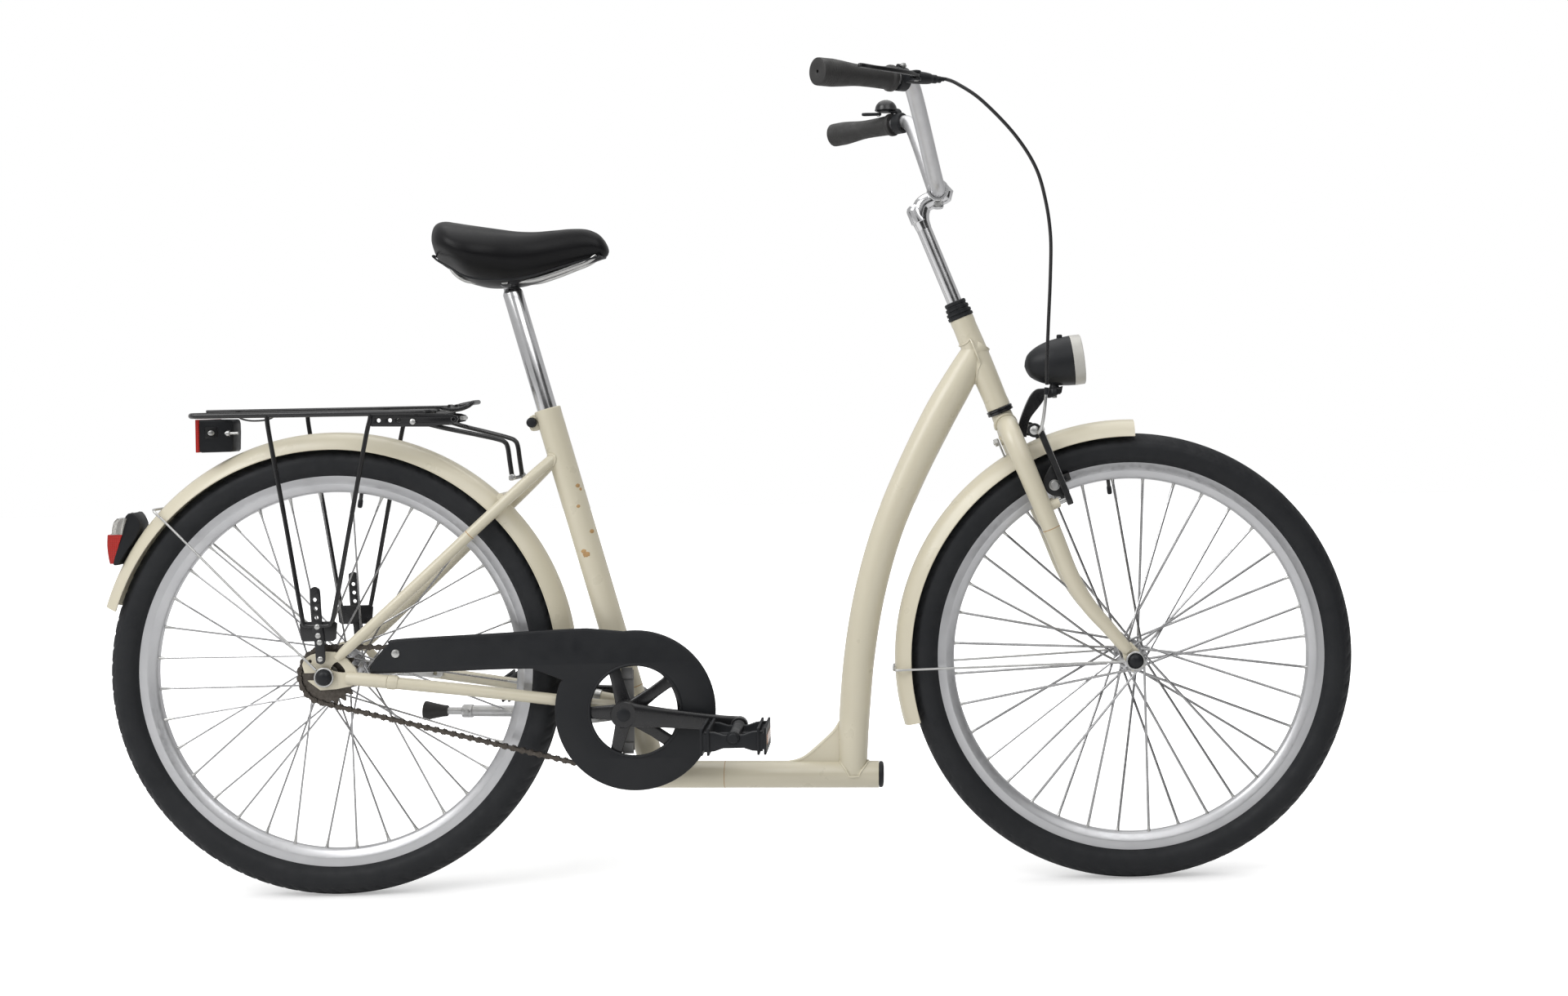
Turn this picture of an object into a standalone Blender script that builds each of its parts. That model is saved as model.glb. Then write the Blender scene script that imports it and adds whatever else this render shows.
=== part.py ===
"""A city bicycle with a step-through frame, modelled in millimetres and placed in metres.

X runs forward, Y to the rider's left, Z up. Inside this file X is measured from the rear axle;
the finished object is shifted so that its origin is the bottom centre of its box.
"""

import math

import bmesh
import bpy
from mathutils import Matrix, Vector

MM = 0.001
X_MID = 575.0
GAP = 0.3

AXLE_Z = 326.5
WHEELBASE = 1158.0
TYRE_HALF_WIDTH = 23.5
TYRE_HEIGHT = 39.5
TYRE_WALL = 3.5
RIM_OUTER = AXLE_Z - TYRE_HEIGHT
RIM_DEPTH = 27.0
RIM_INNER = RIM_OUTER - RIM_DEPTH
RIM_HALF_WIDTH = 12.2
RIM_WALL = 1.8
WHEEL_STEPS = 32
SPOKES_A_SIDE = 18
SPOKE_RADIUS = 1.0
AXLE_RADIUS = 4.75
FRONT_OVER_LOCKNUTS = 100.0
REAR_OVER_LOCKNUTS = 110.0
DROPOUT_THICKNESS = 5.0

HEAD_BOTTOM_X = WHEELBASE - 188.1
HEAD_BOTTOM_Z = 693.5
HEAD_TILT = math.radians(21.8)
HEAD_LENGTH = 143.0
HEAD_RADIUS = 18.0
STEERER_RADIUS = 12.7
QUILL_RADIUS = 11.1

SEAT_TILT = math.radians(15.5)
SEAT_TUBE_RADIUS = 19.05
SEAT_TUBE_TOP = (309.0, 702.5)
SEATPOST_RADIUS = 14.3
BOTTOM_TUBE_RADIUS = 19.5
DOWN_TUBE_RADIUS = 22.5
STAY_RADIUS = 8.5
BB_SHELL_RADIUS = 20.0
BB_SHELL_HALF = 34.0

PITCH = 12.7
FRONT_TEETH = 44
REAR_TEETH = 20
CHAIN_LINKS = 100
CHAIN_Y = -47.0
CRANK_LENGTH = 165.0
CRANK_ANGLE = math.radians(-6.2)
BB_DROP = 60.5

GUARD_ROOM = 18.5
GUARD_RADIUS = AXLE_Z + GUARD_ROOM
GUARD_HALF_WIDTH = 28.5
GUARD_THICKNESS = 1.2
BAR_RADIUS = 11.1
BAR_CLAMP = (WHEELBASE - 273.0, 1013.0)


# Collections: the parts, and the cutters that shape them.

for old in list(bpy.data.objects):
    bpy.data.objects.remove(old)
parts = bpy.data.collections.new("bicycle")
bpy.context.scene.collection.children.link(parts)
cutters = bpy.data.collections.new("cutters")
bpy.context.scene.collection.children.link(cutters)
cutters.hide_render = True


# Materials, one for each finish.

def material(name, colour, metallic, roughness):
    made = bpy.data.materials.new(name)
    made.use_nodes = True
    shader = made.node_tree.nodes["Principled BSDF"]
    shader.inputs["Base Color"].default_value = (*colour, 1.0)
    shader.inputs["Metallic"].default_value = metallic
    shader.inputs["Roughness"].default_value = roughness
    return made


CREAM = material("cream_paint", (0.62, 0.58, 0.47), 0.0, 0.35)
SILVER = material("silver_metal", (0.62, 0.62, 0.62), 1.0, 0.3)
STEEL = material("zinc_steel", (0.45, 0.45, 0.44), 1.0, 0.45)
CHROME = material("chrome", (0.75, 0.75, 0.76), 1.0, 0.12)
BLACK = material("black_plastic", (0.02, 0.02, 0.02), 0.0, 0.45)
BLACK_METAL = material("black_paint", (0.015, 0.015, 0.015), 0.2, 0.35)
TYRE = material("tyre_rubber", (0.02, 0.02, 0.021), 0.0, 0.8)
RUBBER = material("rubber", (0.03, 0.03, 0.03), 0.0, 0.7)
VINYL = material("saddle_vinyl", (0.02, 0.02, 0.022), 0.0, 0.4)
GLASS = material("lamp_glass", (0.8, 0.82, 0.82), 0.0, 0.08)
RED = material("red_lens", (0.45, 0.01, 0.01), 0.0, 0.2)


# Builders. Every point is in millimetres; `at` is the piece's own origin.

SHIFT = Vector((X_MID, 0, 0))
HERE = Vector((X_MID, 0, 0))
FACING_LEFT = (math.pi / 2, 0, 0)


def smooth(points, per_span=4):
    """A Catmull-Rom curve through the points."""
    ends = [Vector(p) for p in points]
    run = [2 * ends[0] - ends[1], *ends, 2 * ends[-1] - ends[-2]]
    found = []
    for i in range(1, len(run) - 2):
        a, b, c, d = run[i - 1 : i + 3]
        for step in range(per_span):
            t = step / per_span
            square = (2 * a - 5 * b + 4 * c - d) * t * t
            found.append(0.5 * (2 * b + (c - a) * t + square + (3 * b - a - 3 * c + d) * t**3))
    found.append(ends[-1])
    return found


def as_mesh(curve, finish):
    """The mesh of a curve object, with its caps welded, in the curve's place."""
    bpy.context.view_layer.update()
    graph = bpy.context.evaluated_depsgraph_get()
    mesh = bpy.data.meshes.new_from_object(curve.evaluated_get(graph))
    place = curve.matrix_world.copy()
    name = curve.name
    data = curve.data
    bpy.data.objects.remove(curve)
    bpy.data.curves.remove(data)
    work = bmesh.new()
    work.from_mesh(mesh)
    bmesh.ops.remove_doubles(work, verts=work.verts, dist=2e-6)
    bmesh.ops.recalc_face_normals(work, faces=work.faces)
    work.to_mesh(mesh)
    work.free()
    mesh.shade_smooth()
    mesh.set_sharp_from_angle(angle=math.radians(40))
    mesh.name = name
    made = bpy.data.objects.new(name, mesh)
    made.matrix_world = place
    parts.objects.link(made)
    mesh.materials.clear()
    if finish:
        mesh.materials.append(finish)
    return made


def rods(name, runs, radius, finish=None, sides=12, at=HERE, radii=None, caps=True, loop=False):
    """Round bars, one along each run of points, as one mesh. Radii scale the bar along its run."""
    at = Vector(at)
    data = bpy.data.curves.new(name, "CURVE")
    data.dimensions = "3D"
    data.bevel_depth = radius * MM
    data.bevel_resolution = (sides - 4) // 2
    data.use_fill_caps = caps
    for run in runs:
        line = data.splines.new("POLY")
        line.points.add(len(run) - 1)
        line.use_cyclic_u = loop
        for i, spot in enumerate(run):
            line.points[i].co = (*((Vector(spot) - at) * MM), 1)
            line.points[i].radius = radii[i] if radii else 1
    curve = bpy.data.objects.new(name, data)
    curve.location = (at - SHIFT) * MM
    parts.objects.link(curve)
    return as_mesh(curve, finish)


def rod(name, run, radius, finish=None, sides=12, at=HERE, radii=None):
    return rods(name, [run], radius, finish, sides, at, radii)


def face_outwards(made, run):
    """Turns the faces of an open tube round if they point at its own middle line."""
    work = bmesh.new()
    work.from_mesh(made.data)
    score = 0.0
    for face in work.faces:
        middle = face.calc_center_median()
        near = min(run, key=lambda p: (p - middle).length)
        score += face.normal.dot(middle - near)
    if score < 0:
        bmesh.ops.reverse_faces(work, faces=work.faces)
    work.to_mesh(made.data)
    work.free()


def pipe(name, run, radius, wall, finish=None, sides=12, at=HERE, radii=None):
    """A tube open at both ends: its skin, thickened inwards."""
    made = rods(name, [run], radius, finish, sides, at, radii, caps=False)
    face_outwards(made, [(Vector(p) - Vector(at)) * MM for p in run])
    step = made.modifiers.new("wall", "SOLIDIFY")
    step.thickness = wall * MM
    step.offset = -1
    step.use_even_offset = True
    return made


def lathe(name, profile, finish=None, steps=24, at=HERE, axis=(0, 1, 0), ring=False):
    """A turned solid. The profile holds (radius, distance along the axis) from the top down, or a closed ring."""
    area = 0.0
    closed = list(profile)
    if not ring:
        closed = [(0, profile[0][1]), *profile, (0, profile[-1][1])]
    for (r0, a0), (r1, a1) in zip(closed, closed[1:] + closed[:1]):
        area += r0 * a1 - r1 * a0
    order = list(profile) if area < 0 else list(profile)[::-1]
    count = len(order)
    edges = [(i, i + 1) for i in range(count - 1)]
    if ring:
        edges.append((count - 1, 0))
    mesh = bpy.data.meshes.new(name)
    mesh.from_pydata([(r * MM, 0, a * MM) for r, a in order], edges, [])
    made = bpy.data.objects.new(name, mesh)
    made.location = (Vector(at) - SHIFT) * MM
    made.rotation_euler = Vector(axis).to_track_quat("Z", "X").to_euler()
    parts.objects.link(made)
    step = made.modifiers.new("turn", "SCREW")
    step.angle = 2 * math.pi
    step.steps = steps
    step.render_steps = steps
    step.use_merge_vertices = True
    step.merge_threshold = 1e-5
    step.use_smooth_shade = True
    if finish:
        mesh.materials.append(finish)
    return made


def flat(name, loops, thick, origin, turn, finish=None):
    """A flat piece of the given thickness: its first loop is the outline, the others are holes."""
    data = bpy.data.curves.new(name, "CURVE")
    data.dimensions = "2D"
    data.fill_mode = "BOTH"
    data.extrude = thick / 2 * MM
    for loop in loops:
        line = data.splines.new("POLY")
        line.points.add(len(loop) - 1)
        line.use_cyclic_u = True
        for i, (x, y) in enumerate(loop):
            line.points[i].co = (x * MM, y * MM, 0, 1)
    curve = bpy.data.objects.new(name, data)
    curve.location = (Vector(origin) - SHIFT) * MM
    curve.rotation_euler = turn
    parts.objects.link(curve)
    return as_mesh(curve, finish)


def plate(name, outline, low, high, finish=None, holes=(), at=HERE):
    """A flat piece in X and Z, from Y = low to Y = high, with holes through it."""
    at = Vector(at)
    loops = [[(x - at.x, z - at.z) for x, z in loop] for loop in [outline, *holes]]
    return flat(name, loops, high - low, (at.x, (low + high) / 2, at.z), FACING_LEFT, finish)


def hoop(name, profile, thick, centre, start, end, steps, finish):
    """A strip turned part of the way about the Y axis; the profile holds (radius, Y)."""
    mesh = bpy.data.meshes.new(name)
    points = []
    for radius, across in profile:
        points.append((radius * math.cos(start) * MM, radius * math.sin(start) * MM, across * MM))
    mesh.from_pydata(points, [(i, i + 1) for i in range(len(points) - 1)], [])
    made = bpy.data.objects.new(name, mesh)
    made.location = (Vector(centre) - SHIFT) * MM
    made.rotation_euler = FACING_LEFT
    parts.objects.link(made)
    turn = made.modifiers.new("turn", "SCREW")
    turn.angle = end - start
    turn.steps = steps
    turn.render_steps = steps
    turn.use_smooth_shade = True
    wall = made.modifiers.new("wall", "SOLIDIFY")
    wall.thickness = thick * MM
    wall.offset = 0
    mesh.materials.append(finish)
    return made


def block(name, centre, size, finish=None, turn=(0, 0, 0)):
    mesh = bpy.data.meshes.new(name)
    work = bmesh.new()
    bmesh.ops.create_cube(work, size=1.0)
    bmesh.ops.scale(work, vec=Vector(size) * MM, verts=work.verts)
    work.to_mesh(mesh)
    work.free()
    made = bpy.data.objects.new(name, mesh)
    made.location = (Vector(centre) - SHIFT) * MM
    made.rotation_euler = turn
    parts.objects.link(made)
    if finish:
        mesh.materials.append(finish)
    return made


def rounded(target, width, segments=1):
    step = target.modifiers.new("edges", "BEVEL")
    step.width = width * MM
    step.segments = segments
    step.limit_method = "ANGLE"
    step.angle_limit = math.radians(50)
    return target


def arc(cx, cz, radius, count, start=0.0, end=2 * math.pi):
    """Points in X and Z on an arc; a full circle doesn't repeat its first point."""
    full = abs(end - start) > 2 * math.pi - 1e-6
    found = []
    for i in range(count if full else count + 1):
        angle = start + (end - start) * i / count
        found.append((cx + radius * math.cos(angle), cz + radius * math.sin(angle)))
    return found


def as_cutter(made):
    for home in list(made.users_collection):
        home.objects.unlink(made)
    cutters.objects.link(made)
    made.hide_render = True
    made.display_type = "WIRE"
    return made


def change(target, other, operation):
    step = target.modifiers.new(other.name, "BOOLEAN")
    step.operation = operation
    step.solver = "EXACT"
    step.object = as_cutter(other)
    other.parent = target
    other.matrix_parent_inverse = target.matrix_basis.inverted()
    return target


def cut(target, *others):
    for other in others:
        change(target, other, "DIFFERENCE")
    return target


def join(target, *others):
    for other in others:
        change(target, other, "UNION")
    return target


# The steering frame: a distance down the axis from the head tube's lower end, one ahead of it, one to the left.

AXIS_DOWN = Vector((math.sin(HEAD_TILT), 0, -math.cos(HEAD_TILT)))
AXIS_AHEAD = Vector((math.cos(HEAD_TILT), 0, math.sin(HEAD_TILT)))
HEAD_BOTTOM = Vector((HEAD_BOTTOM_X, 0, HEAD_BOTTOM_Z))


def steer(down, ahead=0.0, left=0.0):
    return HEAD_BOTTOM + AXIS_DOWN * down + AXIS_AHEAD * ahead + Vector((0, left, 0))


# The seat frame: a distance up the seat tube's axis from its top edge.

SEAT_UP = Vector((-math.sin(SEAT_TILT), 0, math.cos(SEAT_TILT)))


def seat(up, ahead=0.0, left=0.0):
    start = Vector((SEAT_TUBE_TOP[0], 0, SEAT_TUBE_TOP[1]))
    forward = Vector((math.cos(SEAT_TILT), 0, math.sin(SEAT_TILT)))
    return start + SEAT_UP * up + forward * ahead + Vector((0, left, 0))


# Chain line: the spacing of the two sprockets follows from the link count.

def pitch_radius(teeth):
    return PITCH / (2 * math.sin(math.pi / teeth))


FRONT_PITCH_R = pitch_radius(FRONT_TEETH)
REAR_PITCH_R = pitch_radius(REAR_TEETH)


def links_for(spacing):
    lean = math.asin((FRONT_PITCH_R - REAR_PITCH_R) / spacing)
    straight = spacing * math.cos(lean) / PITCH
    front = (math.pi + 2 * lean) * FRONT_TEETH / (2 * math.pi)
    rear = (math.pi - 2 * lean) * REAR_TEETH / (2 * math.pi)
    return 2 * straight + front + rear


low, high = 350.0, 500.0
for _ in range(60):
    middle = (low + high) / 2
    if links_for(middle) < CHAIN_LINKS:
        low = middle
    else:
        high = middle
SPROCKET_SPACING = (low + high) / 2
BB_Z = AXLE_Z - BB_DROP
BB_X = math.sqrt(SPROCKET_SPACING**2 - BB_DROP**2)
CHAIN_LEAN = math.asin((FRONT_PITCH_R - REAR_PITCH_R) / SPROCKET_SPACING)
CHAIN_SLOPE = math.atan2(BB_Z - AXLE_Z, BB_X)


def chain_spot(links):
    """Where the chain is after this many links from the start of the front arc: X, Z and its direction."""
    front_arc = (math.pi + 2 * CHAIN_LEAN) * FRONT_TEETH / (2 * math.pi)
    rear_arc = (math.pi - 2 * CHAIN_LEAN) * REAR_TEETH / (2 * math.pi)
    straight = SPROCKET_SPACING * math.cos(CHAIN_LEAN) / PITCH
    links = links % CHAIN_LINKS
    top_front = CHAIN_SLOPE + math.pi / 2 + CHAIN_LEAN
    low_rear = CHAIN_SLOPE - math.pi / 2 - CHAIN_LEAN
    if links < front_arc:
        angle = top_front - links * 2 * math.pi / FRONT_TEETH
        centre = (BB_X, BB_Z, FRONT_PITCH_R)
    elif links < front_arc + straight:
        run = (links - front_arc) * PITCH
        angle = low_rear
        heading = angle - math.pi / 2
        x = BB_X + FRONT_PITCH_R * math.cos(angle) + run * math.cos(heading)
        z = BB_Z + FRONT_PITCH_R * math.sin(angle) + run * math.sin(heading)
        return x, z, heading
    elif links < front_arc + straight + rear_arc:
        angle = low_rear - (links - front_arc - straight) * 2 * math.pi / REAR_TEETH
        centre = (0.0, AXLE_Z, REAR_PITCH_R)
    else:
        run = (links - front_arc - straight - rear_arc) * PITCH
        angle = top_front
        heading = angle - math.pi / 2
        x = REAR_PITCH_R * math.cos(angle) + run * math.cos(heading)
        z = AXLE_Z + REAR_PITCH_R * math.sin(angle) + run * math.sin(heading)
        return x, z, heading
    x = centre[0] + centre[2] * math.cos(angle)
    z = centre[1] + centre[2] * math.sin(angle)
    return x, z, angle - math.pi / 2


def sprocket_outline(teeth, radius, cx, cz, first):
    """The toothed edge: a gap at the angle first and at each pitch from it."""
    step = 2 * math.pi / teeth
    found = []
    for i in range(teeth):
        middle = first + (i + 0.5) * step
        for width, rise in ((-3.4, -4.3), (-1.2, 3.4), (1.2, 3.4), (3.4, -4.3)):
            r = radius + rise
            angle = middle + width / r
            found.append((cx + r * math.cos(angle), cz + r * math.sin(angle)))
    return found


# Wheels: tyre, rim, inner tube, hub with its spokes, and the fixed axle.

def wheel(side, x, flange_r, flange_y, barrel_r, bore_r):
    centre = (x, 0, AXLE_Z)
    w = RIM_HALF_WIDTH
    channel = w - RIM_WALL
    wide = TYRE_HALF_WIDTH
    bead_r = RIM_OUTER - 5.5
    flange_top = RIM_OUTER + 1.4
    belly_r = RIM_OUTER + 0.38 * TYRE_HEIGHT
    shoulder_r = AXLE_Z - 0.19 * TYRE_HEIGHT
    outside = [
        (bead_r, channel - 1.0),
        (flange_top, channel - 0.4),
        (belly_r, wide),
        (shoulder_r, wide - 6.0),
    ]
    inside = [
        (belly_r, wide - TYRE_WALL),
        (flange_top, channel - 2.7),
        (bead_r, channel - 3.0),
    ]
    tyre_profile = [*outside, (AXLE_Z, 0.0), *[(r, -a) for r, a in reversed(outside)]]
    tyre_profile += [(r, -a) for r, a in reversed(inside)]
    tyre_profile += [(AXLE_Z - TYRE_WALL - 1.5, 0.0), *inside]
    lathe(side + "_tyre", tyre_profile, TYRE, WHEEL_STEPS, centre, ring=True)
    rim_half = [
        (RIM_OUTER, w),
        (RIM_OUTER - 15.0, w),
        (RIM_INNER, 7.0),
    ]
    well_r = RIM_INNER + 4.0
    rim_profile = rim_half + [(r, -a) for r, a in reversed(rim_half)]
    rim_profile += [(RIM_OUTER, -channel), (well_r, -8.0), (well_r, 8.0), (RIM_OUTER, channel)]
    rim = lathe(side + "_rim", rim_profile, SILVER, WHEEL_STEPS, centre, ring=True)
    valve_angle = math.radians(VALVE_ANGLE[side])
    out = Vector((math.cos(valve_angle), 0, math.sin(valve_angle)))
    middle = Vector(centre)
    valve_hole = [middle + out * (RIM_INNER - 5), middle + out * (RIM_INNER + 12)]
    cut(rim, rod(side + "_valve_hole", valve_hole, 3.9 + GAP + 0.2, sides=8))
    tube_r = RIM_OUTER + 0.43 * TYRE_HEIGHT
    skin_r = 0.2835 * TYRE_HEIGHT
    skin = [(tube_r + skin_r * math.cos(a), skin_r * math.sin(a)) for a in tube_angles()]
    core_r = skin_r - 1.2
    core = [(tube_r + core_r * math.cos(a), core_r * math.sin(a)) for a in tube_angles()]
    tube = lathe(side + "_inner_tube", skin, RUBBER, 16, centre, ring=True)
    join(tube, rod(side + "_valve", [middle + out * (tube_r - 8), middle + out * (RIM_INNER - 22)], 3.9, sides=8))
    cut(tube, lathe(side + "_tube_core", core, None, 16, centre, ring=True))
    cut(tube, rod(side + "_valve_bore", [middle + out * (tube_r - 4), middle + out * (RIM_INNER - 30)], 1.6, sides=6))
    y = flange_y
    hub_profile = [
        (bore_r, y + 4),
        (barrel_r * 0.8, y + 3),
        (flange_r + 4, y + 1.5),
        (flange_r + 4, y - 1.5),
        (barrel_r, y - 4),
        (barrel_r, -y + 4),
        (flange_r + 4, -y + 1.5),
        (flange_r + 4, -y - 1.5),
        (barrel_r * 0.8, -y - 3),
        (bore_r, -y - 4),
    ]
    hub = lathe(side + "_hub", hub_profile, SILVER, 12, centre, ring=True)
    spoke_end = RIM_INNER - SPOKE_RADIUS - 0.6
    runs = []
    for flange in (1, -1):
        for k in range(SPOKES_A_SIDE):
            way = 1 if k % 2 else -1
            step = 2 * math.pi / SPOKES_A_SIDE
            start = (k + (0.25 if flange > 0 else 0.75)) * step
            end = start + way * 3 * step
            y0 = flange * y + way * 1.9
            y1 = flange * 2.5 + way * 0.5
            low = Vector((math.cos(start) * flange_r, y0, math.sin(start) * flange_r))
            high = Vector((math.cos(end) * spoke_end, y1, math.sin(end) * spoke_end))
            runs.append([middle + low, middle + high])
    spokes = rods(side + "_spokes", runs, SPOKE_RADIUS, SILVER, 4)
    join(hub, spokes)


def tube_angles():
    return [2 * math.pi * i / 5 for i in range(5)]


VALVE_ANGLE = {"rear": 81.8, "front": 96.4}

wheel("front", WHEELBASE, 17.0, 33.0, 12.5, 5.5)
wheel("rear", 0.0, 28.0, 28.0, 20.0, 5.5)


def axle(name, x, inside, end, cone_r):
    """The fixed axle: cones inside the dropouts, nuts and domed caps outside them."""
    face = inside / 2 - GAP
    outer = inside / 2 + DROPOUT_THICKNESS + 2 * GAP
    half = [
        (0.0, end),
        (6.5, end - 3.0),
        (9.5, end - 8.0),
        (9.5, outer),
        (AXLE_RADIUS, outer),
        (AXLE_RADIUS, face),
        (cone_r, face),
        (AXLE_RADIUS, face - 8),
    ]
    other = [(r, -a) for r, a in reversed(half)]
    return lathe(name, half + other, STEEL, 10, (x, 0, AXLE_Z))


axle("front_axle", WHEELBASE, FRONT_OVER_LOCKNUTS, 65.0, 8.5)
rear_axle = axle("rear_axle", 0.0, REAR_OVER_LOCKNUTS, 76.0, 8.5)
reaction = [(-14, 316), (-14, 337), (0, 342), (40, 331), (120, 320), (134, 318), (134, 306), (120, 307), (40, 312)]
join(rear_axle, plate("coaster_arm", reaction, 41.5, 44.5, None, at=(0, 0, AXLE_Z)))


# Frame tubes. Each end is cut to its neighbour with a small gap, where the weld is.

LOW_END = WHEELBASE - 373.0


def grown_head(name):
    return rod(name, [steer(14), steer(-HEAD_LENGTH - 10)], HEAD_RADIUS + GAP, sides=16)


def grown_bottom(name):
    return rod(name, [(BB_X, 0, 165.4), (LOW_END + 15, 0, 158)], BOTTOM_TUBE_RADIUS + GAP, sides=16)


head = pipe("head_tube", [steer(0), steer(-HEAD_LENGTH)], HEAD_RADIUS, 3.2, CREAM, 16)

DOWN_TUBE = [
    (221.5, 776, 0.78),
    (250, 728, 0.93),
    (278, 680, 1.0),
    (319, 600, 1.0),
    (355.5, 515, 1.0),
    (382, 425, 1.0),
    (398.5, 335, 1.0),
    (407.5, 245, 0.98),
    (410, 162, 0.84),
]
run = [(WHEELBASE - back, 0, z) for back, z, _ in DOWN_TUBE]
fat = [size for _, _, size in DOWN_TUBE]
down = pipe("down_tube", run, DOWN_TUBE_RADIUS, 2.0, CREAM, 14, radii=fat)
cut(down, grown_head("head_for_down_tube"), grown_bottom("bottom_for_down_tube"))

bottom = pipe("bottom_tube", [(BB_X + 15.2, 0, 165.1), (LOW_END, 0, 158.3)], BOTTOM_TUBE_RADIUS, 2.0, CREAM, 16)
plug = rod("bottom_tube_plug", [(LOW_END + 0.4, 0, 158.3), (LOW_END + 7, 0, 158.1)], 18.9, BLACK, 16)
join(plug, rod("plug_neck", [(LOW_END - 15, 0, 158.6), (LOW_END + 1.5, 0, 158.25)], 16.6, sides=16))

GUSSET = [(118, 179.0), (105, 177.0), (60.4, 176.0), (58.6, 182), (58.6, 226)]
gusset_outline = [(LOW_END - back, z) for back, z in GUSSET]
join(bottom, plate("frame_gusset", gusset_outline, -2.5, 2.5))

seat_bottom = seat((SEAT_TUBE_TOP[1] - BB_Z) / -math.cos(SEAT_TILT))
seat_tube = pipe("seat_tube", [seat_bottom + SEAT_UP * 8, seat(0)], SEAT_TUBE_RADIUS, 2.0, CREAM, 14)


def grown_shell(name):
    return rod(name, [(BB_X, -50, BB_Z), (BB_X, 50, BB_Z)], BB_SHELL_RADIUS + GAP, sides=16)


def grown_seat(name):
    return rod(name, [seat_bottom, seat(30)], SEAT_TUBE_RADIUS + GAP, sides=16)


cut(seat_tube, grown_shell("shell_for_seat_tube"))
outside = SEAT_TUBE_RADIUS - 0.9
bore = SEATPOST_RADIUS + GAP + 0.3
sleeve = [(outside, 0), (outside, -58), (bore, -58), (bore, 0)]
join(seat_tube, lathe("seat_sleeve", sleeve, None, 16, seat(-0.7), SEAT_UP, ring=True))
ears = block("clamp_ears", seat(-13, -23.5), (14, 9, 22), turn=(0, -SEAT_TILT, 0))
join(seat_tube, ears)
cut(seat_tube, block("clamp_slot", seat(-14, -22), (34, 2.4, 44), turn=(0, -SEAT_TILT, 0)))
bolt = rod("clamp_bolt", [seat(-13, -25, -13), seat(-13, -25, 13)], 3.0, sides=8)
join(seat_tube, bolt)
join(seat_tube, rod("clamp_knob", [seat(-13, -25, -15), seat(-13, -25, -8)], 6.5, sides=8))

shell_profile = [
    (BB_SHELL_RADIUS, BB_SHELL_HALF),
    (BB_SHELL_RADIUS, -BB_SHELL_HALF),
    (BB_SHELL_RADIUS - 3.0, -BB_SHELL_HALF),
    (BB_SHELL_RADIUS - 3.0, BB_SHELL_HALF),
]
shell = lathe("bottom_bracket_shell", shell_profile, CREAM, 16, (BB_X, 0, BB_Z), ring=True)
post_low = seat_bottom - SEAT_UP * (101 / math.cos(SEAT_TILT))
post = pipe("lower_post", [seat_bottom, post_low], 18.4, 2.0, None, 16)
cut(post, rod("room_in_post", [(BB_X, -50, BB_Z), (BB_X, 50, BB_Z)], BB_SHELL_RADIUS - 1.0, sides=16))
cut(post, grown_bottom("bottom_for_post"))
join(shell, post)


def rear_side(side, way):
    """The chain stay, the seat stay and the dropout of one side, brazed into one piece."""
    name = "rear_stays_" + side
    low = REAR_OVER_LOCKNUTS / 2 + GAP
    high = low + DROPOUT_THICKNESS
    mid = (low + high) / 2
    chain_run = smooth(
        [
            (BB_X, way * 20, BB_Z),
            (402, way * 25, 269.5),
            (362, way * 33, 276.5),
            (320, way * 34.5, 283),
            (215, way * 46, 299),
            (85, way * 59.5, 317),
            (42, way * 60, 322.8),
        ],
        1,
    )
    stay = pipe(name, chain_run, STAY_RADIUS, 1.5, CREAM, 8)
    cut(stay, grown_shell("shell_for_" + name))
    seat_run = [
        (17, way * 61.5, 352),
        (100, way * 55, 428),
        (203, way * 42, 524),
        (250, way * 39, 567),
        (292, way * 28, 606),
        (327, way * 8, 639),
    ]
    upper = pipe(name + "_seat_stay", seat_run, 8.0, 1.5, None, 8)
    cut(upper, grown_seat("seat_for_" + name))
    join(stay, upper)
    outline = [
        (-30, 331.64),
        (-33, 349),
        (-24, 357),
        (-8, 362),
        (12, 362),
        (30, 352),
        (52, 334),
        (62, 326),
        (60, 317),
        (40, 314),
        (14, 308),
        (-10, 308),
        (-26, 321.36),
        (1.67, 321.36),
        (4.37, 323.33),
        (5.4, 326.5),
        (4.37, 329.67),
        (1.67, 331.64),
    ]
    window = [(8, 336), (27, 331), (18, 345)]
    eyelet = arc(-22, 348.5, 2.6, 6)
    edges = sorted((way * low, way * high))
    join(stay, plate(name + "_dropout", outline, edges[0], edges[1], None, [window, eyelet], at=(0, 0, AXLE_Z)))
    return stay


right_stays = rear_side("right", -1)
left_stays = rear_side("left", 1)
right_edge = rod("stay_end", [(203, -42, 524), (250, -39, 567), (292, -28, 606)], 8.0 + GAP, sides=8)
bridge = rod("stay_bridge", [(247, -40, 577.5), (247, 38, 577.5)], 5.0, sides=8)
join(left_stays, cut(bridge, right_edge))


# Steering: headset, fork, stem, handlebar and grips. These are modelled with the front wheel straight ahead.

UP = -AXIS_DOWN
TILTED = (0, -HEAD_TILT, 0)
ACROSS_AXIS = Matrix((Vector((0, 1, 0)), UP, AXIS_AHEAD)).transposed().to_euler()

upper_profile = [
    (STEERER_RADIUS + GAP, 26),
    (16, 26),
    (17, 18),
    (18.6, 12),
    (19.0, GAP),
    (STEERER_RADIUS + GAP, GAP),
]
lathe("headset_upper", upper_profile, BLACK, 16, steer(-HEAD_LENGTH), UP, ring=True)
lower_profile = [
    (STEERER_RADIUS + GAP, -GAP),
    (19.5, -GAP),
    (19.5, -8),
    (STEERER_RADIUS + GAP, -8),
]
lathe("headset_lower", lower_profile, BLACK, 16, steer(0), UP, ring=True)

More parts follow.
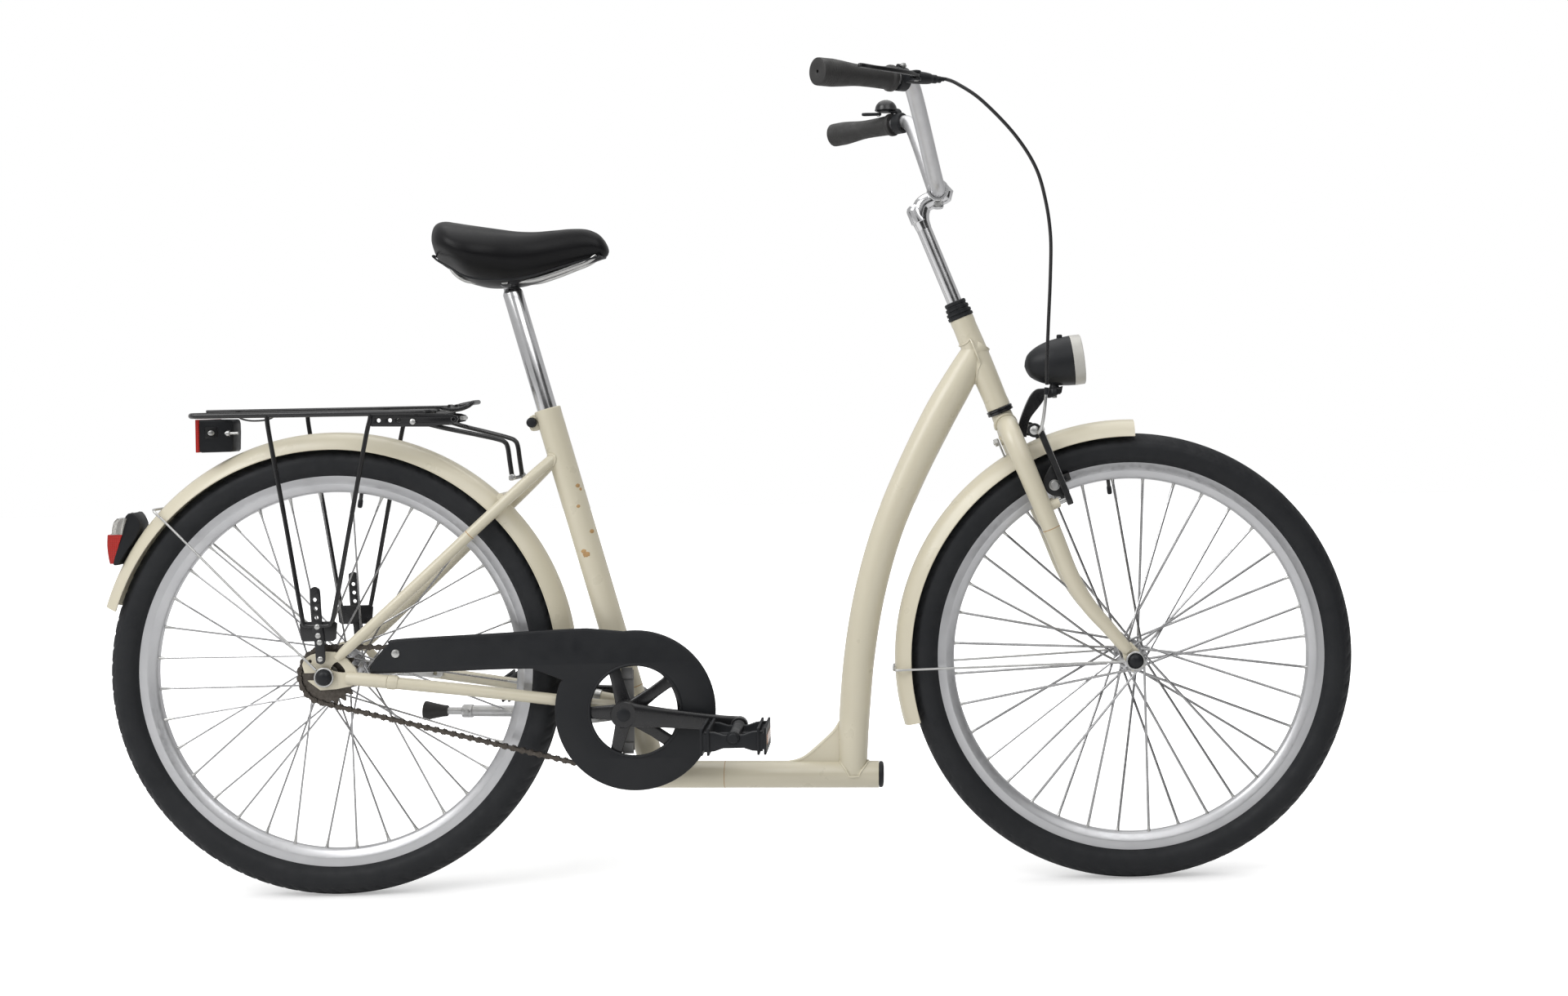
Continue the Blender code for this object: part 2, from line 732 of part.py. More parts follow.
fork = rod("fork", [steer(34, 0, -26), steer(34, 0, 26)], 15.6, CREAM, 12, steer(0))
join(fork, rod("steerer", [steer(-HEAD_LENGTH - 24), steer(24)], STEERER_RADIUS, sides=12))
join(fork, rod("crown_seat", [steer(8.5), steer(30)], 15.5, sides=12))
join(fork, rod("crown_boss", [steer(46, -17), steer(46, 13)], 8.0, sides=8))
LEG = [
    (33, 0, 18, 1.0),
    (38, 0, 33, 1.0),
    (54, 0, 46, 1.0),
    (92, 0, 54, 0.97),
    (262, -0.5, 54, 0.83),
    (310, 6.5, 54, 0.76),
    (352, 20.5, 54, 0.68),
    (393, 34, 54, 0.61),
]
for side, way in (("right", -1), ("left", 1)):
    run = [steer(down, ahead, way * left) for down, ahead, left, _ in LEG]
    sizes = [size for _, _, _, size in LEG]
    outside = rod("fork_leg_" + side, run, 15.0, sides=10, radii=sizes)
    tip = [(384, 27), (384, 42), (400, 48), (424, 47.5), (424, 43.54), (408.93, 43.54), (406.23, 41.57)]
    tip += [(405.2, 38.4), (406.23, 35.23), (408.93, 33.26), (424, 33.26), (424, 28.5), (404, 25)]
    outline = [(steer(down, ahead).x, steer(down, ahead).z) for down, ahead in tip]
    low = FRONT_OVER_LOCKNUTS / 2 + GAP
    ends = sorted((way * low, way * (low + DROPOUT_THICKNESS)))
    join(fork, outside)
    inside_run = run[2:] + [run[-1] + (run[-1] - run[-2])]
    inside = [size - 0.11 for size in sizes[2:]] + [0.5]
    cut(fork, rod("fork_core_" + side, inside_run, 15.0, sides=10, radii=inside))
    join(fork, plate("fork_tip_" + side, outline, ends[0], ends[1], at=(WHEELBASE, 0, AXLE_Z)))
    join(fork, rod("brake_boss_" + side, [steer(158, 2, way * 48), steer(158, 35, way * 48)], 7.0, sides=8))
    join(fork, rod("brake_pin_" + side, [steer(158, 29, way * 48), steer(158, 46, way * 48)], 4.0, sides=8))
    join(fork, rod("pin_head_" + side, [steer(158, 44.5, way * 48), steer(158, 49, way * 48)], 6.5, sides=8))
cut(fork, rod("steerer_bore", [steer(-HEAD_LENGTH - 30), steer(20)], QUILL_RADIUS + GAP, sides=12))

stem = rod("stem", [steer(-60), steer(-296)], QUILL_RADIUS, CHROME, 12, steer(-HEAD_LENGTH))
elbow = [steer(-288), steer(-306, 2), steer(-318, 16), Vector((BAR_CLAMP[0], 0, BAR_CLAMP[1]))]
join(stem, rod("stem_elbow", elbow, 12.6, sides=10))
join(stem, lathe("stem_dome", [(0, 0), (9, -2), (13.5, -8), (13.5, -26), (11.5, -30), (0, -30)], None, 12, steer(-325, -1), UP))
join(stem, rod("bar_barrel", [(BAR_CLAMP[0], -20, BAR_CLAMP[1]), (BAR_CLAMP[0], 20, BAR_CLAMP[1])], 16.0, sides=12))
join(stem, block("clamp_block", (BAR_CLAMP[0], 0, BAR_CLAMP[1] - 18), (14, 24, 14)))
cut(stem, rod("bar_hole", [(BAR_CLAMP[0], -30, BAR_CLAMP[1]), (BAR_CLAMP[0], 30, BAR_CLAMP[1])], BAR_RADIUS + 0.5, sides=12))

GRIP_CAP = Vector((BAR_CLAMP[0] - 161, -282, 1139))
ALONG_GRIP = Vector((0.774, 0.632, 0.0316)).normalized()
BLADE_WAY = Vector((0.63, -0.777, 0)).normalized()


def flipped(p):
    return Vector((p[0], -p[1], p[2]))


def on_bar(distance, ahead=0.0, up=0.0, left=False):
    spot = GRIP_CAP + ALONG_GRIP * distance + BLADE_WAY * ahead + Vector((0, 0, up))
    return flipped(spot) if left else spot


bar_half = [
    on_bar(7),
    on_bar(150),
    Vector((BAR_CLAMP[0] - 37.5, -175, 1138.5)),
    Vector((BAR_CLAMP[0] - 32, -155, 1122)),
    Vector((BAR_CLAMP[0] - 7, -64, 1034)),
    Vector((BAR_CLAMP[0] - 3, -49, 1020)),
    Vector((BAR_CLAMP[0], -26, BAR_CLAMP[1])),
]
bar_run = bar_half + [flipped(p) for p in reversed(bar_half)]
pipe("handlebar", bar_run, BAR_RADIUS, 2.0, SILVER, 12, (BAR_CLAMP[0], 0, BAR_CLAMP[1]))

grip_profile = [
    (0, 0),
    (17.4, 0),
    (18.35, 2),
    (18.35, 24),
    (14.3, 68),
    (14.8, 100),
    (15.5, 119),
    (18.0, 121),
    (18.0, 126),
    (BAR_RADIUS + 0.7, 126),
    (BAR_RADIUS + 0.7, 6),
    (0, 6),
]
for side, left in (("right", False), ("left", True)):
    towards = on_bar(1, left=left) - on_bar(0, left=left)
    lathe("grip_" + side, grip_profile, RUBBER, 12, on_bar(0, left=left), towards)

ring = [(BAR_RADIUS + GAP, -6), (BAR_RADIUS + GAP, 6), (16, 6), (16, -6)]
towards = ALONG_GRIP
lever_body = lathe("lever_body", ring, BLACK, 12, on_bar(141), towards, ring=True)
join(lever_body, rod("lever_housing", [on_bar(134, 21), on_bar(176, 21)], 8.5, sides=8))
join(lever_body, rod("lever_neck", [on_bar(141, 13.5), on_bar(141, 20)], 6.5, sides=8))
join(lever_body, rod("cable_adjuster", [on_bar(170, 21), on_bar(194, 21, 1)], 5.0, sides=8))
join(lever_body, rod("lever_lug", [on_bar(141, 33, -6.5), on_bar(141, 33, 6.5)], 6.5, sides=8))
join(lever_body, rod("lever_web", [on_bar(141, 22), on_bar(141, 32)], 5.5, sides=6))
LEVER_PIVOT = on_bar(141, 33)
slot_at = on_bar(131, 40)
slot_at.z = LEVER_PIVOT.z
cut(lever_body, block("lever_slot", slot_at, (44, 44, 6.6), turn=(0, 0, math.atan2(ALONG_GRIP.y, ALONG_GRIP.x))))
join(lever_body, rod("lever_pin", [on_bar(141, 33, -6.4), on_bar(141, 33, 6.4)], 2.0, sides=8))
blade_outline = []
ahead_edge = [(146, 30), (143, 37), (134, 41), (118, 46), (90, 49), (58, 49), (38, 51), (32, 48)]
near_edge = [(38, 43), (58, 41.5), (90, 41.5), (116, 38.5), (132, 33), (136, 28), (142, 27)]
for d, n in ahead_edge + near_edge:
    spot = on_bar(d, n) - LEVER_PIVOT
    blade_outline.append((spot.x, spot.y))
pin_hole = arc(0, 0, 2.5, 8)
flat("lever_blade", [blade_outline, pin_hole], 5.8, LEVER_PIVOT, (0, 0, 0), BLACK)

left_along = flipped(ALONG_GRIP)
bell = lathe("bell_body", ring, BLACK, 12, on_bar(139, left=True), left_along, ring=True)
BELL = Vector((BAR_CLAMP[0] - 75, 203, 1164.5))
foot = on_bar(139, 0, 13, True)
join(bell, rod("bell_post", [foot, foot + Vector((-4, 2, 9)), BELL + Vector((8, -3, 3)), BELL + Vector((0, 0, 3))], 3.6, sides=6))
dome = [(0, 15), (8, 14), (15, 9), (17.5, 2), (17.5, -1), (0, -1)]
join(bell, lathe("bell_dome", dome, None, 12, BELL + Vector((0, 0, 2)), (0, 0, 1)))
BELL_PIVOT = BELL + Vector((-12, 0, -4))
join(bell, rod("bell_pin", [BELL + Vector((-12, 0, -7)), BELL + Vector((-12, 0, 3))], 1.6, sides=6))
thumb = [(4, -4.5), (4, 4.5), (-6, 4.5), (-22, 7), (-26, 4), (-26, -2), (-20, -4.5)]
flat("bell_lever", [thumb, arc(0, 0, 2.0, 6)], 4.0, BELL_PIVOT - Vector((0, 0, 0.8)), (0, 0, 0), BLACK)


# Headlamp on its bracket.

LAMP = Vector((WHEELBASE - 80, 0, 761.5))
cup = [
    (0, -70),
    (18, -62),
    (27, -48),
    (33, -30),
    (36.5, 0),
    (34.5, 0),
    (30.5, -30),
    (24, -46),
    (0, -58),
]
lamp = lathe("headlamp_body", cup, BLACK, 16, LAMP, (1, 0, 0))
glass = [(0, 19), (16, 17), (28, 11), (35.8, GAP), (31.5, GAP), (22, 10), (0, 15)]
lathe("headlamp_lens", glass, GLASS, 16, LAMP, (1, 0, 0))
front_edge = [(-70, 648), (-65.5, 672), (-59, 690), (-49, 703), (-33, 711), (-16, 716)]
back_edge = [(-16, 720), (-36, 716), (-52, 708.5), (-63, 693), (-70.2, 672), (-73.8, 648)]
strap_outline = [(LAMP.x + x, z) for x, z in front_edge + back_edge]
join(lamp, plate("lamp_strap", strap_outline, -8, 8))
join(lamp, rod("lamp_foot", [(LAMP.x - 26, 0, 713), (LAMP.x - 26, 0, 733)], 6.0, sides=8))
join(lamp, rod("lamp_knob", [(LAMP.x - 12, 0, 794), (LAMP.x - 12, 0, 800)], 4.0, sides=8))


# Front brake: two arms turning on the fork's bosses, their pads, the cable with its noodle, the inner wire.

arm_outline = [
    (-9, -6),
    (-4, -9),
    (4, -9),
    (9, -4),
    (9, 10),
    (7, 40),
    (5, 80),
    (3, 108),
    (-5, 111),
    (-9, 106),
    (-7, 80),
    (-6, 40),
    (-8, 14),
]
ARM_AHEAD = 40.0
WIRE = steer(52, ARM_AHEAD)
PAD_ANGLE = math.radians(113.7)
PAD_RADIUS = RIM_OUTER - 8.2
PAD = Vector((WHEELBASE + PAD_RADIUS * math.cos(PAD_ANGLE), 0, AXLE_Z + PAD_RADIUS * math.sin(PAD_ANGLE)))
for side, way in (("right", -1), ("left", 1)):
    outline = [(way * y, u) for y, u in arm_outline]
    pivot = steer(158, ARM_AHEAD, way * 48)
    arm = flat("brake_arm_" + side, [outline, arc(0, 0, 4.3, 8)], 8.4, pivot, ACROSS_AXIS, BLACK)
    join(arm, rod("arm_clamp_" + side, [steer(50, ARM_AHEAD - 6, way * 47), steer(50, ARM_AHEAD + 7, way * 47)], 5.0, sides=8))
    top_arc = arc(WHEELBASE, AXLE_Z, RIM_OUTER - 2.5, 3, PAD_ANGLE - 0.095, PAD_ANGLE + 0.095)
    low_arc = arc(WHEELBASE, AXLE_Z, RIM_OUTER - 13.0, 3, PAD_ANGLE + 0.095, PAD_ANGLE - 0.095)
    ends = sorted((way * (RIM_HALF_WIDTH + 1.0), way * 24.0))
    pad = plate("brake_pad_" + side, top_arc + low_arc, ends[0], ends[1], RUBBER, at=(PAD.x, 0, PAD.z))
    join(pad, rod("pad_post_" + side, [PAD + Vector((0, way * y, 0)) for y in (21, 40.2)], 3.5, sides=8))
    cut(arm, rod("wire_hole_" + side, [WIRE + Vector((0, way * 30, 0)), WIRE + Vector((0, way * 66, 0))], 2.7, sides=6))
    join(arm, rod("pad_lug_" + side, [steer(131, 21, way * 49.5), steer(131, ARM_AHEAD + 4, way * 49.5)], 8.5, sides=8))
    join(arm, rod("pad_nut_" + side, [PAD + Vector((0, way * y, 0)) for y in (40.8, 52)], 6.0, sides=8))

CABLE = [
    (246, -170, 1139.5),
    (213.9, -165, 1118),
    (169.7, -150, 1074.4),
    (139.6, -135, 1030.5),
    (125.1, -122, 986.2),
    (117.5, -110, 935.7),
    (115.6, -98, 879),
    (117.4, -86, 810.1),
    (120.2, -80, 763.9),
    (121.5, -76, 717.4),
    (125.5, -73, 688),
    (129, -68, 671),
    (131.5, -61, 661),
]
cable_points = [on_bar(196, 21, 1), *[(WHEELBASE - back, y, z) for back, y, z in CABLE], (WIRE.x, -54.0, WIRE.z)]
rod("brake_cable", smooth(cable_points, 2), 2.5, BLACK, 6, on_bar(194, 21, 1))
rod("brake_wire", [WIRE - Vector((0, 52.5, 0)), WIRE + Vector((0, 60, 0))], 1.1, BLACK, 6)


# Mudguards with their wire stays.

guard_profile = [
    (GUARD_RADIUS - 21.5, -GUARD_HALF_WIDTH),
    (GUARD_RADIUS - 8.0, -GUARD_HALF_WIDTH + 1.2),
    (GUARD_RADIUS, -12.0),
    (GUARD_RADIUS, 12.0),
    (GUARD_RADIUS - 8.0, GUARD_HALF_WIDTH - 1.2),
    (GUARD_RADIUS - 21.5, GUARD_HALF_WIDTH),
]
front_guard = hoop("front_mudguard", guard_profile, GUARD_THICKNESS, (WHEELBASE, 0, AXLE_Z), math.radians(88.5), math.radians(196), 12, CREAM)
rear_guard = hoop("rear_mudguard", guard_profile, GUARD_THICKNESS, (0, 0, AXLE_Z), math.radians(9), math.radians(163), 17, CREAM)
join(front_guard, block("guard_strap", steer(56, -20.0), (2.6, 14, 30), turn=TILTED))
join(front_guard, rod("guard_nut", [steer(46, -20), steer(46, -26)], 6.0, sides=6))


def guard_wire(name, axle_x, towards, reach):
    """A wire from one side of the axle round the outside of the guard to the other side."""
    out = Vector((math.cos(towards), 0, math.sin(towards)))
    centre = Vector((axle_x, 0, AXLE_Z))
    left = Vector((0, 1, 0))
    half = [
        centre + out * 12 + left * reach,
        centre + out * 26 + left * (reach - 1),
        centre + out * (GUARD_RADIUS - 23) + left * 32.5,
        centre + out * GUARD_RADIUS + left * 32.5,
        centre + out * (GUARD_RADIUS + 4) + left * 29.5,
    ]
    run = half + [flipped(p) for p in reversed(half)]
    return rod(name, run, 1.75, SILVER, 6, centre)


front_stay = guard_wire("front_guard_stay", WHEELBASE, math.radians(181.9), 60.0)
rear_stay = guard_wire("rear_guard_stay", 0.0, math.radians(136.5), 68.0)


# Rear lamp on the mudguard.

lamp_outline = [(-262, 534), (-268, 550), (-279, 561), (-284, 562), (-293, 556), (-311, 501), (-314, 488), (-304, 487), (-262, 500)]
tail = plate("tail_lamp_body", lamp_outline, -24, 24, BLACK, at=(-300, 0, 520))
cut(tail, lathe("guard_for_tail", [(0, 40), (GUARD_RADIUS + 2, 40), (GUARD_RADIUS + 2, -40), (0, -40)], None, 48, (0, 0, AXLE_Z)))
lens_outline = [(-293.8, 556.3), (-311.6, 554), (-321, 532), (-322, 510), (-319.5, 490), (-314.8, 488), (-311.7, 501.2)]
rounded(plate("tail_lamp_lens", lens_outline, -24, 24, RED, at=(-318, 0, 520)), 1.2, 1)


# Rear rack: rods on two legs a side, a spring clip and a reflector box.

RACK_Z = 701.0
SIDE = 68.0
loop = [
    (158, -52, RACK_Z),
    (150, -SIDE, RACK_Z),
    (-188, -SIDE, RACK_Z),
    (-200, -54, RACK_Z),
    (-200, 54, RACK_Z),
    (-188, SIDE, RACK_Z),
    (150, SIDE, RACK_Z),
    (158, 52, RACK_Z),
]
rack = rods("rack", [loop], 4.2, BLACK_METAL, 6, (0, 0, RACK_Z), loop=True)
join(rack, rod("rack_rail_right", [(157, -26, RACK_Z), (-199, -26, RACK_Z)], 3.2, sides=6))
join(rack, rod("rack_rail_left", [(157, 26, RACK_Z), (-199, 26, RACK_Z)], 3.2, sides=6))
for i, x in enumerate((-130, 84)):
    join(rack, rod("rack_bar_%d" % i, [(x, -SIDE, RACK_Z), (x, SIDE, RACK_Z)], 3.2, sides=6))
for side, way in (("right", -1), ("left", 1)):
    y = way * (SIDE + 1)
    leg = [(-73, y, RACK_Z), (-73, y, 690), (-24, y, 400), (25, y, 400), (71, y, 690), (71, y, RACK_Z)]
    join(rack, rod("rack_leg_" + side, leg, 3.2, sides=6))
    strip = [(-16, 470), (-2, 470), (1, 342), (-11, 342)]
    holes = [arc(-8.3 + 0.7 * k, 452 - 14 * k, 2.6, 5) for k in (0, 2, 5)]
    ends = sorted((way * (SIDE - 1.4), way * (SIDE - 4.4)))
    join(rack, plate("rack_strip_" + side, strip, ends[0], ends[1], None, holes))
    sheet = [(-26, 382), (25, 382), (25, 407), (-26, 407)]
    ends = sorted((way * (SIDE - 3.0), way * (SIDE + 0.5)))
    join(rack, plate("rack_foot_" + side, sheet, ends[0], ends[1]))
    side_plate = [(71, 682), (160, 680), (187, 684), (187, 696), (150, 700), (71, 700)]
    ends = sorted((way * (SIDE - 2.0), way * (SIDE + 1.5)))
    join(rack, plate("rack_side_" + side, side_plate, ends[0], ends[1]))
    strut = [(150, way * 67, 685), (178, way * 56, 677), (248, way * 38, 659.5), (258, way * 36, 650), (263.5, way * 36, 608)]
    join(rack, rod("rack_strut_" + side, strut, 3.0, sides=6))
    join(rack, rod("strut_tab_" + side, [(263.5, way * 39, 606), (263.5, way * 32, 606)], 6.0, sides=8))

CLIP_HINGE = (174, 708.5)
clip_run = [
    (212, -27, 712.5),
    (CLIP_HINGE[0], -30, CLIP_HINGE[1]),
    (-150, -30, 707),
    (-150, 30, 707),
    (CLIP_HINGE[0], 30, CLIP_HINGE[1]),
    (212, 27, 712.5),
]
clip = rods("rack_clip", [clip_run], 2.3, BLACK_METAL, 6, (CLIP_HINGE[0], 0, CLIP_HINGE[1]), loop=True)
join(rack, rod("clip_hinge_right", [(174, -67, RACK_Z - 10), (174, -40, RACK_Z - 10)], 3.0, sides=6))
join(rack, rod("clip_hinge_left", [(174, 40, RACK_Z - 10), (174, 67, RACK_Z - 10)], 3.0, sides=6))

box_outline = [(-183, 652), (-181, 648), (-130, 648), (-130, 678), (-154, 695), (-183, 695)]
reflector = plate("rack_reflector", box_outline, -43, 43, BLACK, at=(-156, 0, 671))
rounded(reflector, 3.0, 1)


# Seat: seatpost, rails with their clamp, saddle.

post_profile = [
    (11.0, 206),
    (11.0, 184),
    (SEATPOST_RADIUS, 178),
    (SEATPOST_RADIUS, -150),
    (12.0, -150),
    (12.0, 172),
    (8.5, 178),
    (8.5, 206),
]
lathe("seatpost", post_profile, CHROME, 14, seat(0), SEAT_UP, ring=True)

clamp_at = seat(198)
rail_z = 889.0
rails = rod("saddle_rails", [clamp_at - SEAT_UP * 7, clamp_at + SEAT_UP * 7], 16.0, STEEL, 12)
join(rails, rod("rail_cross", [(257, -27, rail_z + 1), (257, 27, rail_z + 1)], 8.5, sides=8))
for side, way in (("right", -1), ("left", 1)):
    run = [
        (386, way * 13, 926),
        (372, way * 14, 908),
        (330, way * 19, 893),
        (300, way * 22, rail_z),
        (210, way * 23, rail_z),
        (188, way * 27, 898),
        (174, way * 31, 926),
    ]
    join(rails, rod("rail_" + side, run, 3.8, sides=4))
cut(rails, rod("neck_hole", [clamp_at - SEAT_UP * 30, clamp_at + SEAT_UP * 30], 11.0 + GAP, sides=16))

SADDLE_STATIONS = [
    (145, 946, 974, 50),
    (156, 922, 980, 76),
    (184, 901, 976, 88),
    (222, 888, 969.5, 88),
    (262, 885, 963, 73),
    (300, 892, 961.5, 50),
    (336, 904, 965, 32),
    (370, 915, 965, 24),
    (394, 921, 953, 19),
    (403.5, 926, 938, 9),
]
SECTION = [
    (0.0, 1.0),
    (0.5, 1.0),
    (0.92, 0.86),
    (1.04, 0.5),
    (0.86, 0.14),
    (0.62, -0.02),
    (0.0, 0.0),
]


def saddle_mesh():
    """A loft through sections: a soft crown with a shallow channel, sides drawn in towards the base."""
    work = bmesh.new()
    rows = []
    for x, low, high, half in SADDLE_STATIONS:
        dip = 3.0 if 170 < x < 370 else 0.0
        row = []
        around = SECTION + [(-w, h) for w, h in reversed(SECTION[1:-1])]
        for w, h in around:
            z = low + (high - low) * h
            if w == 0.0 and h == 1.0:
                z -= dip
            row.append(work.verts.new(Vector((x - X_MID, w * half, z)) * MM))
        rows.append(row)
    count = len(rows[0])
    for before, after in zip(rows, rows[1:]):
        for k in range(count):
            n = (k + 1) % count
            work.faces.new((before[k], before[n], after[n], after[k]))
    work.faces.new(rows[0])
    work.faces.new(rows[-1])
    bmesh.ops.recalc_face_normals(work, faces=work.faces)
    for face in work.faces:
        face.smooth = True
    mesh = bpy.data.meshes.new("saddle")
    work.to_mesh(mesh)
    work.free()
    return mesh


saddle = bpy.data.objects.new("saddle", saddle_mesh())
parts.objects.link(saddle)
saddle.data.materials.append(VINYL)
fine = saddle.modifiers.new("fine", "SUBSURF")
fine.levels = 1
fine.render_levels = 1
for side, way in (("right", -1), ("left", 1)):
    front = [(387.5, way * 13, 928), (372, way * 14, 908), (330, way * 19, 893), (300, way * 22, rail_z)]
    back = [(210, way * 23, rail_z), (188, way * 27, 898), (173, way * 31.2, 928)]
    cut(saddle, rod("front_socket_" + side, front, 4.9, sides=6))
    cut(saddle, rod("back_socket_" + side, back, 4.9, sides=6))
cut(saddle, block("rail_room", (241, 0, 890), (118, 60, 50)))


# Drive: cranks, chainring, pedals, rear sprocket, chain, chain guard.

CRANK_OUT = Vector((math.cos(CRANK_ANGLE), 0, math.sin(CRANK_ANGLE)))
BB = Vector((BB_X, 0, BB_Z))


def turned(angle, radius):
    return BB_X + radius * math.cos(angle), BB_Z + radius * math.sin(angle)


PEDAL_PIN = 7.0


def turning_room(radius, sides):
    """The radius of a many-sided hole in which a pin can turn with the usual gap at the hole's flats."""
    return (radius + GAP) / math.cos(math.pi / sides)


ring_y = CHAIN_Y
first_front = CHAIN_SLOPE + math.pi / 2 + CHAIN_LEAN
teeth = sprocket_outline(FRONT_TEETH, FRONT_PITCH_R, BB_X, BB_Z, first_front)
hole = arc(BB_X, BB_Z, 73.0, 24)
chainring = plate("chainring", teeth, ring_y - 1.2, ring_y + 1.2, BLACK_METAL, [hole], at=(BB_X, 0, BB_Z))

SPIDER = [math.radians(a) for a in (105, 35, -35, -105, 180)]
crank_end = BB + CRANK_OUT * CRANK_LENGTH
crank = rod("crank_right", [BB + Vector((0, -44, 0)), BB + Vector((0, -76, 0))], 19.0, BLACK_METAL, 12, BB)
ARM_EDGE = [(2, 17), (40, 15.5), (CRANK_LENGTH - 15, 10.5), (CRANK_LENGTH + 3, 10.5)]


def arm_outline_at(way):
    """The outline of a crank arm that tapers from its boss to the pedal's eye."""
    across = Vector((-CRANK_OUT.z, 0, CRANK_OUT.x))
    found = [BB + (CRANK_OUT * along + across * half) * way for along, half in ARM_EDGE]
    found += [BB + (CRANK_OUT * along - across * half) * way for along, half in reversed(ARM_EDGE)]
    return [(p.x, p.z) for p in found]


join(crank, plate("crank_arm_right", arm_outline_at(1), -76.0, -63.0))
join(crank, rod("crank_eye", [crank_end + Vector((0, -67.5, 0)), crank_end + Vector((0, -80, 0))], 12.0, sides=12))
arms = []
for angle in SPIDER:
    inner = Vector((*turned(angle, 10), 0)).xzy
    outer = Vector((*turned(angle, 78), 0)).xzy
    inner.y = -50.1
    outer.y = ring_y - 3.9
    arms.append([inner, outer])
join(crank, rods("spider", arms, 5.2, None, 6, radii=[1.23, 0.42]))
cut(crank, rod("spindle_hole", [BB + Vector((0, -30, 0)), BB + Vector((0, -62, 0))], 8.0 + GAP, sides=12))
cut(crank, rod("pedal_hole_right", [crank_end + Vector((0, -60, 0)), crank_end + Vector((0, -90, 0))], turning_room(PEDAL_PIN, 12), sides=12))

left_end = BB - CRANK_OUT * CRANK_LENGTH
left = rod("crank_left", [BB + Vector((0, 46, 0)), BB + Vector((0, 76, 0))], 17.0, BLACK_METAL, 12, BB)
join(left, plate("crank_arm_left", arm_outline_at(-1), 63.0, 76.0))
join(left, rod("left_eye", [left_end + Vector((0, 67.5, 0)), left_end + Vector((0, 80, 0))], 12.0, sides=12))
join(left, rod("spindle", [BB + Vector((0, 48, 0)), BB + Vector((0, -61, 0))], 8.0, sides=8))
cut(left, rod("pedal_hole_left", [left_end + Vector((0, 60, 0)), left_end + Vector((0, 90, 0))], turning_room(PEDAL_PIN, 12), sides=12))


def pedal(side, centre, way):
    """A cage pedal: a frame of two treads and two end plates round a spindle tube."""
    low = centre + Vector((0, way * 86, 0))
    high = centre + Vector((0, way * 170, 0))
    made = rod("pedal_" + side, [low, high], 9.5, BLACK, 10, centre)
    middle = centre + Vector((0, way * 128, 0))
    for i, x in enumerate((-39, 39)):
        join(made, block("pedal_tread_%s_%d" % (side, i), middle + Vector((x, 0, 0)), (13, 84, 26)))
    for i, y in enumerate((-36, 36)):
        join(made, block("pedal_end_%s_%d" % (side, i), middle + Vector((0, y, 0)), (80, 8, 20)))
    pin = [centre + Vector((0, way * 70, 0)), centre + Vector((0, way * 88, 0))]
    return join(made, rod("pedal_pin_" + side, pin, PEDAL_PIN, sides=8))


pedal("right", crank_end, -1)
pedal("left", left_end, 1)

rear_first = CHAIN_SLOPE - math.pi / 2 - CHAIN_LEAN
front_arc = (math.pi + 2 * CHAIN_LEAN) * FRONT_TEETH / (2 * math.pi)
straight = SPROCKET_SPACING * math.cos(CHAIN_LEAN) / PITCH
first_rear = rear_first - (math.ceil(front_arc + straight) - front_arc - straight) * 2 * math.pi / REAR_TEETH
cog_teeth = sprocket_outline(REAR_TEETH, REAR_PITCH_R, 0.0, AXLE_Z, first_rear)
cog = plate("rear_sprocket", cog_teeth, CHAIN_Y - 1.2, CHAIN_Y + 1.2, STEEL, [arc(0, AXLE_Z, 14, 12)], at=(0, 0, AXLE_Z))
driver = [(15.5, -34), (15.5, -50), (9.5, -50), (9.5, -45), (7.0, -44), (7.0, -34)]
join(cog, lathe("driver", driver, None, 12, (0, 0, AXLE_Z), ring=True))


def band(rise):
    """The edge of the chain's plates, with a corner at each pin."""
    found = []
    for i in range(CHAIN_LINKS):
        x, z, heading = chain_spot(i)
        found.append((x - math.sin(heading) * rise, z + math.cos(heading) * rise))
    return found


outer_edge = band(4.1)
inner_edge = band(-4.1)
chain = plate("chain", outer_edge, CHAIN_Y - 3.9, CHAIN_Y - 1.9, STEEL, [inner_edge])
join(chain, plate("chain_inner_side", outer_edge, CHAIN_Y + 1.9, CHAIN_Y + 3.9, None, [inner_edge]))
PIN_RADIUS = 3.4
TOOTH_RISE = 3.4
pins = []
for i in range(CHAIN_LINKS):
    x, z, _ = chain_spot(i)
    front_room = math.hypot(x - BB_X, z - BB_Z) - FRONT_PITCH_R
    rear_room = math.hypot(x, z - AXLE_Z) - REAR_PITCH_R
    if min(front_room, rear_room) > TOOTH_RISE + PIN_RADIUS + GAP:
        pins.append([(x, CHAIN_Y - 2.9, z), (x, CHAIN_Y + 2.9, z)])
join(chain, rods("chain_pins", pins, PIN_RADIUS, None, 4))

guard_y = -56.0
disc = arc(438.6, 268.8, 112.5, 24, math.radians(98), math.radians(-205))
outline = disc + [(279, 334), (180, 332.5), (64, 331), (64, 338), (90, 370), (102, 375), (350, 385), (396, 381.5)]
chain_guard = plate("chain_guard", outline, guard_y - 1.2, guard_y + 1.2, BLACK, [arc(438.6, 268.8, 66, 24)], at=(BB_X, 0, BB_Z))
tab = [(90, 364), (108, 364), (108, 327.5), (90, 327.5)]
join(chain_guard, plate("guard_tab", tab, -55.4, -52.8))
bridge_edge = [(BB_X - 9, BB_Z - 58), (BB_X + 9, BB_Z - 58), (BB_X + 9, BB_Z + 58), (BB_X - 9, BB_Z + 58)]
WAIST = BB_SHELL_RADIUS - 1.4
waist = [(BB_X - 9, BB_Z + 14), (BB_X - WAIST, BB_Z), (BB_X - 9, BB_Z - 14)]
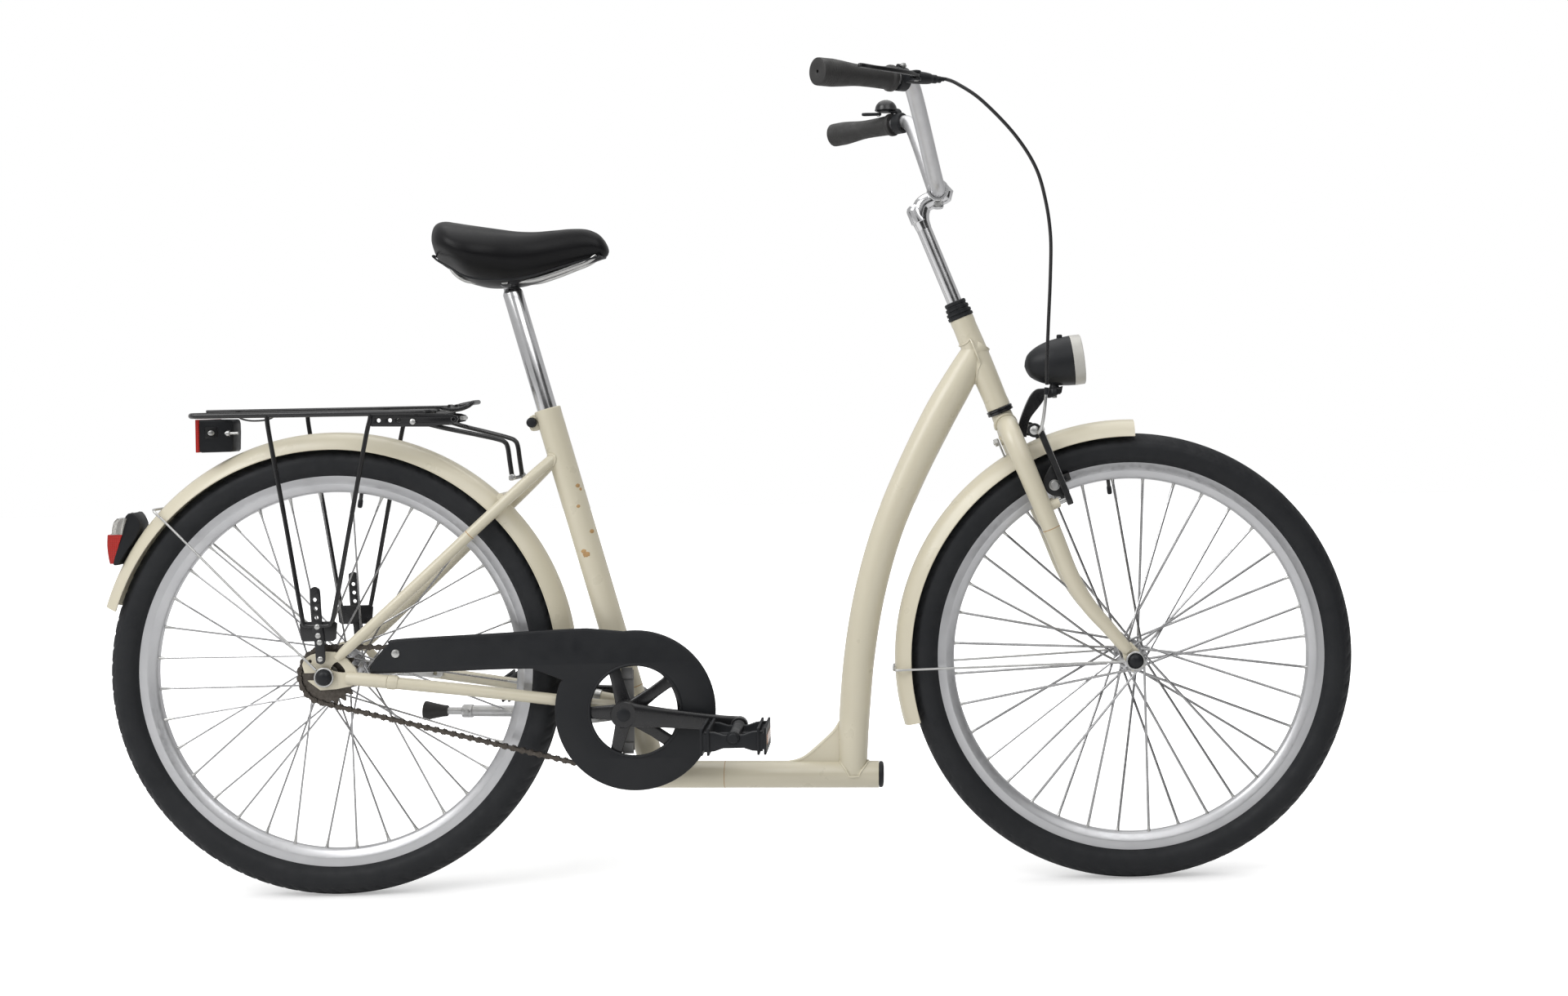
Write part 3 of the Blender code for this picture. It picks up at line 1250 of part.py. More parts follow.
edge = bridge_edge[:2] + [(BB_X + 9, BB_Z - 14), (BB_X + WAIST, BB_Z), (BB_X + 9, BB_Z + 14)] + bridge_edge[2:] + waist
join(shell, plate("guard_bracket", edge, -36.5, -33.5, None, [arc(BB_X, BB_Z, 11, 10)]))
for i, z in enumerate((BB_Z - 54, BB_Z + 54)):
    join(shell, block("guard_clip_%d" % i, (BB_X, -38.5, z), (16, 6, 16)))

# Kickstand on the left: a bracket on the chain stay and a leg that folds back.

STAND_PIVOT = Vector((362, 47, 250))
STAND_AXIS = Vector((-0.14, 1.0, 0.148)).normalized()
mount_outline = [(338, 268), (350, 238), (374, 238), (388, 250), (388, 260.5), (366, 265)]
stand_mount = plate("kickstand_bracket", mount_outline, 29.0, 34.0, STEEL, at=STAND_PIVOT)
pin = [STAND_PIVOT - STAND_AXIS * 16, STAND_PIVOT + STAND_AXIS * 10.5]
join(stand_mount, rod("stand_pin", pin, 5.0, sides=8))
join(stand_mount, rod("stand_pin_head", [pin[1] - STAND_AXIS * 1.5, pin[1] + STAND_AXIS * 2.0], 8.0, sides=8))
FOOT = Vector((107, 61, 254))
heel = FOOT + (STAND_PIVOT - FOOT).normalized() * 44
leg = rod("kickstand_leg", [STAND_PIVOT, heel], 7.5, SILVER, 10, STAND_PIVOT)
join(leg, rod("stand_eye", [STAND_PIVOT - STAND_AXIS * 10, STAND_PIVOT + STAND_AXIS * 7], 11.0, sides=10))
join(leg, rod("stand_foot", [heel, FOOT], 10.5, None, 8, radii=[0.62, 1.25]))
stand_hole = [STAND_PIVOT - STAND_AXIS * 20, STAND_PIVOT + STAND_AXIS * 20]
cut(leg, rod("stand_hole", stand_hole, turning_room(5.0, 10), sides=10))


# Joint axes: an empty on each one carries the pieces that turn or slide there.

def carried(name, spot, toward, names, under=None):
    """An empty with its Z along the joint's axis; the named pieces keep their places under it."""
    pivot = bpy.data.objects.new(name, None)
    pivot.empty_display_size = 0.04
    place = Matrix.Translation((Vector(spot) - SHIFT) * MM)
    turn = Vector(toward).to_track_quat("Z", "X").to_matrix().to_4x4()
    parts.objects.link(pivot)
    held = under.matrix_world.inverted() if under else Matrix.Identity(4)
    pivot.parent = under
    pivot.matrix_basis = held @ place @ turn
    bpy.context.view_layer.update()
    for piece in names:
        child = bpy.data.objects[piece]
        child.parent = pivot
        child.matrix_parent_inverse = pivot.matrix_world.inverted()
    return pivot


ACROSS = (0, 1, 0)
bar_pieces = ["fork", "front_axle", "headset_upper", "stem", "handlebar", "grip_right", "grip_left"]
bar_pieces += ["lever_body", "bell_body", "brake_cable", "brake_wire", "headlamp_body", "headlamp_lens"]
bar_pieces += ["front_mudguard", "front_guard_stay"]
turning = carried("steering_axis", steer(0), UP, bar_pieces)
wheel_pieces = ["_tyre", "_rim", "_inner_tube", "_hub"]
front_pieces = ["front" + piece for piece in wheel_pieces]
rear_pieces = ["rear" + piece for piece in wheel_pieces]
carried("front_wheel_axis", (WHEELBASE, 0, AXLE_Z), ACROSS, front_pieces, turning)
carried("rear_wheel_axis", (0, 0, AXLE_Z), ACROSS, rear_pieces)
carried("sprocket_axis", (0, 0, AXLE_Z), ACROSS, ["rear_sprocket"])
cranks = carried("crank_axis", BB, ACROSS, ["crank_right", "crank_left", "chainring"])
carried("right_pedal_axis", crank_end + Vector((0, -128, 0)), ACROSS, ["pedal_right"], cranks)
carried("left_pedal_axis", left_end + Vector((0, 128, 0)), ACROSS, ["pedal_left"], cranks)
carried("lever_axis", LEVER_PIVOT, (0, 0, 1), ["lever_blade"], turning)
carried("bell_lever_axis", BELL_PIVOT, (0, 0, 1), ["bell_lever"], turning)
for side, way in (("right", -1), ("left", 1)):
    arm_pieces = ["brake_arm_" + side, "brake_pad_" + side]
    carried("brake_axis_" + side, steer(158, ARM_AHEAD, way * 48), AXIS_AHEAD, arm_pieces, turning)
carried("kickstand_axis", STAND_PIVOT, STAND_AXIS, ["kickstand_leg"])
carried("clip_axis", (CLIP_HINGE[0], 0, CLIP_HINGE[1]), ACROSS, ["rack_clip"])
carried("seat_height_axis", seat(0), SEAT_UP, ["seatpost", "saddle_rails", "saddle"])
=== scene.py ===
"""The finished look of a step-through city bicycle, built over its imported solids.

Sizes are in millimetres, with X measured forward from the rear axle, Y to the rider's left and Z up
from the ground.
"""

import math

import bmesh
import bpy
import numpy as np
from mathutils import Matrix, Vector


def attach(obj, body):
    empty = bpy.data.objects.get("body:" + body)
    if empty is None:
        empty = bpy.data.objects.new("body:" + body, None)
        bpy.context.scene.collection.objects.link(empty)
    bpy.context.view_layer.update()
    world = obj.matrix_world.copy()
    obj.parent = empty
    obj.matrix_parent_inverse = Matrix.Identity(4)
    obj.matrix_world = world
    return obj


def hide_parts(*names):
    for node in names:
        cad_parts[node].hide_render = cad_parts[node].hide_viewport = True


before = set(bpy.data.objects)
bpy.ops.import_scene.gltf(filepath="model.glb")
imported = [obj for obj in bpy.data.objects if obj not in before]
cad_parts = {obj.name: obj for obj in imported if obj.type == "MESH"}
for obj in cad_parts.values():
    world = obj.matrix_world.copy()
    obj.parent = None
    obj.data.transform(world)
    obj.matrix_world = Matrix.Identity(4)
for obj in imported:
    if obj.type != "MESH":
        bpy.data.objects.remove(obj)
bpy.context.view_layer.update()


# Step-through frame: welded steel tubes under thick cream enamel. One big tube swoops down
# from the head, a straight low tube runs back to the bottom bracket, and the seat tube rises
# from there. Each joint has a fillet of weld metal that the enamel has softened.

ORIGIN_FROM_AXLE = 575.0
UP = (0, 0, 1)


def placed(points):
    """Millimetres measured from the rear axle, turned into the finished object's metres."""
    return (np.asarray(points, float) - (ORIGIN_FROM_AXLE, 0, 0)) * 0.001


def unit(vectors):
    vectors = np.asarray(vectors, float)
    return vectors / np.linalg.norm(vectors, axis=-1, keepdims=True)


def flowing(points, per_span=8, closed=False):
    """A Catmull-Rom curve: each span is a cubic through its ends, sloped by the points beside them."""
    points = np.asarray(points, float)
    if closed:
        run = np.concatenate([points[-1:], points, points[:2]])
    else:
        run = np.concatenate([2 * points[:1] - points[1:2], points, 2 * points[-1:] - points[-2:-1]])
    a, b, c, d = run[:-3, None], run[1:-2, None], run[2:-1, None], run[3:, None]
    t = (np.arange(per_span) / per_span)[None, :, None]
    curve = 0.5 * (2 * b + (c - a) * t + (2 * a - 5 * b + 4 * c - d) * t**2 + (3 * b - a - 3 * c + d) * t**3)
    curve = curve.reshape(-1, points.shape[1])
    return curve if closed else np.concatenate([curve, points[-1:]])


def full_turn(count):
    """Angles evenly round a circle."""
    return np.linspace(0, 2 * np.pi, count, endpoint=False)


def rays(degrees):
    """Two unit vectors in the wheels' plane: one turned up from straight ahead, and one square to it."""
    turn = math.radians(degrees)
    return np.array([math.cos(turn), 0, math.sin(turn)]), np.array([-math.sin(turn), 0, math.cos(turn)])


def in_plane(line, y=0):
    """A line drawn in X and Z, set at one distance to the left."""
    line = np.asarray(line, float)
    return np.stack([line[..., 0], np.full(line.shape[:-1], float(y)), line[..., 1]], axis=-1)


def grid_faces(rows, columns, closed=False, ends=False):
    """Quads that join each point of a grid to its next row and column, with a lid over each end if asked."""
    r = np.arange(rows if closed else rows - 1)[:, None]
    c = np.arange(columns)[None, :]
    next_r = (r + 1) % rows
    next_c = (c + 1) % columns
    low, high = r * columns, next_r * columns
    quads = np.stack([low + c, low + next_c, high + next_c, high + c], axis=-1)
    faces = quads.reshape(-1, 4).tolist()
    if ends:
        faces += [list(range(columns)), list(range(rows * columns - 1, (rows - 1) * columns - 1, -1))]
    return faces


def along(path, radii, sides=20, level=(0, 1, 0), closed=False):
    """A round bar: at each point of the path, a ring of the given radius square to the path."""
    path = np.asarray(path, float)
    if closed:
        heading = unit(np.roll(path, -1, 0) - np.roll(path, 1, 0))
    else:
        heading = unit(np.gradient(path, axis=0))
    level = np.asarray(level, float)
    across = unit(level - heading * (heading @ level)[:, None])
    other = np.cross(heading, across)
    turn = full_turn(sides)
    radii = np.broadcast_to(np.asarray(radii, float), (len(path),))[:, None, None]
    ring = across[:, None] * np.cos(turn)[None, :, None] + other[:, None] * np.sin(turn)[None, :, None]
    return (path[:, None] + radii * ring).reshape(-1, 3), grid_faces(len(path), sides, closed, not closed)


def spun(profile, centre, axis=(0, 1, 0), steps=48, closed=False, way=1):
    """A turned shape: each profile point (radius, distance along the axis) swept in a full circle.

    A way of -1 counts the distances backwards, for the piece on the other side of the bicycle.
    """
    profile = np.asarray(profile, float) * (1, way)
    axis = unit(axis)
    start = unit(np.cross(axis, (0, 0, 1) if abs(axis[2]) < 0.9 else (1, 0, 0)))
    side = np.cross(axis, start)
    turn = full_turn(steps)
    out = start * np.cos(turn)[:, None] + side * np.sin(turn)[:, None]
    points = np.asarray(centre, float) + profile[:, None, 1:] * axis + profile[:, None, :1] * out[None]
    return points.reshape(-1, 3), grid_faces(len(profile), steps, closed)


def sheet_cut(outline, holes, thick, origin, right=(1, 0, 0), up=(0, 0, 1), edge=0.4, resolution=2):
    """A flat piece cut to an outline with holes, its rims rounded by the width of the edge."""
    data = bpy.data.curves.new("outline", "CURVE")
    data.dimensions = "2D"
    data.fill_mode = "BOTH"
    data.extrude = thick / 2 - edge
    data.bevel_depth = edge
    data.bevel_resolution = resolution
    data.offset = -edge
    for loop in [outline, *holes]:
        line = data.splines.new("POLY")
        line.points.add(len(loop) - 1)
        line.use_cyclic_u = True
        flat_points = np.zeros((len(loop), 4))
        flat_points[:, :2] = np.asarray(loop)
        flat_points[:, 3] = 1
        line.points.foreach_set("co", flat_points.ravel())
    made = bpy.data.objects.new("outline", data)
    bpy.context.scene.collection.objects.link(made)
    bpy.context.view_layer.update()
    mesh = bpy.data.meshes.new_from_object(made.evaluated_get(bpy.context.evaluated_depsgraph_get()))
    points = np.empty(len(mesh.vertices) * 3)
    mesh.vertices.foreach_get("co", points)
    points = points.reshape(-1, 3)
    faces = [list(p.vertices) for p in mesh.polygons]
    bpy.data.objects.remove(made)
    bpy.data.curves.remove(data)
    bpy.data.meshes.remove(mesh)
    right, up = unit(right), unit(up)
    spots = points[:, :1] * right + points[:, 1:2] * up + points[:, 2:] * np.cross(right, up)
    return spots + np.asarray(origin, float), faces


def side_plate(outline, low, high, holes=(), edge=0.4):
    """A flat piece drawn in X and Z that reaches from Y = low to Y = high."""
    return sheet_cut(outline, holes, abs(high - low), (0, (low + high) / 2, 0), edge=edge)


def on_circle(x, z, radius, turn):
    """The places at some angles round a circle."""
    return np.stack([x + radius * np.cos(turn), z + radius * np.sin(turn)], axis=-1)


def circle(x, z, radius, count=24, start=0, end=2 * np.pi):
    turn = np.linspace(start, end, count, endpoint=abs(end - start) < 2 * np.pi - 1e-6)
    return on_circle(x, z, radius, turn)


def rod(start, end, count, radii, sides=20):
    """A straight round bar with a number of rings along it."""
    return along(np.linspace(start, end, count), radii, sides, UP)


def piece(solid, body, shapes, crisp=35, name=None):
    """One object in place of a solid, from a list of finishes, each followed by the shapes that have it."""
    name = name or solid + "_skin"
    points, faces, numbers, finishes = [], [], [], []
    count = 0
    for item in shapes:
        if isinstance(item, bpy.types.Material):
            if item not in finishes:
                finishes.append(item)
            number = finishes.index(item)
            continue
        points.append(placed(item[0]))
        faces += [[i + count for i in face] for face in item[1]]
        numbers += [number] * len(item[1])
        count += len(item[0])
    mesh = bpy.data.meshes.new(name)
    mesh.from_pydata(np.concatenate(points).tolist(), [], faces)
    for used in finishes:
        mesh.materials.append(used)
    mesh.polygons.foreach_set("material_index", numbers)
    work = bmesh.new()
    work.from_mesh(mesh)
    bmesh.ops.remove_doubles(work, verts=work.verts, dist=1e-6)
    bmesh.ops.dissolve_degenerate(work, edges=work.edges, dist=1e-7)
    bmesh.ops.recalc_face_normals(work, faces=work.faces)
    work.to_mesh(mesh)
    work.free()
    mesh.shade_smooth()
    mesh.set_sharp_from_angle(angle=math.radians(crisp))
    made = bpy.data.objects.new(name, mesh)
    bpy.context.scene.collection.objects.link(made)
    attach(made, body)
    if solid:
        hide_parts(solid)
    return made


def node(tree, kind, **values):
    """A shader node with its settings, and its unlinked inputs as in_ and their names."""
    made = tree.nodes.new(kind)
    for key, value in values.items():
        if key.startswith("in_"):
            made.inputs[key[3:].replace("_", " ")].default_value = value
        else:
            setattr(made, key, value)
    return made


def mottled(tree, shader, scale, low, high, detail=4, socket="Base Color"):
    """Noise in the object's own space drives one input between two colours or two values."""
    place = node(tree, "ShaderNodeTexCoord")
    noise = node(tree, "ShaderNodeTexNoise", in_Scale=scale, in_Detail=detail)
    tree.links.new(place.outputs["Object"], noise.inputs["Vector"])
    if socket == "Base Color":
        ramp = node(tree, "ShaderNodeMix", data_type="RGBA")
        ramp.inputs[6].default_value = (*low, 1)
        ramp.inputs[7].default_value = (*high, 1)
        tree.links.new(noise.outputs["Fac"], ramp.inputs[0])
        tree.links.new(ramp.outputs[2], shader.inputs[socket])
    else:
        ramp = node(tree, "ShaderNodeMapRange")
        ramp.inputs["From Min"].default_value = 0.3
        ramp.inputs["From Max"].default_value = 0.7
        ramp.inputs["To Min"].default_value = low
        ramp.inputs["To Max"].default_value = high
        tree.links.new(noise.outputs["Fac"], ramp.inputs["Value"])
        tree.links.new(ramp.outputs["Result"], shader.inputs[socket])


def grained(tree, shader, scale, height, strength):
    """A fine bump from noise in the object's own space."""
    place = node(tree, "ShaderNodeTexCoord")
    noise = node(tree, "ShaderNodeTexNoise", in_Scale=scale, in_Detail=2, in_Roughness=0.5)
    bump = node(tree, "ShaderNodeBump", in_Strength=strength, in_Distance=height)
    tree.links.new(place.outputs["Object"], noise.inputs["Vector"])
    tree.links.new(noise.outputs["Fac"], bump.inputs["Height"])
    tree.links.new(bump.outputs["Normal"], shader.inputs["Normal"])


def finish(name, colour, metallic, roughness, tint=None, gloss=None, grain=None, **inputs):
    """One finish: a plain shader whose colour and roughness drift a little, with a fine grain pressed in."""
    made = bpy.data.materials.new(name)
    made.use_nodes = True
    made.diffuse_color = (*colour, 1)
    tree = made.node_tree
    shader = tree.nodes["Principled BSDF"]
    plain = {"Base_Color": (*colour, 1), "Metallic": metallic, "Roughness": roughness}
    for socket, value in {**plain, **inputs}.items():
        shader.inputs[socket.replace("_", " ")].default_value = value
    if tint:
        mottled(tree, shader, *tint)
    if gloss:
        mottled(tree, shader, *gloss, socket="Roughness")
    if grain:
        grained(tree, shader, *grain)
    return made


# Warm cream gloss enamel: a faint orange peel, and colour that drifts a little from place to place.
CREAM = finish(
    "cream_enamel", (0.61, 0.565, 0.44), 0, 0.34, tint=(9, (0.58, 0.54, 0.415), (0.64, 0.59, 0.465)),
    gloss=(30, 0.26, 0.40), grain=(420, 0.0002, 0.12), Coat_Weight=0.25, Coat_Roughness=0.16
)

HEAD_LOW = np.array([969.9, 0, 693.5])
HEAD_TILT = 21.8
HEAD_LENGTH = 143.0
AHEAD_AXIS, UP_AXIS = rays(HEAD_TILT)
DOWN_AXIS = -UP_AXIS


def steer(down, ahead=0, left=0):
    """A place given along the steering axis from the head tube's lower end."""
    return HEAD_LOW + DOWN_AXIS * down + AHEAD_AXIS * ahead + (0, left, 0)


def weld(centre, heading, radius, host, host_axis, host_radius, thick):
    """A fillet of weld metal: a rippled round bead along the curve where a tube's skin meets its host's."""
    heading, host_axis = unit(heading), unit(host_axis)
    side = unit(np.cross(heading, (0, 1, 0) if abs(heading[1]) < 0.9 else (1, 0, 0)))
    other = np.cross(heading, side)
    turn = full_turn(72)
    ring = np.cos(turn)[:, None] * side + np.sin(turn)[:, None] * other
    start = np.asarray(centre, float) + radius * ring
    gap = start - np.asarray(host, float)
    flat_gap = gap - (gap @ host_axis)[:, None] * host_axis
    flat_way = heading - (heading @ host_axis) * host_axis
    a = flat_way @ flat_way
    b = 2 * flat_gap @ flat_way
    c = np.sum(flat_gap**2, axis=1) - host_radius**2
    reach = (-b - np.sqrt(np.maximum(b * b - 4 * a * c, 0))) / (2 * a)
    curve = start + reach[:, None] * heading
    middle = curve - heading * thick * 0.35
    ripple = 1 + 0.05 * np.sin(24 * turn)
    return along(middle, thick * ripple, 10, heading, closed=True)


head_steps = [
    (15, 0), (17.2, 0), (17.8, 0.6), (17.9, 8), (17.4, 12), (18, 40), (18.4, 72), (18, 104),
    (17.4, HEAD_LENGTH - 12), (17.9, HEAD_LENGTH - 8), (17.8, HEAD_LENGTH - 0.6), (17.2, HEAD_LENGTH),
    (15, HEAD_LENGTH)
]
head_shape = spun(head_steps, HEAD_LOW, -DOWN_AXIS, 56, closed=True)
piece("head_tube", "frame", [CREAM, head_shape])

# The big tube's middle line: forward, up, and the tube's radius there.
SWOOP = [
    (944, 789, 16.5), (930, 766, 20.2), (908, 728, 23.2), (880, 680, 24.2), (839, 600, 23.4),
    (802.5, 515, 22.7), (776, 425, 22.7), (759.5, 335, 22.7), (750.5, 245, 22.4), (748.2, 195, 21),
    (748, 162, 19.4)
]
swoop = flowing(SWOOP, 10)
swoop_shape = along(in_plane(swoop[:, :2]), swoop[:, 2], 48)
head_bead = weld((880, 0, 680), (0.5, 0, 0.866), 23.6, HEAD_LOW, DOWN_AXIS, 17.8, 1.5)
piece("down_tube", "frame", [CREAM, swoop_shape, head_bead])

LOW_TUBE_START = np.array([440, 0, 165.1])
LOW_TUBE_END = np.array([785, 0, 158.3])
low_way = unit(LOW_TUBE_END - LOW_TUBE_START)
LOW_RADIUS = 19.5
low_profile = [(17.5, 0), (19.2, 0), (LOW_RADIUS, 0.4), (LOW_RADIUS, 344.5), (19.2, 345), (17.5, 345)]
low_shape = spun(low_profile, LOW_TUBE_START, low_way, 48, closed=True)
low_bead = weld((749, 0, 230), (0, 0, -1), 21, LOW_TUBE_START, low_way, LOW_RADIUS, 1.4)
gusset = flowing([
    (654, 178.5), (666, 181), (680, 187.5), (700, 204), (720, 222.5), (728, 233), (735, 236), (735, 172),
    (654, 172)
], 1)
gusset_shape = side_plate(gusset, -2.6, 2.6, edge=0.8)
edge_run = flowing([(650, 177.5), (666, 180.5), (680, 187), (700, 203.5), (720, 222), (730, 236)], 6)
low_shapes = [CREAM, low_shape, low_bead, gusset_shape, along(in_plane(edge_run), 3, 12)]

# The thin rust-brown line that shows where two lengths of tube were joined before the paint.
SEAM = finish("seam_stain", (0.42, 0.25, 0.10), 0, 0.5, tint=(160, (0.30, 0.16, 0.06), (0.55, 0.36, 0.16)))


def seam(centre, axis, radius, width=0.9):
    """A hair-thin ring round a tube, proud of it by a tenth of a millimetre."""
    half = width / 2
    profile = [(radius - 0.4, -half), (radius + 0.12, -half), (radius + 0.12, half), (radius - 0.4, half)]
    return spun(profile, centre, axis, 48, closed=True)


low_seam = LOW_TUBE_START + low_way * 120.0
low_shapes += [SEAM, seam(low_seam, low_way, LOW_RADIUS)]
piece("bottom_tube", "frame", low_shapes)

SEAT_TILT = 15.5
SEAT_AHEAD, SEAT_UP = rays(SEAT_TILT)
SEAT_TOP = np.array([309, 0, 702.5])
BRACKET = np.array([424.77, 0, 266])


def seat(up, ahead=0, left=0):
    """A place given along the seat tube from its top edge."""
    return SEAT_TOP + SEAT_UP * up + SEAT_AHEAD * ahead + (0, left, 0)


SEAT_RADIUS = 19.05
seat_profile = [
    (14.9, 0), (18.3, 0), (19.3, -0.9), (19.3, -6), (SEAT_RADIUS, -7.5), (SEAT_RADIUS, -446), (17, -446),
    (17, -58), (14.9, -58)
]
seat_shapes = [CREAM, spun(seat_profile, SEAT_TOP, SEAT_UP, 48, closed=True)]
seat_shapes += [SEAM, seam(seat(-425), SEAT_UP, SEAT_RADIUS, 1.2)]
ear_outline = flowing([(-30, -24), (-17, -25), (-14, -14), (-14, -4), (-24, -3), (-31, -9)], 4, closed=True)
for left in (-3.6, 3.6):
    ear = sheet_cut(ear_outline, [circle(-25, -13, 3.2, 16)], 4.2, seat(0, 0, left), SEAT_AHEAD, SEAT_UP, 0.8)
    seat_shapes += [CREAM, ear]


# Injection-moulded black plastic: a fine spark grain and a soft sheen.
BLACK_PLASTIC = finish(
    "moulded_black", (0.011, 0.012, 0.014), 0, 0.42, Specular_IOR_Level=0.28,
    tint=(14, (0.008, 0.009, 0.011), (0.016, 0.017, 0.019)), gloss=(60, 0.36, 0.52),
    grain=(1500, 0.00012, 0.25)
)

# Zinc-plated steel for bolts and wires: pale grey with a soft uneven shine.
ZINC = finish(
    "bright_zinc", (0.52, 0.52, 0.51), 1, 0.34, tint=(70, (0.42, 0.42, 0.41), (0.62, 0.62, 0.61)),
    gloss=(120, 0.26, 0.46)
)
bolt_at = seat(-13, -25)
bolt_profile = [(0, 15.4), (4.4, 15.4), (5, 14.6), (5, 11), (3, 11), (3, -8), (0, -8)]
seat_shapes += [ZINC, spun(bolt_profile, bolt_at, (0, 1, 0), 24)]
knob_profile = [(0, -16.2), (5, -16.2), (6.6, -15.4), (7.4, -13.6), (7.4, -8.6), (6.4, -7.4), (0, -7.4)]
seat_shapes += [BLACK_PLASTIC, spun(knob_profile, bolt_at, (0, 1, 0), 32)]
# Chipped paint on the seat tube: how far down, how far ahead of its middle, and the chip's size.
CHIPS = [
    (120, 13.6, 4.4), (126, 15.6, 3.4), (149, 6.6, 3.6), (189.6, 14.4, 4.6), (214, -4.6, 4.6),
    (219.6, -2, 5.6)
]
for down, forward, size in CHIPS:
    lean = forward / SEAT_RADIUS
    outward = SEAT_AHEAD * lean - np.array([0, math.sqrt(1 - lean**2), 0])
    flake = [(0, 19.3), (size * 0.6, 19.25), (size, 18.5), (0, 18.5)]
    seat_shapes += [SEAM, spun(flake, seat(-down), outward, 7)]
piece("seat_tube", "frame", seat_shapes)


# Bottom bracket and rear triangle: the shell that holds the crank, a short post down to the low
# tube, and on each side a chain stay and a seat stay brazed to a plate that takes the axle.
# A grey moulded bracket on the right end of the shell carries the chain guard.

AXLE_Z = 326.5
WHEELBASE = 1158.0
SHELL_RADIUS = 20.0
POST_RADIUS = 18.4
shell_ends = [(17, -34), (19.4, -34), (SHELL_RADIUS, -33.4), (SHELL_RADIUS, 33.4), (19.4, 34), (17, 34)]
shell_shapes = [CREAM, spun(shell_ends, BRACKET, steps=48, closed=True)]
post_top = BRACKET + (5, 0, 0)
post_low = post_top - SEAT_UP * (101 / math.cos(math.radians(SEAT_TILT)))
post_run = post_low + (post_top - post_low) * np.linspace(0, 0.86, 12)[:, None]
shell_shapes += [
    CREAM, along(post_run, POST_RADIUS, 40),
    weld(post_top - SEAT_UP * 60, SEAT_UP, POST_RADIUS, BRACKET, (0, 1, 0), SHELL_RADIUS, 2.6),
    weld(post_low + SEAT_UP * 50, -SEAT_UP, POST_RADIUS, LOW_TUBE_START, low_way, LOW_RADIUS, 2.8)
]

# Mid-grey nylon, slightly mottled where the mould filled.
GREY = finish(
    "grey_nylon", (0.20, 0.20, 0.20), 0, 0.5, tint=(35, (0.15, 0.15, 0.15), (0.25, 0.25, 0.245)),
    grain=(900, 0.0001, 0.2)
)
bx, bz = BRACKET[0], BRACKET[2]
guard_foot = [(bx - 9, bz - 58), (bx + 9, bz - 58), (bx + 9, bz - 20), (bx + 20, bz), (bx + 9, bz + 20)]
guard_foot += [(bx + 9, bz + 58), (bx - 9, bz + 58), (bx - 9, bz + 20), (bx - 20, bz), (bx - 9, bz - 20)]
shell_shapes += [GREY, side_plate(guard_foot, -36.5, -33.5, [circle(bx, bz, 11)], 0.5)]
for z in (bz - 54, bz + 54):
    clip_edge = [(bx - 8, z - 8), (bx + 8, z - 8), (bx + 8, z + 8), (bx - 8, z + 8)]
    shell_shapes += [GREY, side_plate(clip_edge, -41.5, -35.5, edge=1.2)]
piece("bottom_bracket_shell", "frame", shell_shapes, name="bottom_bracket_skin")

CHAIN_STAY = [
    (424.8, 20, 266), (402, 25, 269.5), (362, 33, 276.5), (320, 34.5, 283), (215, 46, 299), (85, 59.5, 317),
    (42, 60, 322.8)
]
CHAIN_STAY_SIZE = [8.5, 8.6, 8.6, 8.5, 8.5, 8.3, 5.6]
SEAT_STAY = [
    (17, 61.5, 352), (34, 61.2, 368), (100, 55, 428), (203, 42, 524), (250, 39, 567), (292, 28, 606),
    (331, 5, 642)
]
SEAT_STAY_SIZE = [5, 7.6, 8, 8, 8, 8, 7.4]
DROPOUT = [
    (-30, 331.8), (-33, 344), (-30, 352), (-20, 358), (-4, 362), (14, 361), (30, 351), (42, 338), (45, 330),
    (44, 316)
]
DROPOUT += [
    (36, 312), (14, 308), (-8, 307), (-26, 321.2), (1.6, 321.2), (4.4, 323.2), (5.5, 326.5), (4.4, 329.8),
    (1.6, 331.8)
]


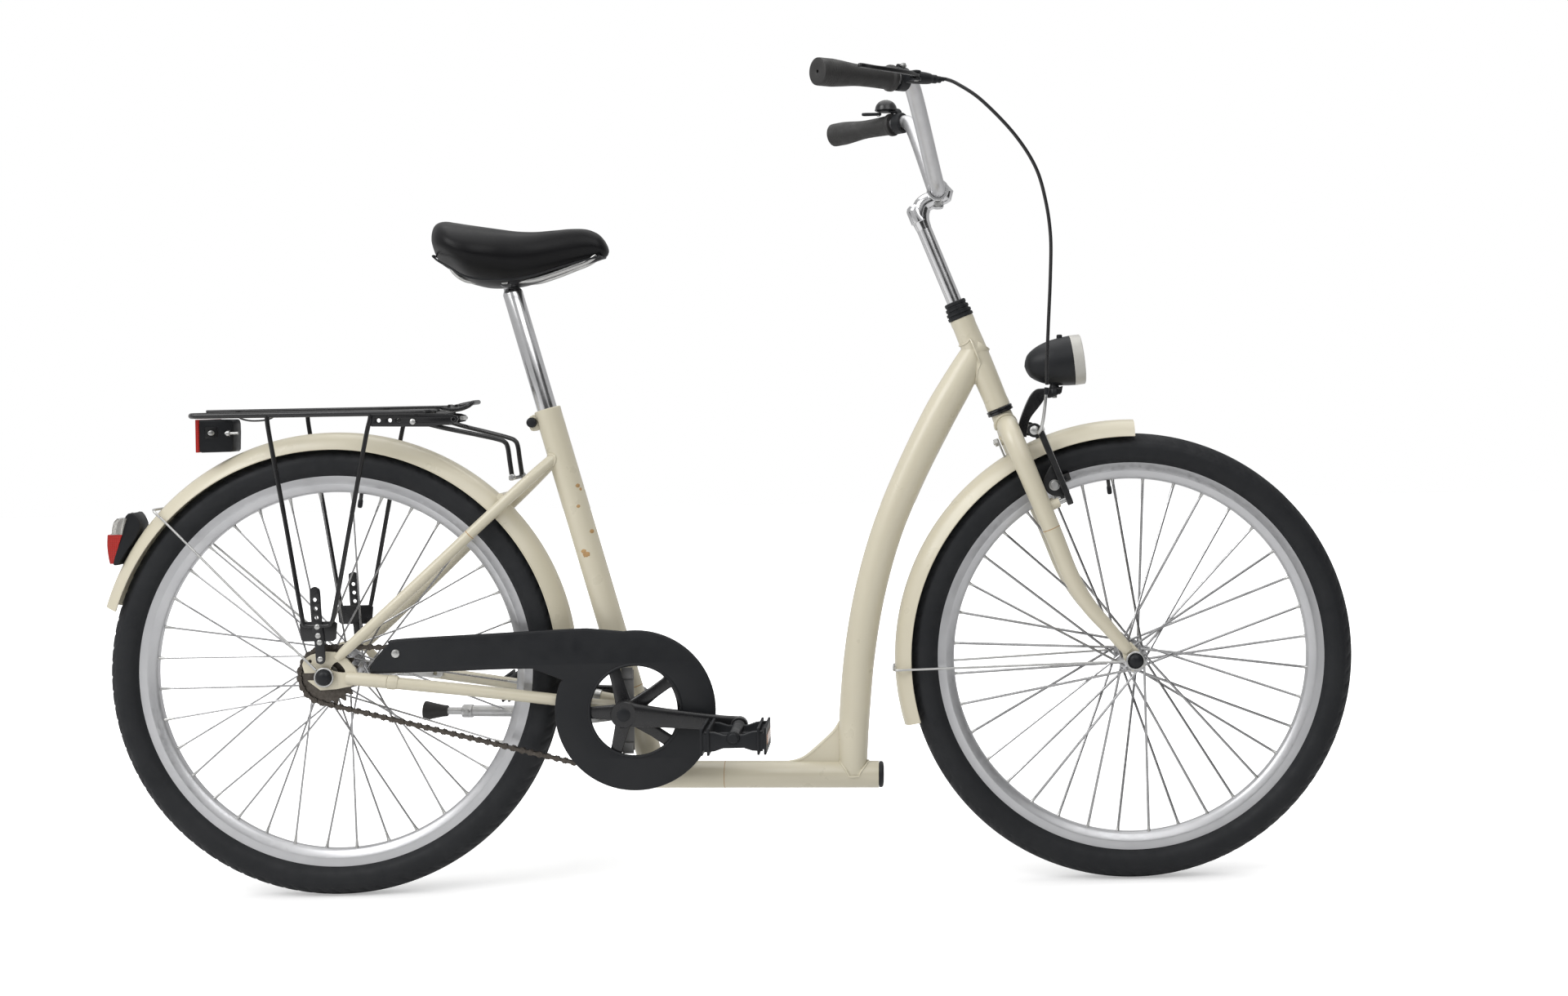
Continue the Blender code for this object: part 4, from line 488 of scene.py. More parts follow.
def rear_triangle(side, way):
    """One side's stays, swept along smooth paths, with the dropout plate between them at the axle."""
    shapes = []
    for path, sizes in ((CHAIN_STAY, CHAIN_STAY_SIZE), (SEAT_STAY, SEAT_STAY_SIZE)):
        route = [(x, way * y, z, size) for (x, y, z), size in zip(path, sizes)]
        run = flowing(route, 8)
        shapes += [CREAM, along(run[:, :3], run[:, 3], 24, (0, 0.2, 1))]
    sleeve = np.linspace((30, way * 59.4, 323.8), (88, way * 59.2, 317.2), 6)
    shapes += [CREAM, along(sleeve, (8.6, 9.4, 9.6, 9.6, 9.6, 9.6), 28, (0, 0.2, 1))]
    collar = np.linspace((88, way * 59.2, 317.2), (102, way * 58, 315.4), 4)
    shapes += [CREAM, along(collar, (10.2, 10.5, 10.4, 9.2), 28, (0, 0.2, 1))]
    window = flowing([(7, 336), (28, 332), (17, 347)], 4, closed=True)
    shapes += [CREAM, side_plate(DROPOUT, way * 55.3, way * 60.3, [window, circle(-22, 348.5, 2.7, 16)], 0.6)]
    joint = np.array([292, way * 28, 606])
    heading = np.array([39, -way * 23, 36])
    shapes += [CREAM, weld(joint, heading, 7.6, SEAT_TOP, SEAT_UP, SEAT_RADIUS, 2)]
    entry = np.array([362, way * 33, 276.5])
    shapes += [CREAM, weld(entry, np.array([62, -way * 12, -10]), 8.4, BRACKET, (0, 1, 0), SHELL_RADIUS, 2)]
    stay_way = unit(np.array([103, -way * 13, 96]))
    shapes += [SEAM, seam((203, way * 42, 524), stay_way, 8, 1.1)]
    bolt = np.array([-6, 0, 352.5])
    cap = [
        (0, 69.5), (3.4, 69.3), (4.6, 67.6), (4.8, 64.8), (6.4, 64.6), (6.4, 60.3), (2.4, 60.3), (2.4, 55),
        (0, 55)
    ]
    shapes += [ZINC, spun(cap, bolt, steps=24, way=way)]
    if way > 0:
        shapes += [CREAM, rod((247, -38, 577.5), (247, 38, 577.5), 6, 5)]
    piece("rear_stays_" + side, "frame", shapes)


rear_triangle("right", -1)
rear_triangle("left", 1)

plug_start = np.array([785.4, 0, 158.3])
plug_profile = [(0, 7.2), (12, 7), (17.2, 6), (18.9, 4.2), (18.9, 0.4), (18.4, 0), (0, 0)]
plug_shape = spun(plug_profile, plug_start, low_way, 40)
plug_neck = along(np.linspace((771, 0, 158.6), (786, 0, 158.3), 4), 16.4, 32)
piece("bottom_tube_plug", "frame", [BLACK_PLASTIC, plug_shape, plug_neck])


# Steering bearings: a tall moulded cap of stacked rings turns with the fork above the head tube, and a
# plain black ring sits in the tube's lower end.

# Black powder coat on steel: smooth, half gloss, with a trace of orange peel.
BLACK_ENAMEL = finish(
    "black_enamel", (0.009, 0.009, 0.010), 0, 0.28, Specular_IOR_Level=0.4, gloss=(40, 0.22, 0.36),
    grain=(520, 0.00015, 0.15), Coat_Weight=0.3, Coat_Roughness=0.15
)
cap_rings = [
    (13.1, 0.4), (18.6, 0.4), (19.2, 1), (19.2, 4.6), (17.6, 5.2), (17.6, 6.4), (18.8, 7), (18.8, 10.6),
    (16.6, 11.6), (16.4, 13.2), (17.6, 13.8), (17.6, 17.4), (15.4, 18.6), (15.2, 20.4), (16.2, 21),
    (16.2, 24.6), (14.6, 26), (13.1, 26)
]
upper_cup = spun(cap_rings, steer(-HEAD_LENGTH), -DOWN_AXIS, 56, closed=True)
piece("headset_upper", "steering", [BLACK_PLASTIC, upper_cup])
low_rings = [
    (13.1, -0.4), (19, -0.4), (19.5, -1), (19.5, -3.4), (18.4, -4), (19.4, -4.6), (19.4, -7.4), (18.8, -8),
    (13.1, -8)
]
lower_cup = spun(low_rings, HEAD_LOW, -DOWN_AXIS, 56, closed=True)
piece("headset_lower", "frame", [BLACK_ENAMEL, lower_cup])


# Fork: a cream unicrown fork. One bent tube makes both legs and the crown; they taper to flat tips
# that hold the axle, and carry the two studs on which the brake arms turn.

# One leg from the crown: down the steering axis, ahead of it, to the left, and the radius there.
FORK_LEG = [
    (27, 1, 0, 15.6), (28.5, 1, 12, 15.6), (34, 0.5, 28, 15.4), (46, 0, 42, 15.2), (68, 0, 51, 14.9),
    (100, 0, 54, 14.4), (200, 0, 54, 13.1), (262, -0.5, 54, 12.4), (310, 6.5, 54, 11.3),
    (352, 20.5, 54, 10.1), (384, 31, 54, 9.2), (394, 34.5, 54, 7)
]
leg_route = np.array([(*steer(down, ahead, left), size) for down, ahead, left, size in FORK_LEG])
mirrored = leg_route[:0:-1] * (1, -1, 1, 1)
fork_route = flowing(np.concatenate([mirrored, leg_route]), 8)
fork_shapes = [CREAM, along(fork_route[:, :3], fork_route[:, 3], 36, AHEAD_AXIS)]
steerer = np.linspace(steer(26), steer(8.4), 4)
fork_shapes += [
    CREAM, along(steerer, (15.6, 15.6, 15.6, 15.2), 40),
    weld(steer(4), DOWN_AXIS, 15.5, steer(28), (0, 1, 0), 15.5, 2.4)
]
tube_wall = [(11.5, 0), (12.4, 0), (12.7, -0.4), (12.7, -165), (11.5, -165)]
fork_shapes += [ZINC, spun(tube_wall, steer(-HEAD_LENGTH - 24), -DOWN_AXIS, 40, closed=True)]
TIP = [(380, 27), (384, 43), (398, 48.6), (424, 48.2), (424, 43.7), (408.9, 43.7), (406.2, 41.7)]
TIP += [(405.2, 38.4), (406.2, 35.1), (408.9, 33.1), (424, 33.1), (424, 28.3), (402, 24)]
for way in (-1, 1):
    tip_edge = [(steer(down, ahead)[0], steer(down, ahead)[2]) for down, ahead in TIP]
    fork_shapes += [CREAM, side_plate(tip_edge, way * 50.3, way * 55.3, edge=0.6)]
    fork_shapes += [SEAM, seam(steer(188, 0, way * 54), DOWN_AXIS, 13.25, 1.1)]
    stud = [
        (0, 40.2), (5, 40.2), (6.5, 38.9), (6.5, 35.4), (4, 35.4), (4, 26), (7, 26), (7.4, 18), (8.2, 8),
        (0, 8)
    ]
    stud_at = steer(158, 0, way * 48)
    fork_shapes += [ZINC, spun(stud[:6], stud_at, AHEAD_AXIS, 32)]
    fork_shapes += [CREAM, spun([(4, 26)] + stud[6:], stud_at, AHEAD_AXIS, 32)]
    # A thin black hexagon on each stud's end: painted shade in place of the recess of its hex socket.
    socket = [(0, 40.4), (3, 40.4), (3, 40.3), (0, 40.3)]
    fork_shapes += [BLACK_ENAMEL, spun(socket, stud_at, AHEAD_AXIS, 6)]
crown_bolt = [(0, 14), (6.2, 14), (7, 13), (7, -17), (0, -17)]
fork_shapes += [CREAM, spun(crown_bolt, steer(46), AHEAD_AXIS, 24)]
piece("fork", "steering", fork_shapes)


# Wheels: alloy rims with a machined brake track, 36 steel spokes crossed three times, small hubs,
# and black tyres with ribbed shoulders and a shallow tread. The valves carry black caps.

TREAD_BLOCKS = 96

# Black tyre compound: matt, a little dusty brown-grey on the sidewall.
TYRE_RUBBER = finish(
    "tyre_compound", (0.014, 0.015, 0.017), 0, 0.62, Specular_IOR_Level=0.25,
    tint=(18, (0.010, 0.011, 0.013), (0.020, 0.021, 0.023)), gloss=(55, 0.5, 0.72),
    grain=(1100, 0.00015, 0.25)
)


def tyre_surface(x):
    """Around the wheel and across the tyre: a round section with shoulder ribs and slanted tread grooves."""
    around, across = 768, 60
    turn = full_turn(around)[:, None]
    v = np.linspace(-1, 1, across)[None, :]
    bend = v * math.radians(152)
    half_width = 23.5
    middle = 303.2
    y = half_width * np.sin(bend) * (1 - 0.02 * np.cos(2 * bend))
    radius = middle + 23.3 * np.cos(bend)
    bead = np.clip((np.abs(v) - 0.82) / 0.18, 0, 1)
    radius = radius * (1 - bead) + (285.6 - 3.5 * bead) * bead
    y = y * (1 - bead) + np.sign(v) * 10.2 * bead
    edge = np.abs(v)
    tread = np.clip((0.40 - edge) / 0.02, 0, 1)
    phase = turn * TREAD_BLOCKS / (2 * np.pi)
    slant = (phase + 2.2 * edge) % 1.0
    groove = np.clip((0.16 - np.abs(slant - 0.5)) / 0.05, 0, 1) * np.clip((edge - 0.10) / 0.03, 0, 1)
    centre_line = np.clip((0.035 - np.abs(edge - 0.09)) / 0.012, 0, 1)
    ring = sum(np.clip((0.012 - np.abs(edge - at)) / 0.006, 0, 1) for at in (0.52, 0.74))
    shoulder = np.clip((edge - 0.40) / 0.01, 0, 1) * np.clip((0.49 - edge) / 0.01, 0, 1)
    ribs = shoulder * (0.5 + 0.5 * np.sign(np.sin(turn * 192 + 0 * v)))
    lift = -1.1 * groove * tread - 0.9 * centre_line * tread + 0.35 * ring + 0.35 * ribs
    lift = lift - 0.5 * (1 - tread) * (edge < 0.42)
    radius = radius + lift * np.cos(bend) + 0 * turn
    y = y + lift * np.sin(bend) + 0 * turn
    inner = np.linspace(1, -1, 16)[None, :]
    inner_bend = inner * math.radians(140)
    inner_radius = middle + 19.6 * np.cos(inner_bend) + 0 * turn
    inner_y = 19.6 * np.sin(inner_bend) + 0 * turn
    inner_bead = np.clip((np.abs(inner) - 0.7) / 0.3, 0, 1)
    inner_radius = inner_radius * (1 - inner_bead) + 282.1 * inner_bead
    inner_y = inner_y * (1 - inner_bead) + np.sign(inner) * 8.0 * inner_bead
    radius = np.concatenate([radius, inner_radius], axis=1)
    y = np.concatenate([y, inner_y], axis=1)
    points = np.stack([x + radius * np.cos(turn), y, AXLE_Z + radius * np.sin(turn)], axis=-1)
    return points.reshape(-1, 3), grid_faces(around, across + 16, closed=True)


# Anodised rim alloy: pale silver, with fine rings from the lathe along the brake track.
RIM_ALLOY = finish(
    "rim_alloy", (0.54, 0.545, 0.56), 0.75, 0.36, tint=(25, (0.49, 0.495, 0.51), (0.60, 0.60, 0.61)),
    gloss=(200, 0.28, 0.44, 6)
)
RIM_SECTION = [
    (287, 12.2), (286.4, 12.5), (285, 12.3), (284.4, 11.9), (273.6, 11.9), (273, 12.3), (271.8, 12.2),
    (268, 10.6), (263, 7.8), (260.4, 5), (259.8, 2.4)
]
rim_outside = flowing(RIM_SECTION, 2)
rim_outside = np.concatenate([rim_outside, rim_outside[::-1] * (1, -1)])
rim_inside = np.array([
    (287, -10.4), (281, -10.4), (280.6, -9), (264.5, -6), (264.5, 6), (280.6, 9), (281, 10.4), (287, 10.4)
])
rim_profile = np.concatenate([rim_outside, rim_inside])

# Drawn stainless wire, bright with fine lengthwise variation.
SPOKE_STEEL = finish(
    "spoke_steel", (0.42, 0.42, 0.43), 1, 0.32, tint=(90, (0.33, 0.33, 0.335), (0.47, 0.47, 0.475)),
    gloss=(200, 0.2, 0.38)
)


def prism_faces(count, sides):
    """Faces of many separate prisms, each with one ring of points and then the other."""
    base = (np.arange(count) * 2 * sides)[:, None]
    k = np.arange(sides)
    n = (k + 1) % sides
    walls = np.stack([base + k, base + n, base + sides + n, base + sides + k], axis=-1)
    return walls.reshape(-1, 4).tolist() + (base + k[::-1]).tolist() + (base + sides + k).tolist()


def bars_between(starts, ends, radius, sides=10):
    """Many straight round bars at once: each has a ring of points at both ends, square to it."""
    starts, ends = np.asarray(starts, float), np.asarray(ends, float)
    heading = unit(ends - starts)
    across = unit(np.cross(heading, (0, 1, 0.03)))
    other = np.cross(heading, across)
    turn = full_turn(sides)
    ring = across[:, None] * np.cos(turn)[None, :, None] + other[:, None] * np.sin(turn)[None, :, None]
    radius = np.broadcast_to(np.asarray(radius, float), (2,))
    points = np.stack([starts[:, None] + radius[0] * ring, ends[:, None] + radius[1] * ring], axis=1)
    return points.reshape(-1, 3), prism_faces(len(starts), sides)


# Polished aluminium hub shell: pale, with soft streaks.
HUB_ALLOY = finish(
    "hub_alloy", (0.60, 0.60, 0.61), 1, 0.3, tint=(60, (0.50, 0.50, 0.51), (0.68, 0.68, 0.69)),
    gloss=(150, 0.22, 0.42)
)

# Butyl rubber of the inner tubes and valves.
CAP_RUBBER = finish(
    "tube_rubber", (0.02, 0.02, 0.02), 0, 0.6, tint=(40, (0.015, 0.015, 0.015), (0.028, 0.028, 0.028)),
    grain=(900, 0.0001, 0.2)
)
SPOKES_A_SIDE = 18


def road_wheel(side, x, body, flange_radius, flange_y, barrel, valve_degrees):
    """A wheel about its axle: tyre, rim with nipples, spokes, hub shell, and inner tube with its valve."""
    middle = np.array([x, 0, AXLE_Z])
    piece(side + "_tyre", body, [TYRE_RUBBER, tyre_surface(x)], 50)
    rim_shapes = [RIM_ALLOY, spun(rim_profile, middle, steps=256, closed=True)]
    step = 2 * np.pi / SPOKES_A_SIDE
    k = np.arange(SPOKES_A_SIDE)
    spoke_shapes = []
    gauge = 1.9 if side == "front" else 1.4
    for flange in (1, -1):
        way = np.where(k % 2, 1, -1)
        start = (k + (0.25 if flange > 0 else 0.75)) * step
        end = start + way * 3 * step
        hole = in_plane(on_circle(0, 0, flange_radius, start))
        low = hole + np.outer(flange * flange_y + way * 1.9, (0, 1, 0))
        high = in_plane(on_circle(0, 0, 259.5, end)) + np.outer(flange * 2.5 + way * 0.5, (0, 1, 0))
        heading = unit(high - low)
        spoke_shapes += [SPOKE_STEEL, bars_between(middle + low, middle + high - heading * 2, gauge)]
        neck = middle + high - heading * 13
        rim_shapes += [
            ZINC, bars_between(neck, middle + high - heading * 3, (1.5, 2.1), 12),
            bars_between(middle + high - heading * 3, middle + high + heading * 2, (2.1, 3.1), 12)
        ]
        elbow = hole + np.outer(flange * flange_y - way * 2.6, (0, 1, 0))
        spoke_shapes += [SPOKE_STEEL, bars_between(middle + elbow, middle + low, gauge)]
        head_end = elbow - np.array([0, 1, 0]) * (way * 0.9)[:, None]
        spoke_shapes += [SPOKE_STEEL, bars_between(middle + head_end, middle + elbow, (1.3, 1.9))]
    f, y, b = flange_radius + 4, flange_y, barrel
    half = [
        (5.6, y + 4.2), (b * 0.62, y + 4.2), (b * 0.80, y + 3.2), (f - 5.5, y + 1.9), (f - 0.6, y + 1.6),
        (f, y + 1), (f, y - 1), (f - 0.6, y - 1.6), (f - 5, y - 2), (b + 1.6, y - 4), (b, y - 7.5),
        (b * 0.94, y * 0.3)
    ]
    hub_profile = half + [(r, -a) for r, a in half[::-1]]
    spoke_shapes += [HUB_ALLOY, spun(hub_profile, middle, steps=64, closed=True)]
    piece(side + "_hub", body, spoke_shapes)
    piece(side + "_rim", body, rim_shapes)
    out = rays(valve_degrees)[0]
    tube_ring = circle(302, 0, 15, 14)
    stem_profile = [
        (0, 238.5), (2.4, 238.8), (3.4, 240.5), (3.5, 250), (3.1, 250.4), (2.7, 251), (2.7, 262.5),
        (3.9, 264), (3.9, 288), (0, 288)
    ]
    ridges = [(3.4 + 0.25 * (i % 2), 241.0 + i) for i in range(9)]
    cap_profile = stem_profile[:3] + ridges + stem_profile[4:6]
    tube_shapes = [CAP_RUBBER, spun(tube_ring, middle, steps=96, closed=True)]
    tube_shapes += [BLACK_PLASTIC, spun(cap_profile + [(0, 251)], middle, out, 24)]
    tube_shapes += [CAP_RUBBER, spun([(0, 250.5)] + stem_profile[5:], middle, out, 24)]
    piece(side + "_inner_tube", body, tube_shapes)


road_wheel("front", WHEELBASE, "front_wheel", 17, 33, 12.5, 96.4)
road_wheel("rear", 0, "rear_wheel", 28, 28, 20, 81.8)


def fixed_axle(solid, body, x, inside, end):
    """A threaded axle that the frame clamps: cones inside, then washer, nut and a domed black cap."""
    middle = np.array([x, 0, AXLE_Z])
    cone = 8.5
    face = inside / 2 - 0.3
    outer = inside / 2 + 5.6
    shapes = []
    core = [(4.7, -end + 4), (4.7, end - 4)]
    shapes += [ZINC, spun([(0, -end + 4), *core, (0, end - 4)], middle, steps=24)]
    for way in (-1, 1):
        lock = [
            (0, face - 14), (6.2, face - 14), (cone, face - 9), (cone, face - 5.4), (cone - 0.5, face - 5),
            (cone, face - 4.6), (cone, face), (0, face)
        ]
        washer = [(0, outer), (10.2, outer), (10.2, outer + 1.5), (0, outer + 1.5)]
        nut = [
            (0, outer + 1.5), (8.6, outer + 1.5), (9.2, outer + 2.1), (9.2, end - 10.6), (8.4, end - 10),
            (0, end - 10)
        ]
        dome = [
            (0, end), (3, end - 0.1), (6.4, end - 1), (9.2, end - 3), (10.8, end - 6), (11.2, end - 9),
            (11.2, outer + 2), (0, outer + 2)
        ]
        turned = [(lock, 32, ZINC), (washer, 36, BLACK_ENAMEL), (nut, 6, ZINC), (dome, 36, BLACK_PLASTIC)]
        for profile, steps, look in turned:
            shapes += [look, spun(profile, middle, steps=steps, way=way)]
    if body == "frame":
        arm = [
            (-14, 314), (-15, 337), (-6, 343), (40, 331), (120, 321), (137, 317), (140, 311), (134, 306),
            (120, 307), (40, 312), (0, 311)
        ]
        arm_edge = flowing(arm, 3, closed=True)
        shapes += [ZINC, side_plate(arm_edge, 41.5, 44.5, [circle(128, 312.5, 2.8, 16)], 0.7)]
    piece(solid, body, shapes)


fixed_axle("front_axle", "steering", WHEELBASE, 100, 65)
fixed_axle("rear_axle", "frame", 0, 110, 76)


# Stem and handlebar: a tall quill stem with its clamp reaching back to a city bar that rises
# and sweeps to the rider. The quill is chromed steel and the bar is satin silver.

# Bright chrome over polished steel, with faint waviness and a few dull patches.
CHROME = finish(
    "chrome_plate", (0.66, 0.66, 0.67), 1, 0.2, gloss=(30, 0.14, 0.26),
    tint=(18, (0.60, 0.60, 0.61), (0.72, 0.72, 0.73))
)

# Satin silver bar: light grey with a broad soft highlight.
SATIN = finish(
    "satin_bar", (0.60, 0.60, 0.61), 1, 0.38, tint=(35, (0.54, 0.54, 0.55), (0.66, 0.66, 0.67)),
    gloss=(130, 0.32, 0.46)
)
BAR_CLAMP = np.array([885, 0, 1013])
quill = np.linspace(steer(-60), steer(-292), 6)
stem_shapes = [CHROME, along(quill, 11.1, 40)]
elbow = flowing([
    (*steer(-284), 11.4), (*steer(-298, 0.5), 12.8), (*steer(-311, 6), 13.4), (*steer(-319, 17), 13.2),
    (896, 0, 1008, 12.6), (*BAR_CLAMP, 12)
], 6)
stem_shapes += [CHROME, along(elbow[:, :3], elbow[:, 3], 36)]
ring_profile = [
    (11, -29), (13, -29), (13.6, -28.2), (13.6, -10), (12.8, -7.2), (10.6, -4), (7.4, -2.2), (7, -4.5),
    (0, -4.5)
]
stem_shapes += [CHROME, spun(ring_profile, steer(-325, -1), -DOWN_AXIS, 40)]
dark_cap = [(0, -3.2), (5.4, -3.2), (6.8, -3.8), (7, -5), (0, -5)]
stem_shapes += [BLACK_ENAMEL, spun(dark_cap, steer(-325, -1), -DOWN_AXIS, 6)]
barrel = [(11.7, -20), (14.9, -20), (16, -18.9), (16, 18.9), (14.9, 20), (11.7, 20)]
stem_shapes += [CHROME, spun(barrel, BAR_CLAMP, steps=48, closed=True)]
for half in (-1, 1):
    lug = flowing([(-6.5, -10), (6.5, -10), (7.6, -17), (7.2, -25), (-7.2, -25), (-7.6, -17)], 3, closed=True)
    lug_plate = sheet_cut(lug, (), 9.6, BAR_CLAMP + (0, half * 5.6, 0), (1, 0, 0), UP, 1.2)
    stem_shapes += [CHROME, lug_plate]
clamp_bolt = [
    (0, -14.2), (3.2, -14.2), (3.2, -13.6), (5, -13.4), (5.4, -12.8), (5.4, -10), (3, -10), (3, 12.6),
    (0, 12.6)
]
stem_shapes += [ZINC, spun(clamp_bolt, BAR_CLAMP + (0, 0, -19.5), steps=32)]
piece("stem", "steering", stem_shapes)

GRIP_END = np.array([724, -282, 1139])
GRIP_WAY = unit([0.774, 0.632, 0.0316])
BLADE_WAY = unit([0.63, -0.777, 0])
LEFT_RIGHT = np.array([1, -1, 1])


def on_bar(distance, ahead=0, up=0, left=False):
    """A place along the right grip from its outer end; the left side is its mirror image."""
    spot = GRIP_END + GRIP_WAY * distance + BLADE_WAY * ahead + (0, 0, up)
    return spot * LEFT_RIGHT if left else spot


BAR_HALF = [
    on_bar(7), on_bar(60), on_bar(120), on_bar(150), (847.5, -175, 1138.5), (853.5, -155, 1123),
    (864, -115, 1086), (875.5, -72, 1043), (881.5, -50, 1021.5), (884.5, -32, 1014), (885, -14, 1013)
]
bar_points = np.array(BAR_HALF)
bar_run = flowing(np.concatenate([bar_points, bar_points[::-1] * LEFT_RIGHT]), 7)
bar_shape = along(bar_run, 11.1, 36, UP)
bar_shapes = [SATIN, bar_shape]
piece("handlebar", "steering", bar_shapes)

# Soft black rubber, matt, with a little dust that lightens it in patches.
GRIP_RUBBER = finish(
    "grip_rubber", (0.022, 0.021, 0.021), 0, 0.6, tint=(45, (0.017, 0.0165, 0.0165), (0.032, 0.031, 0.03)),
    gloss=(80, 0.48, 0.7), grain=(1800, 0.0001, 0.3)
)
GRIP_SHAPE = [
    (0, 18), (3, 18.35), (24, 18.35), (40, 16.9), (60, 14.8), (72, 14.3), (88, 14.5), (104, 15), (117, 15.5),
    (119.5, 17.6), (121, 18), (125, 18), (126, 17.4)
]


def grip_surface(start, way):
    """Along the grip and round it: a waisted form with a palm swell, fine ribs and rows of dimples."""
    rows, columns = 200, 96
    a = np.linspace(0, 126, rows)
    shape = np.array(GRIP_SHAPE)
    radius = np.interp(a, shape[:, 0], shape[:, 1])
    soft = np.convolve(np.pad(radius, 4, mode="edge"), np.ones(9) / 9, mode="valid")
    radius = np.where((a > 8) & (a < 114), soft, radius)[:, None]
    turn = full_turn(columns)[None, :]
    dots = np.cos(a[:, None] * 2 * np.pi / 5.2) * np.cos(turn * 15)
    field = np.clip((a[:, None] - 30) / 4, 0, 1) * np.clip((112 - a[:, None]) / 4, 0, 1)
    ribs = np.clip((a[:, None] - 5) / 2, 0, 1) * np.clip((27 - a[:, None]) / 2, 0, 1)
    ridge = 0.5 + 0.5 * np.sign(np.sin(a[:, None] * 2 * np.pi / 3.6) - 0.2)
    radius = radius - 0.45 * np.clip(dots - 0.35, 0, 1) * field - 0.35 * ribs * ridge
    way = unit(way)
    side = unit(np.cross(way, (0, 0, 1)))
    other = np.cross(side, way)
    ring = np.cos(turn)[..., None] * side + np.sin(turn)[..., None] * other
    points = start + way * a[:, None, None] + ring * radius[..., None]
    inner = np.array([(11.6, 126), (11.6, 8)])
    tail = start + way * inner[:, 1][:, None, None] + ring * inner[:, 0][:, None, None]
    cap = np.array([(2.2, 9), (2.2, 0.6), (2.8, 0.2), (12, -0), (16.6, 0.1), (17.6, 0.5)])
    front = start + way * cap[:, 1][:, None, None] + ring * cap[:, 0][:, None, None]
    grid = np.concatenate([front, points[1:], tail], axis=0)
    return grid.reshape(-1, 3), grid_faces(len(grid), columns, ends=True)


for side, left in (("right", False), ("left", True)):
    way = on_bar(1, left=left) - on_bar(0, left=left)
    piece("grip_" + side, "steering", [GRIP_RUBBER, grip_surface(on_bar(0, left=left), way)], 50)


# Brake lever on the right: a moulded perch clamped on the bar by a silver bolt, with a blade that
# turns on a steel pin and a barrel adjuster where the cable leaves.

perch_ring = [(11.4, -7.5), (14.9, -7.5), (16.2, -6.2), (16.2, 6.2), (14.9, 7.5), (11.4, 7.5)]
perch_shapes = [BLACK_PLASTIC, spun(perch_ring, on_bar(141), GRIP_WAY, 40, closed=True)]
housing = flowing([
    (*on_bar(134, 21), 7.4), (*on_bar(138, 21), 8.6), (*on_bar(152, 21), 8.7), (*on_bar(168, 21), 8),
    (*on_bar(175, 21), 7), (*on_bar(177, 21), 6)
], 4)
perch_shapes += [BLACK_PLASTIC, along(housing[:, :3], housing[:, 3], 28, UP)]
perch_shapes += [BLACK_PLASTIC, rod(on_bar(141, 12), on_bar(141, 21), 4, 6.6)]
BARREL = [(0, 0), (5, 0), (5.4, 6), (5.9, 7), (5.9, 15), (5, 16.5), (4.6, 17), (4.6, 23), (3.4, 24), (0, 24)]
knurl = spun(BARREL, on_bar(170, 21), GRIP_WAY, 36)
perch_shapes += [BLACK_PLASTIC, knurl]
LEVER_PIVOT = on_bar(141, 33)
for up in (-5, 5):
    lug_edge = np.concatenate([circle(0, 0, 6.6, 20, 0, np.pi), [(-6, -12), (6, -12)]])
    lug = sheet_cut(lug_edge, (), 3, LEVER_PIVOT + (0, 0, up), GRIP_WAY * (1, 1, 0), BLADE_WAY, 0.5)
    perch_shapes += [BLACK_PLASTIC, lug]
pin = [(0, 7.4), (2.6, 7.4), (3.6, 7), (3.6, 6.3), (2, 6.3), (2, -6.3), (3.2, -6.3), (3.2, -7.2), (0, -7.2)]
perch_shapes += [ZINC, spun(pin, LEVER_PIVOT, UP, 24)]
band_bolt = [(0, 4.8), (3, 4.8), (4.2, 4.2), (4.2, 0.5), (2.4, 0.5), (2.4, -9), (0, -9)]
perch_shapes += [ZINC, spun(band_bolt, on_bar(141, 4, 17.2), BLADE_WAY, 6)]
perch_shapes += [BLACK_PLASTIC, rod(on_bar(136, 0, 16.4), on_bar(146, 0, 16.4), 3, 4.2, 16)]
piece("lever_body", "steering", perch_shapes)

AHEAD_EDGE = [(147, 31), (143, 37.5), (134, 41), (118, 46), (90, 49), (58, 49), (40, 51), (33, 50)]
NEAR_EDGE = [(33, 45), (44, 42.6), (58, 41.6), (90, 41.6), (116, 38.6), (132, 33), (137, 28), (144, 27)]
edge_points = flowing(np.array(AHEAD_EDGE + NEAR_EDGE, float), 5, closed=True)
blade_edge = np.stack([edge_points[:, 0] - 141, edge_points[:, 1] - 33], axis=1)
blade = sheet_cut(
    blade_edge, [circle(0, 0, 2.4, 16)], 5.8, LEVER_PIVOT, GRIP_WAY * (1, 1, 0), BLADE_WAY, 1.7, 3
)
piece("lever_blade", "brake_lever", [BLACK_ENAMEL, blade])


# Bell on the left: a small moulded clamp with a bent post, a black dome screwed on top of it, and a
# ribbed thumb lever that turns on its own pin under the dome.

BELL = np.array([810, 203, 1164.5])
bell_ring = spun(perch_ring, on_bar(139, left=True), GRIP_WAY * LEFT_RIGHT, 40, closed=True)
bell_shapes = [BLACK_PLASTIC, bell_ring]
post = flowing(
    [on_bar(139, 0, 11, True), on_bar(139, 0, 19, True) + (-2, 1, 0), BELL + (9, -3, 0), BELL + (2, -1, 4)], 5
)
bell_shapes += [BLACK_PLASTIC, along(post, 4.2, 20)]
dome_curve = flowing([(0, 17), (6, 16.5), (12, 13.4), (16, 8), (17.5, 2.2)], 6)
dome_curve[:, 0] = np.maximum(dome_curve[:, 0], 0)
dome_profile = np.concatenate([
    dome_curve, [(17.9, 1.6), (17.9, 0.4), (17, 0), (15.4, 0.2), (14.6, 4), (9, 9), (0, 9.6)]
])
bell_shapes += [BLACK_ENAMEL, spun(dome_profile, BELL, UP, 64)]
dome_screw = [(0, 18.2), (2.4, 18), (3, 17.2), (3, 16), (0, 16)]
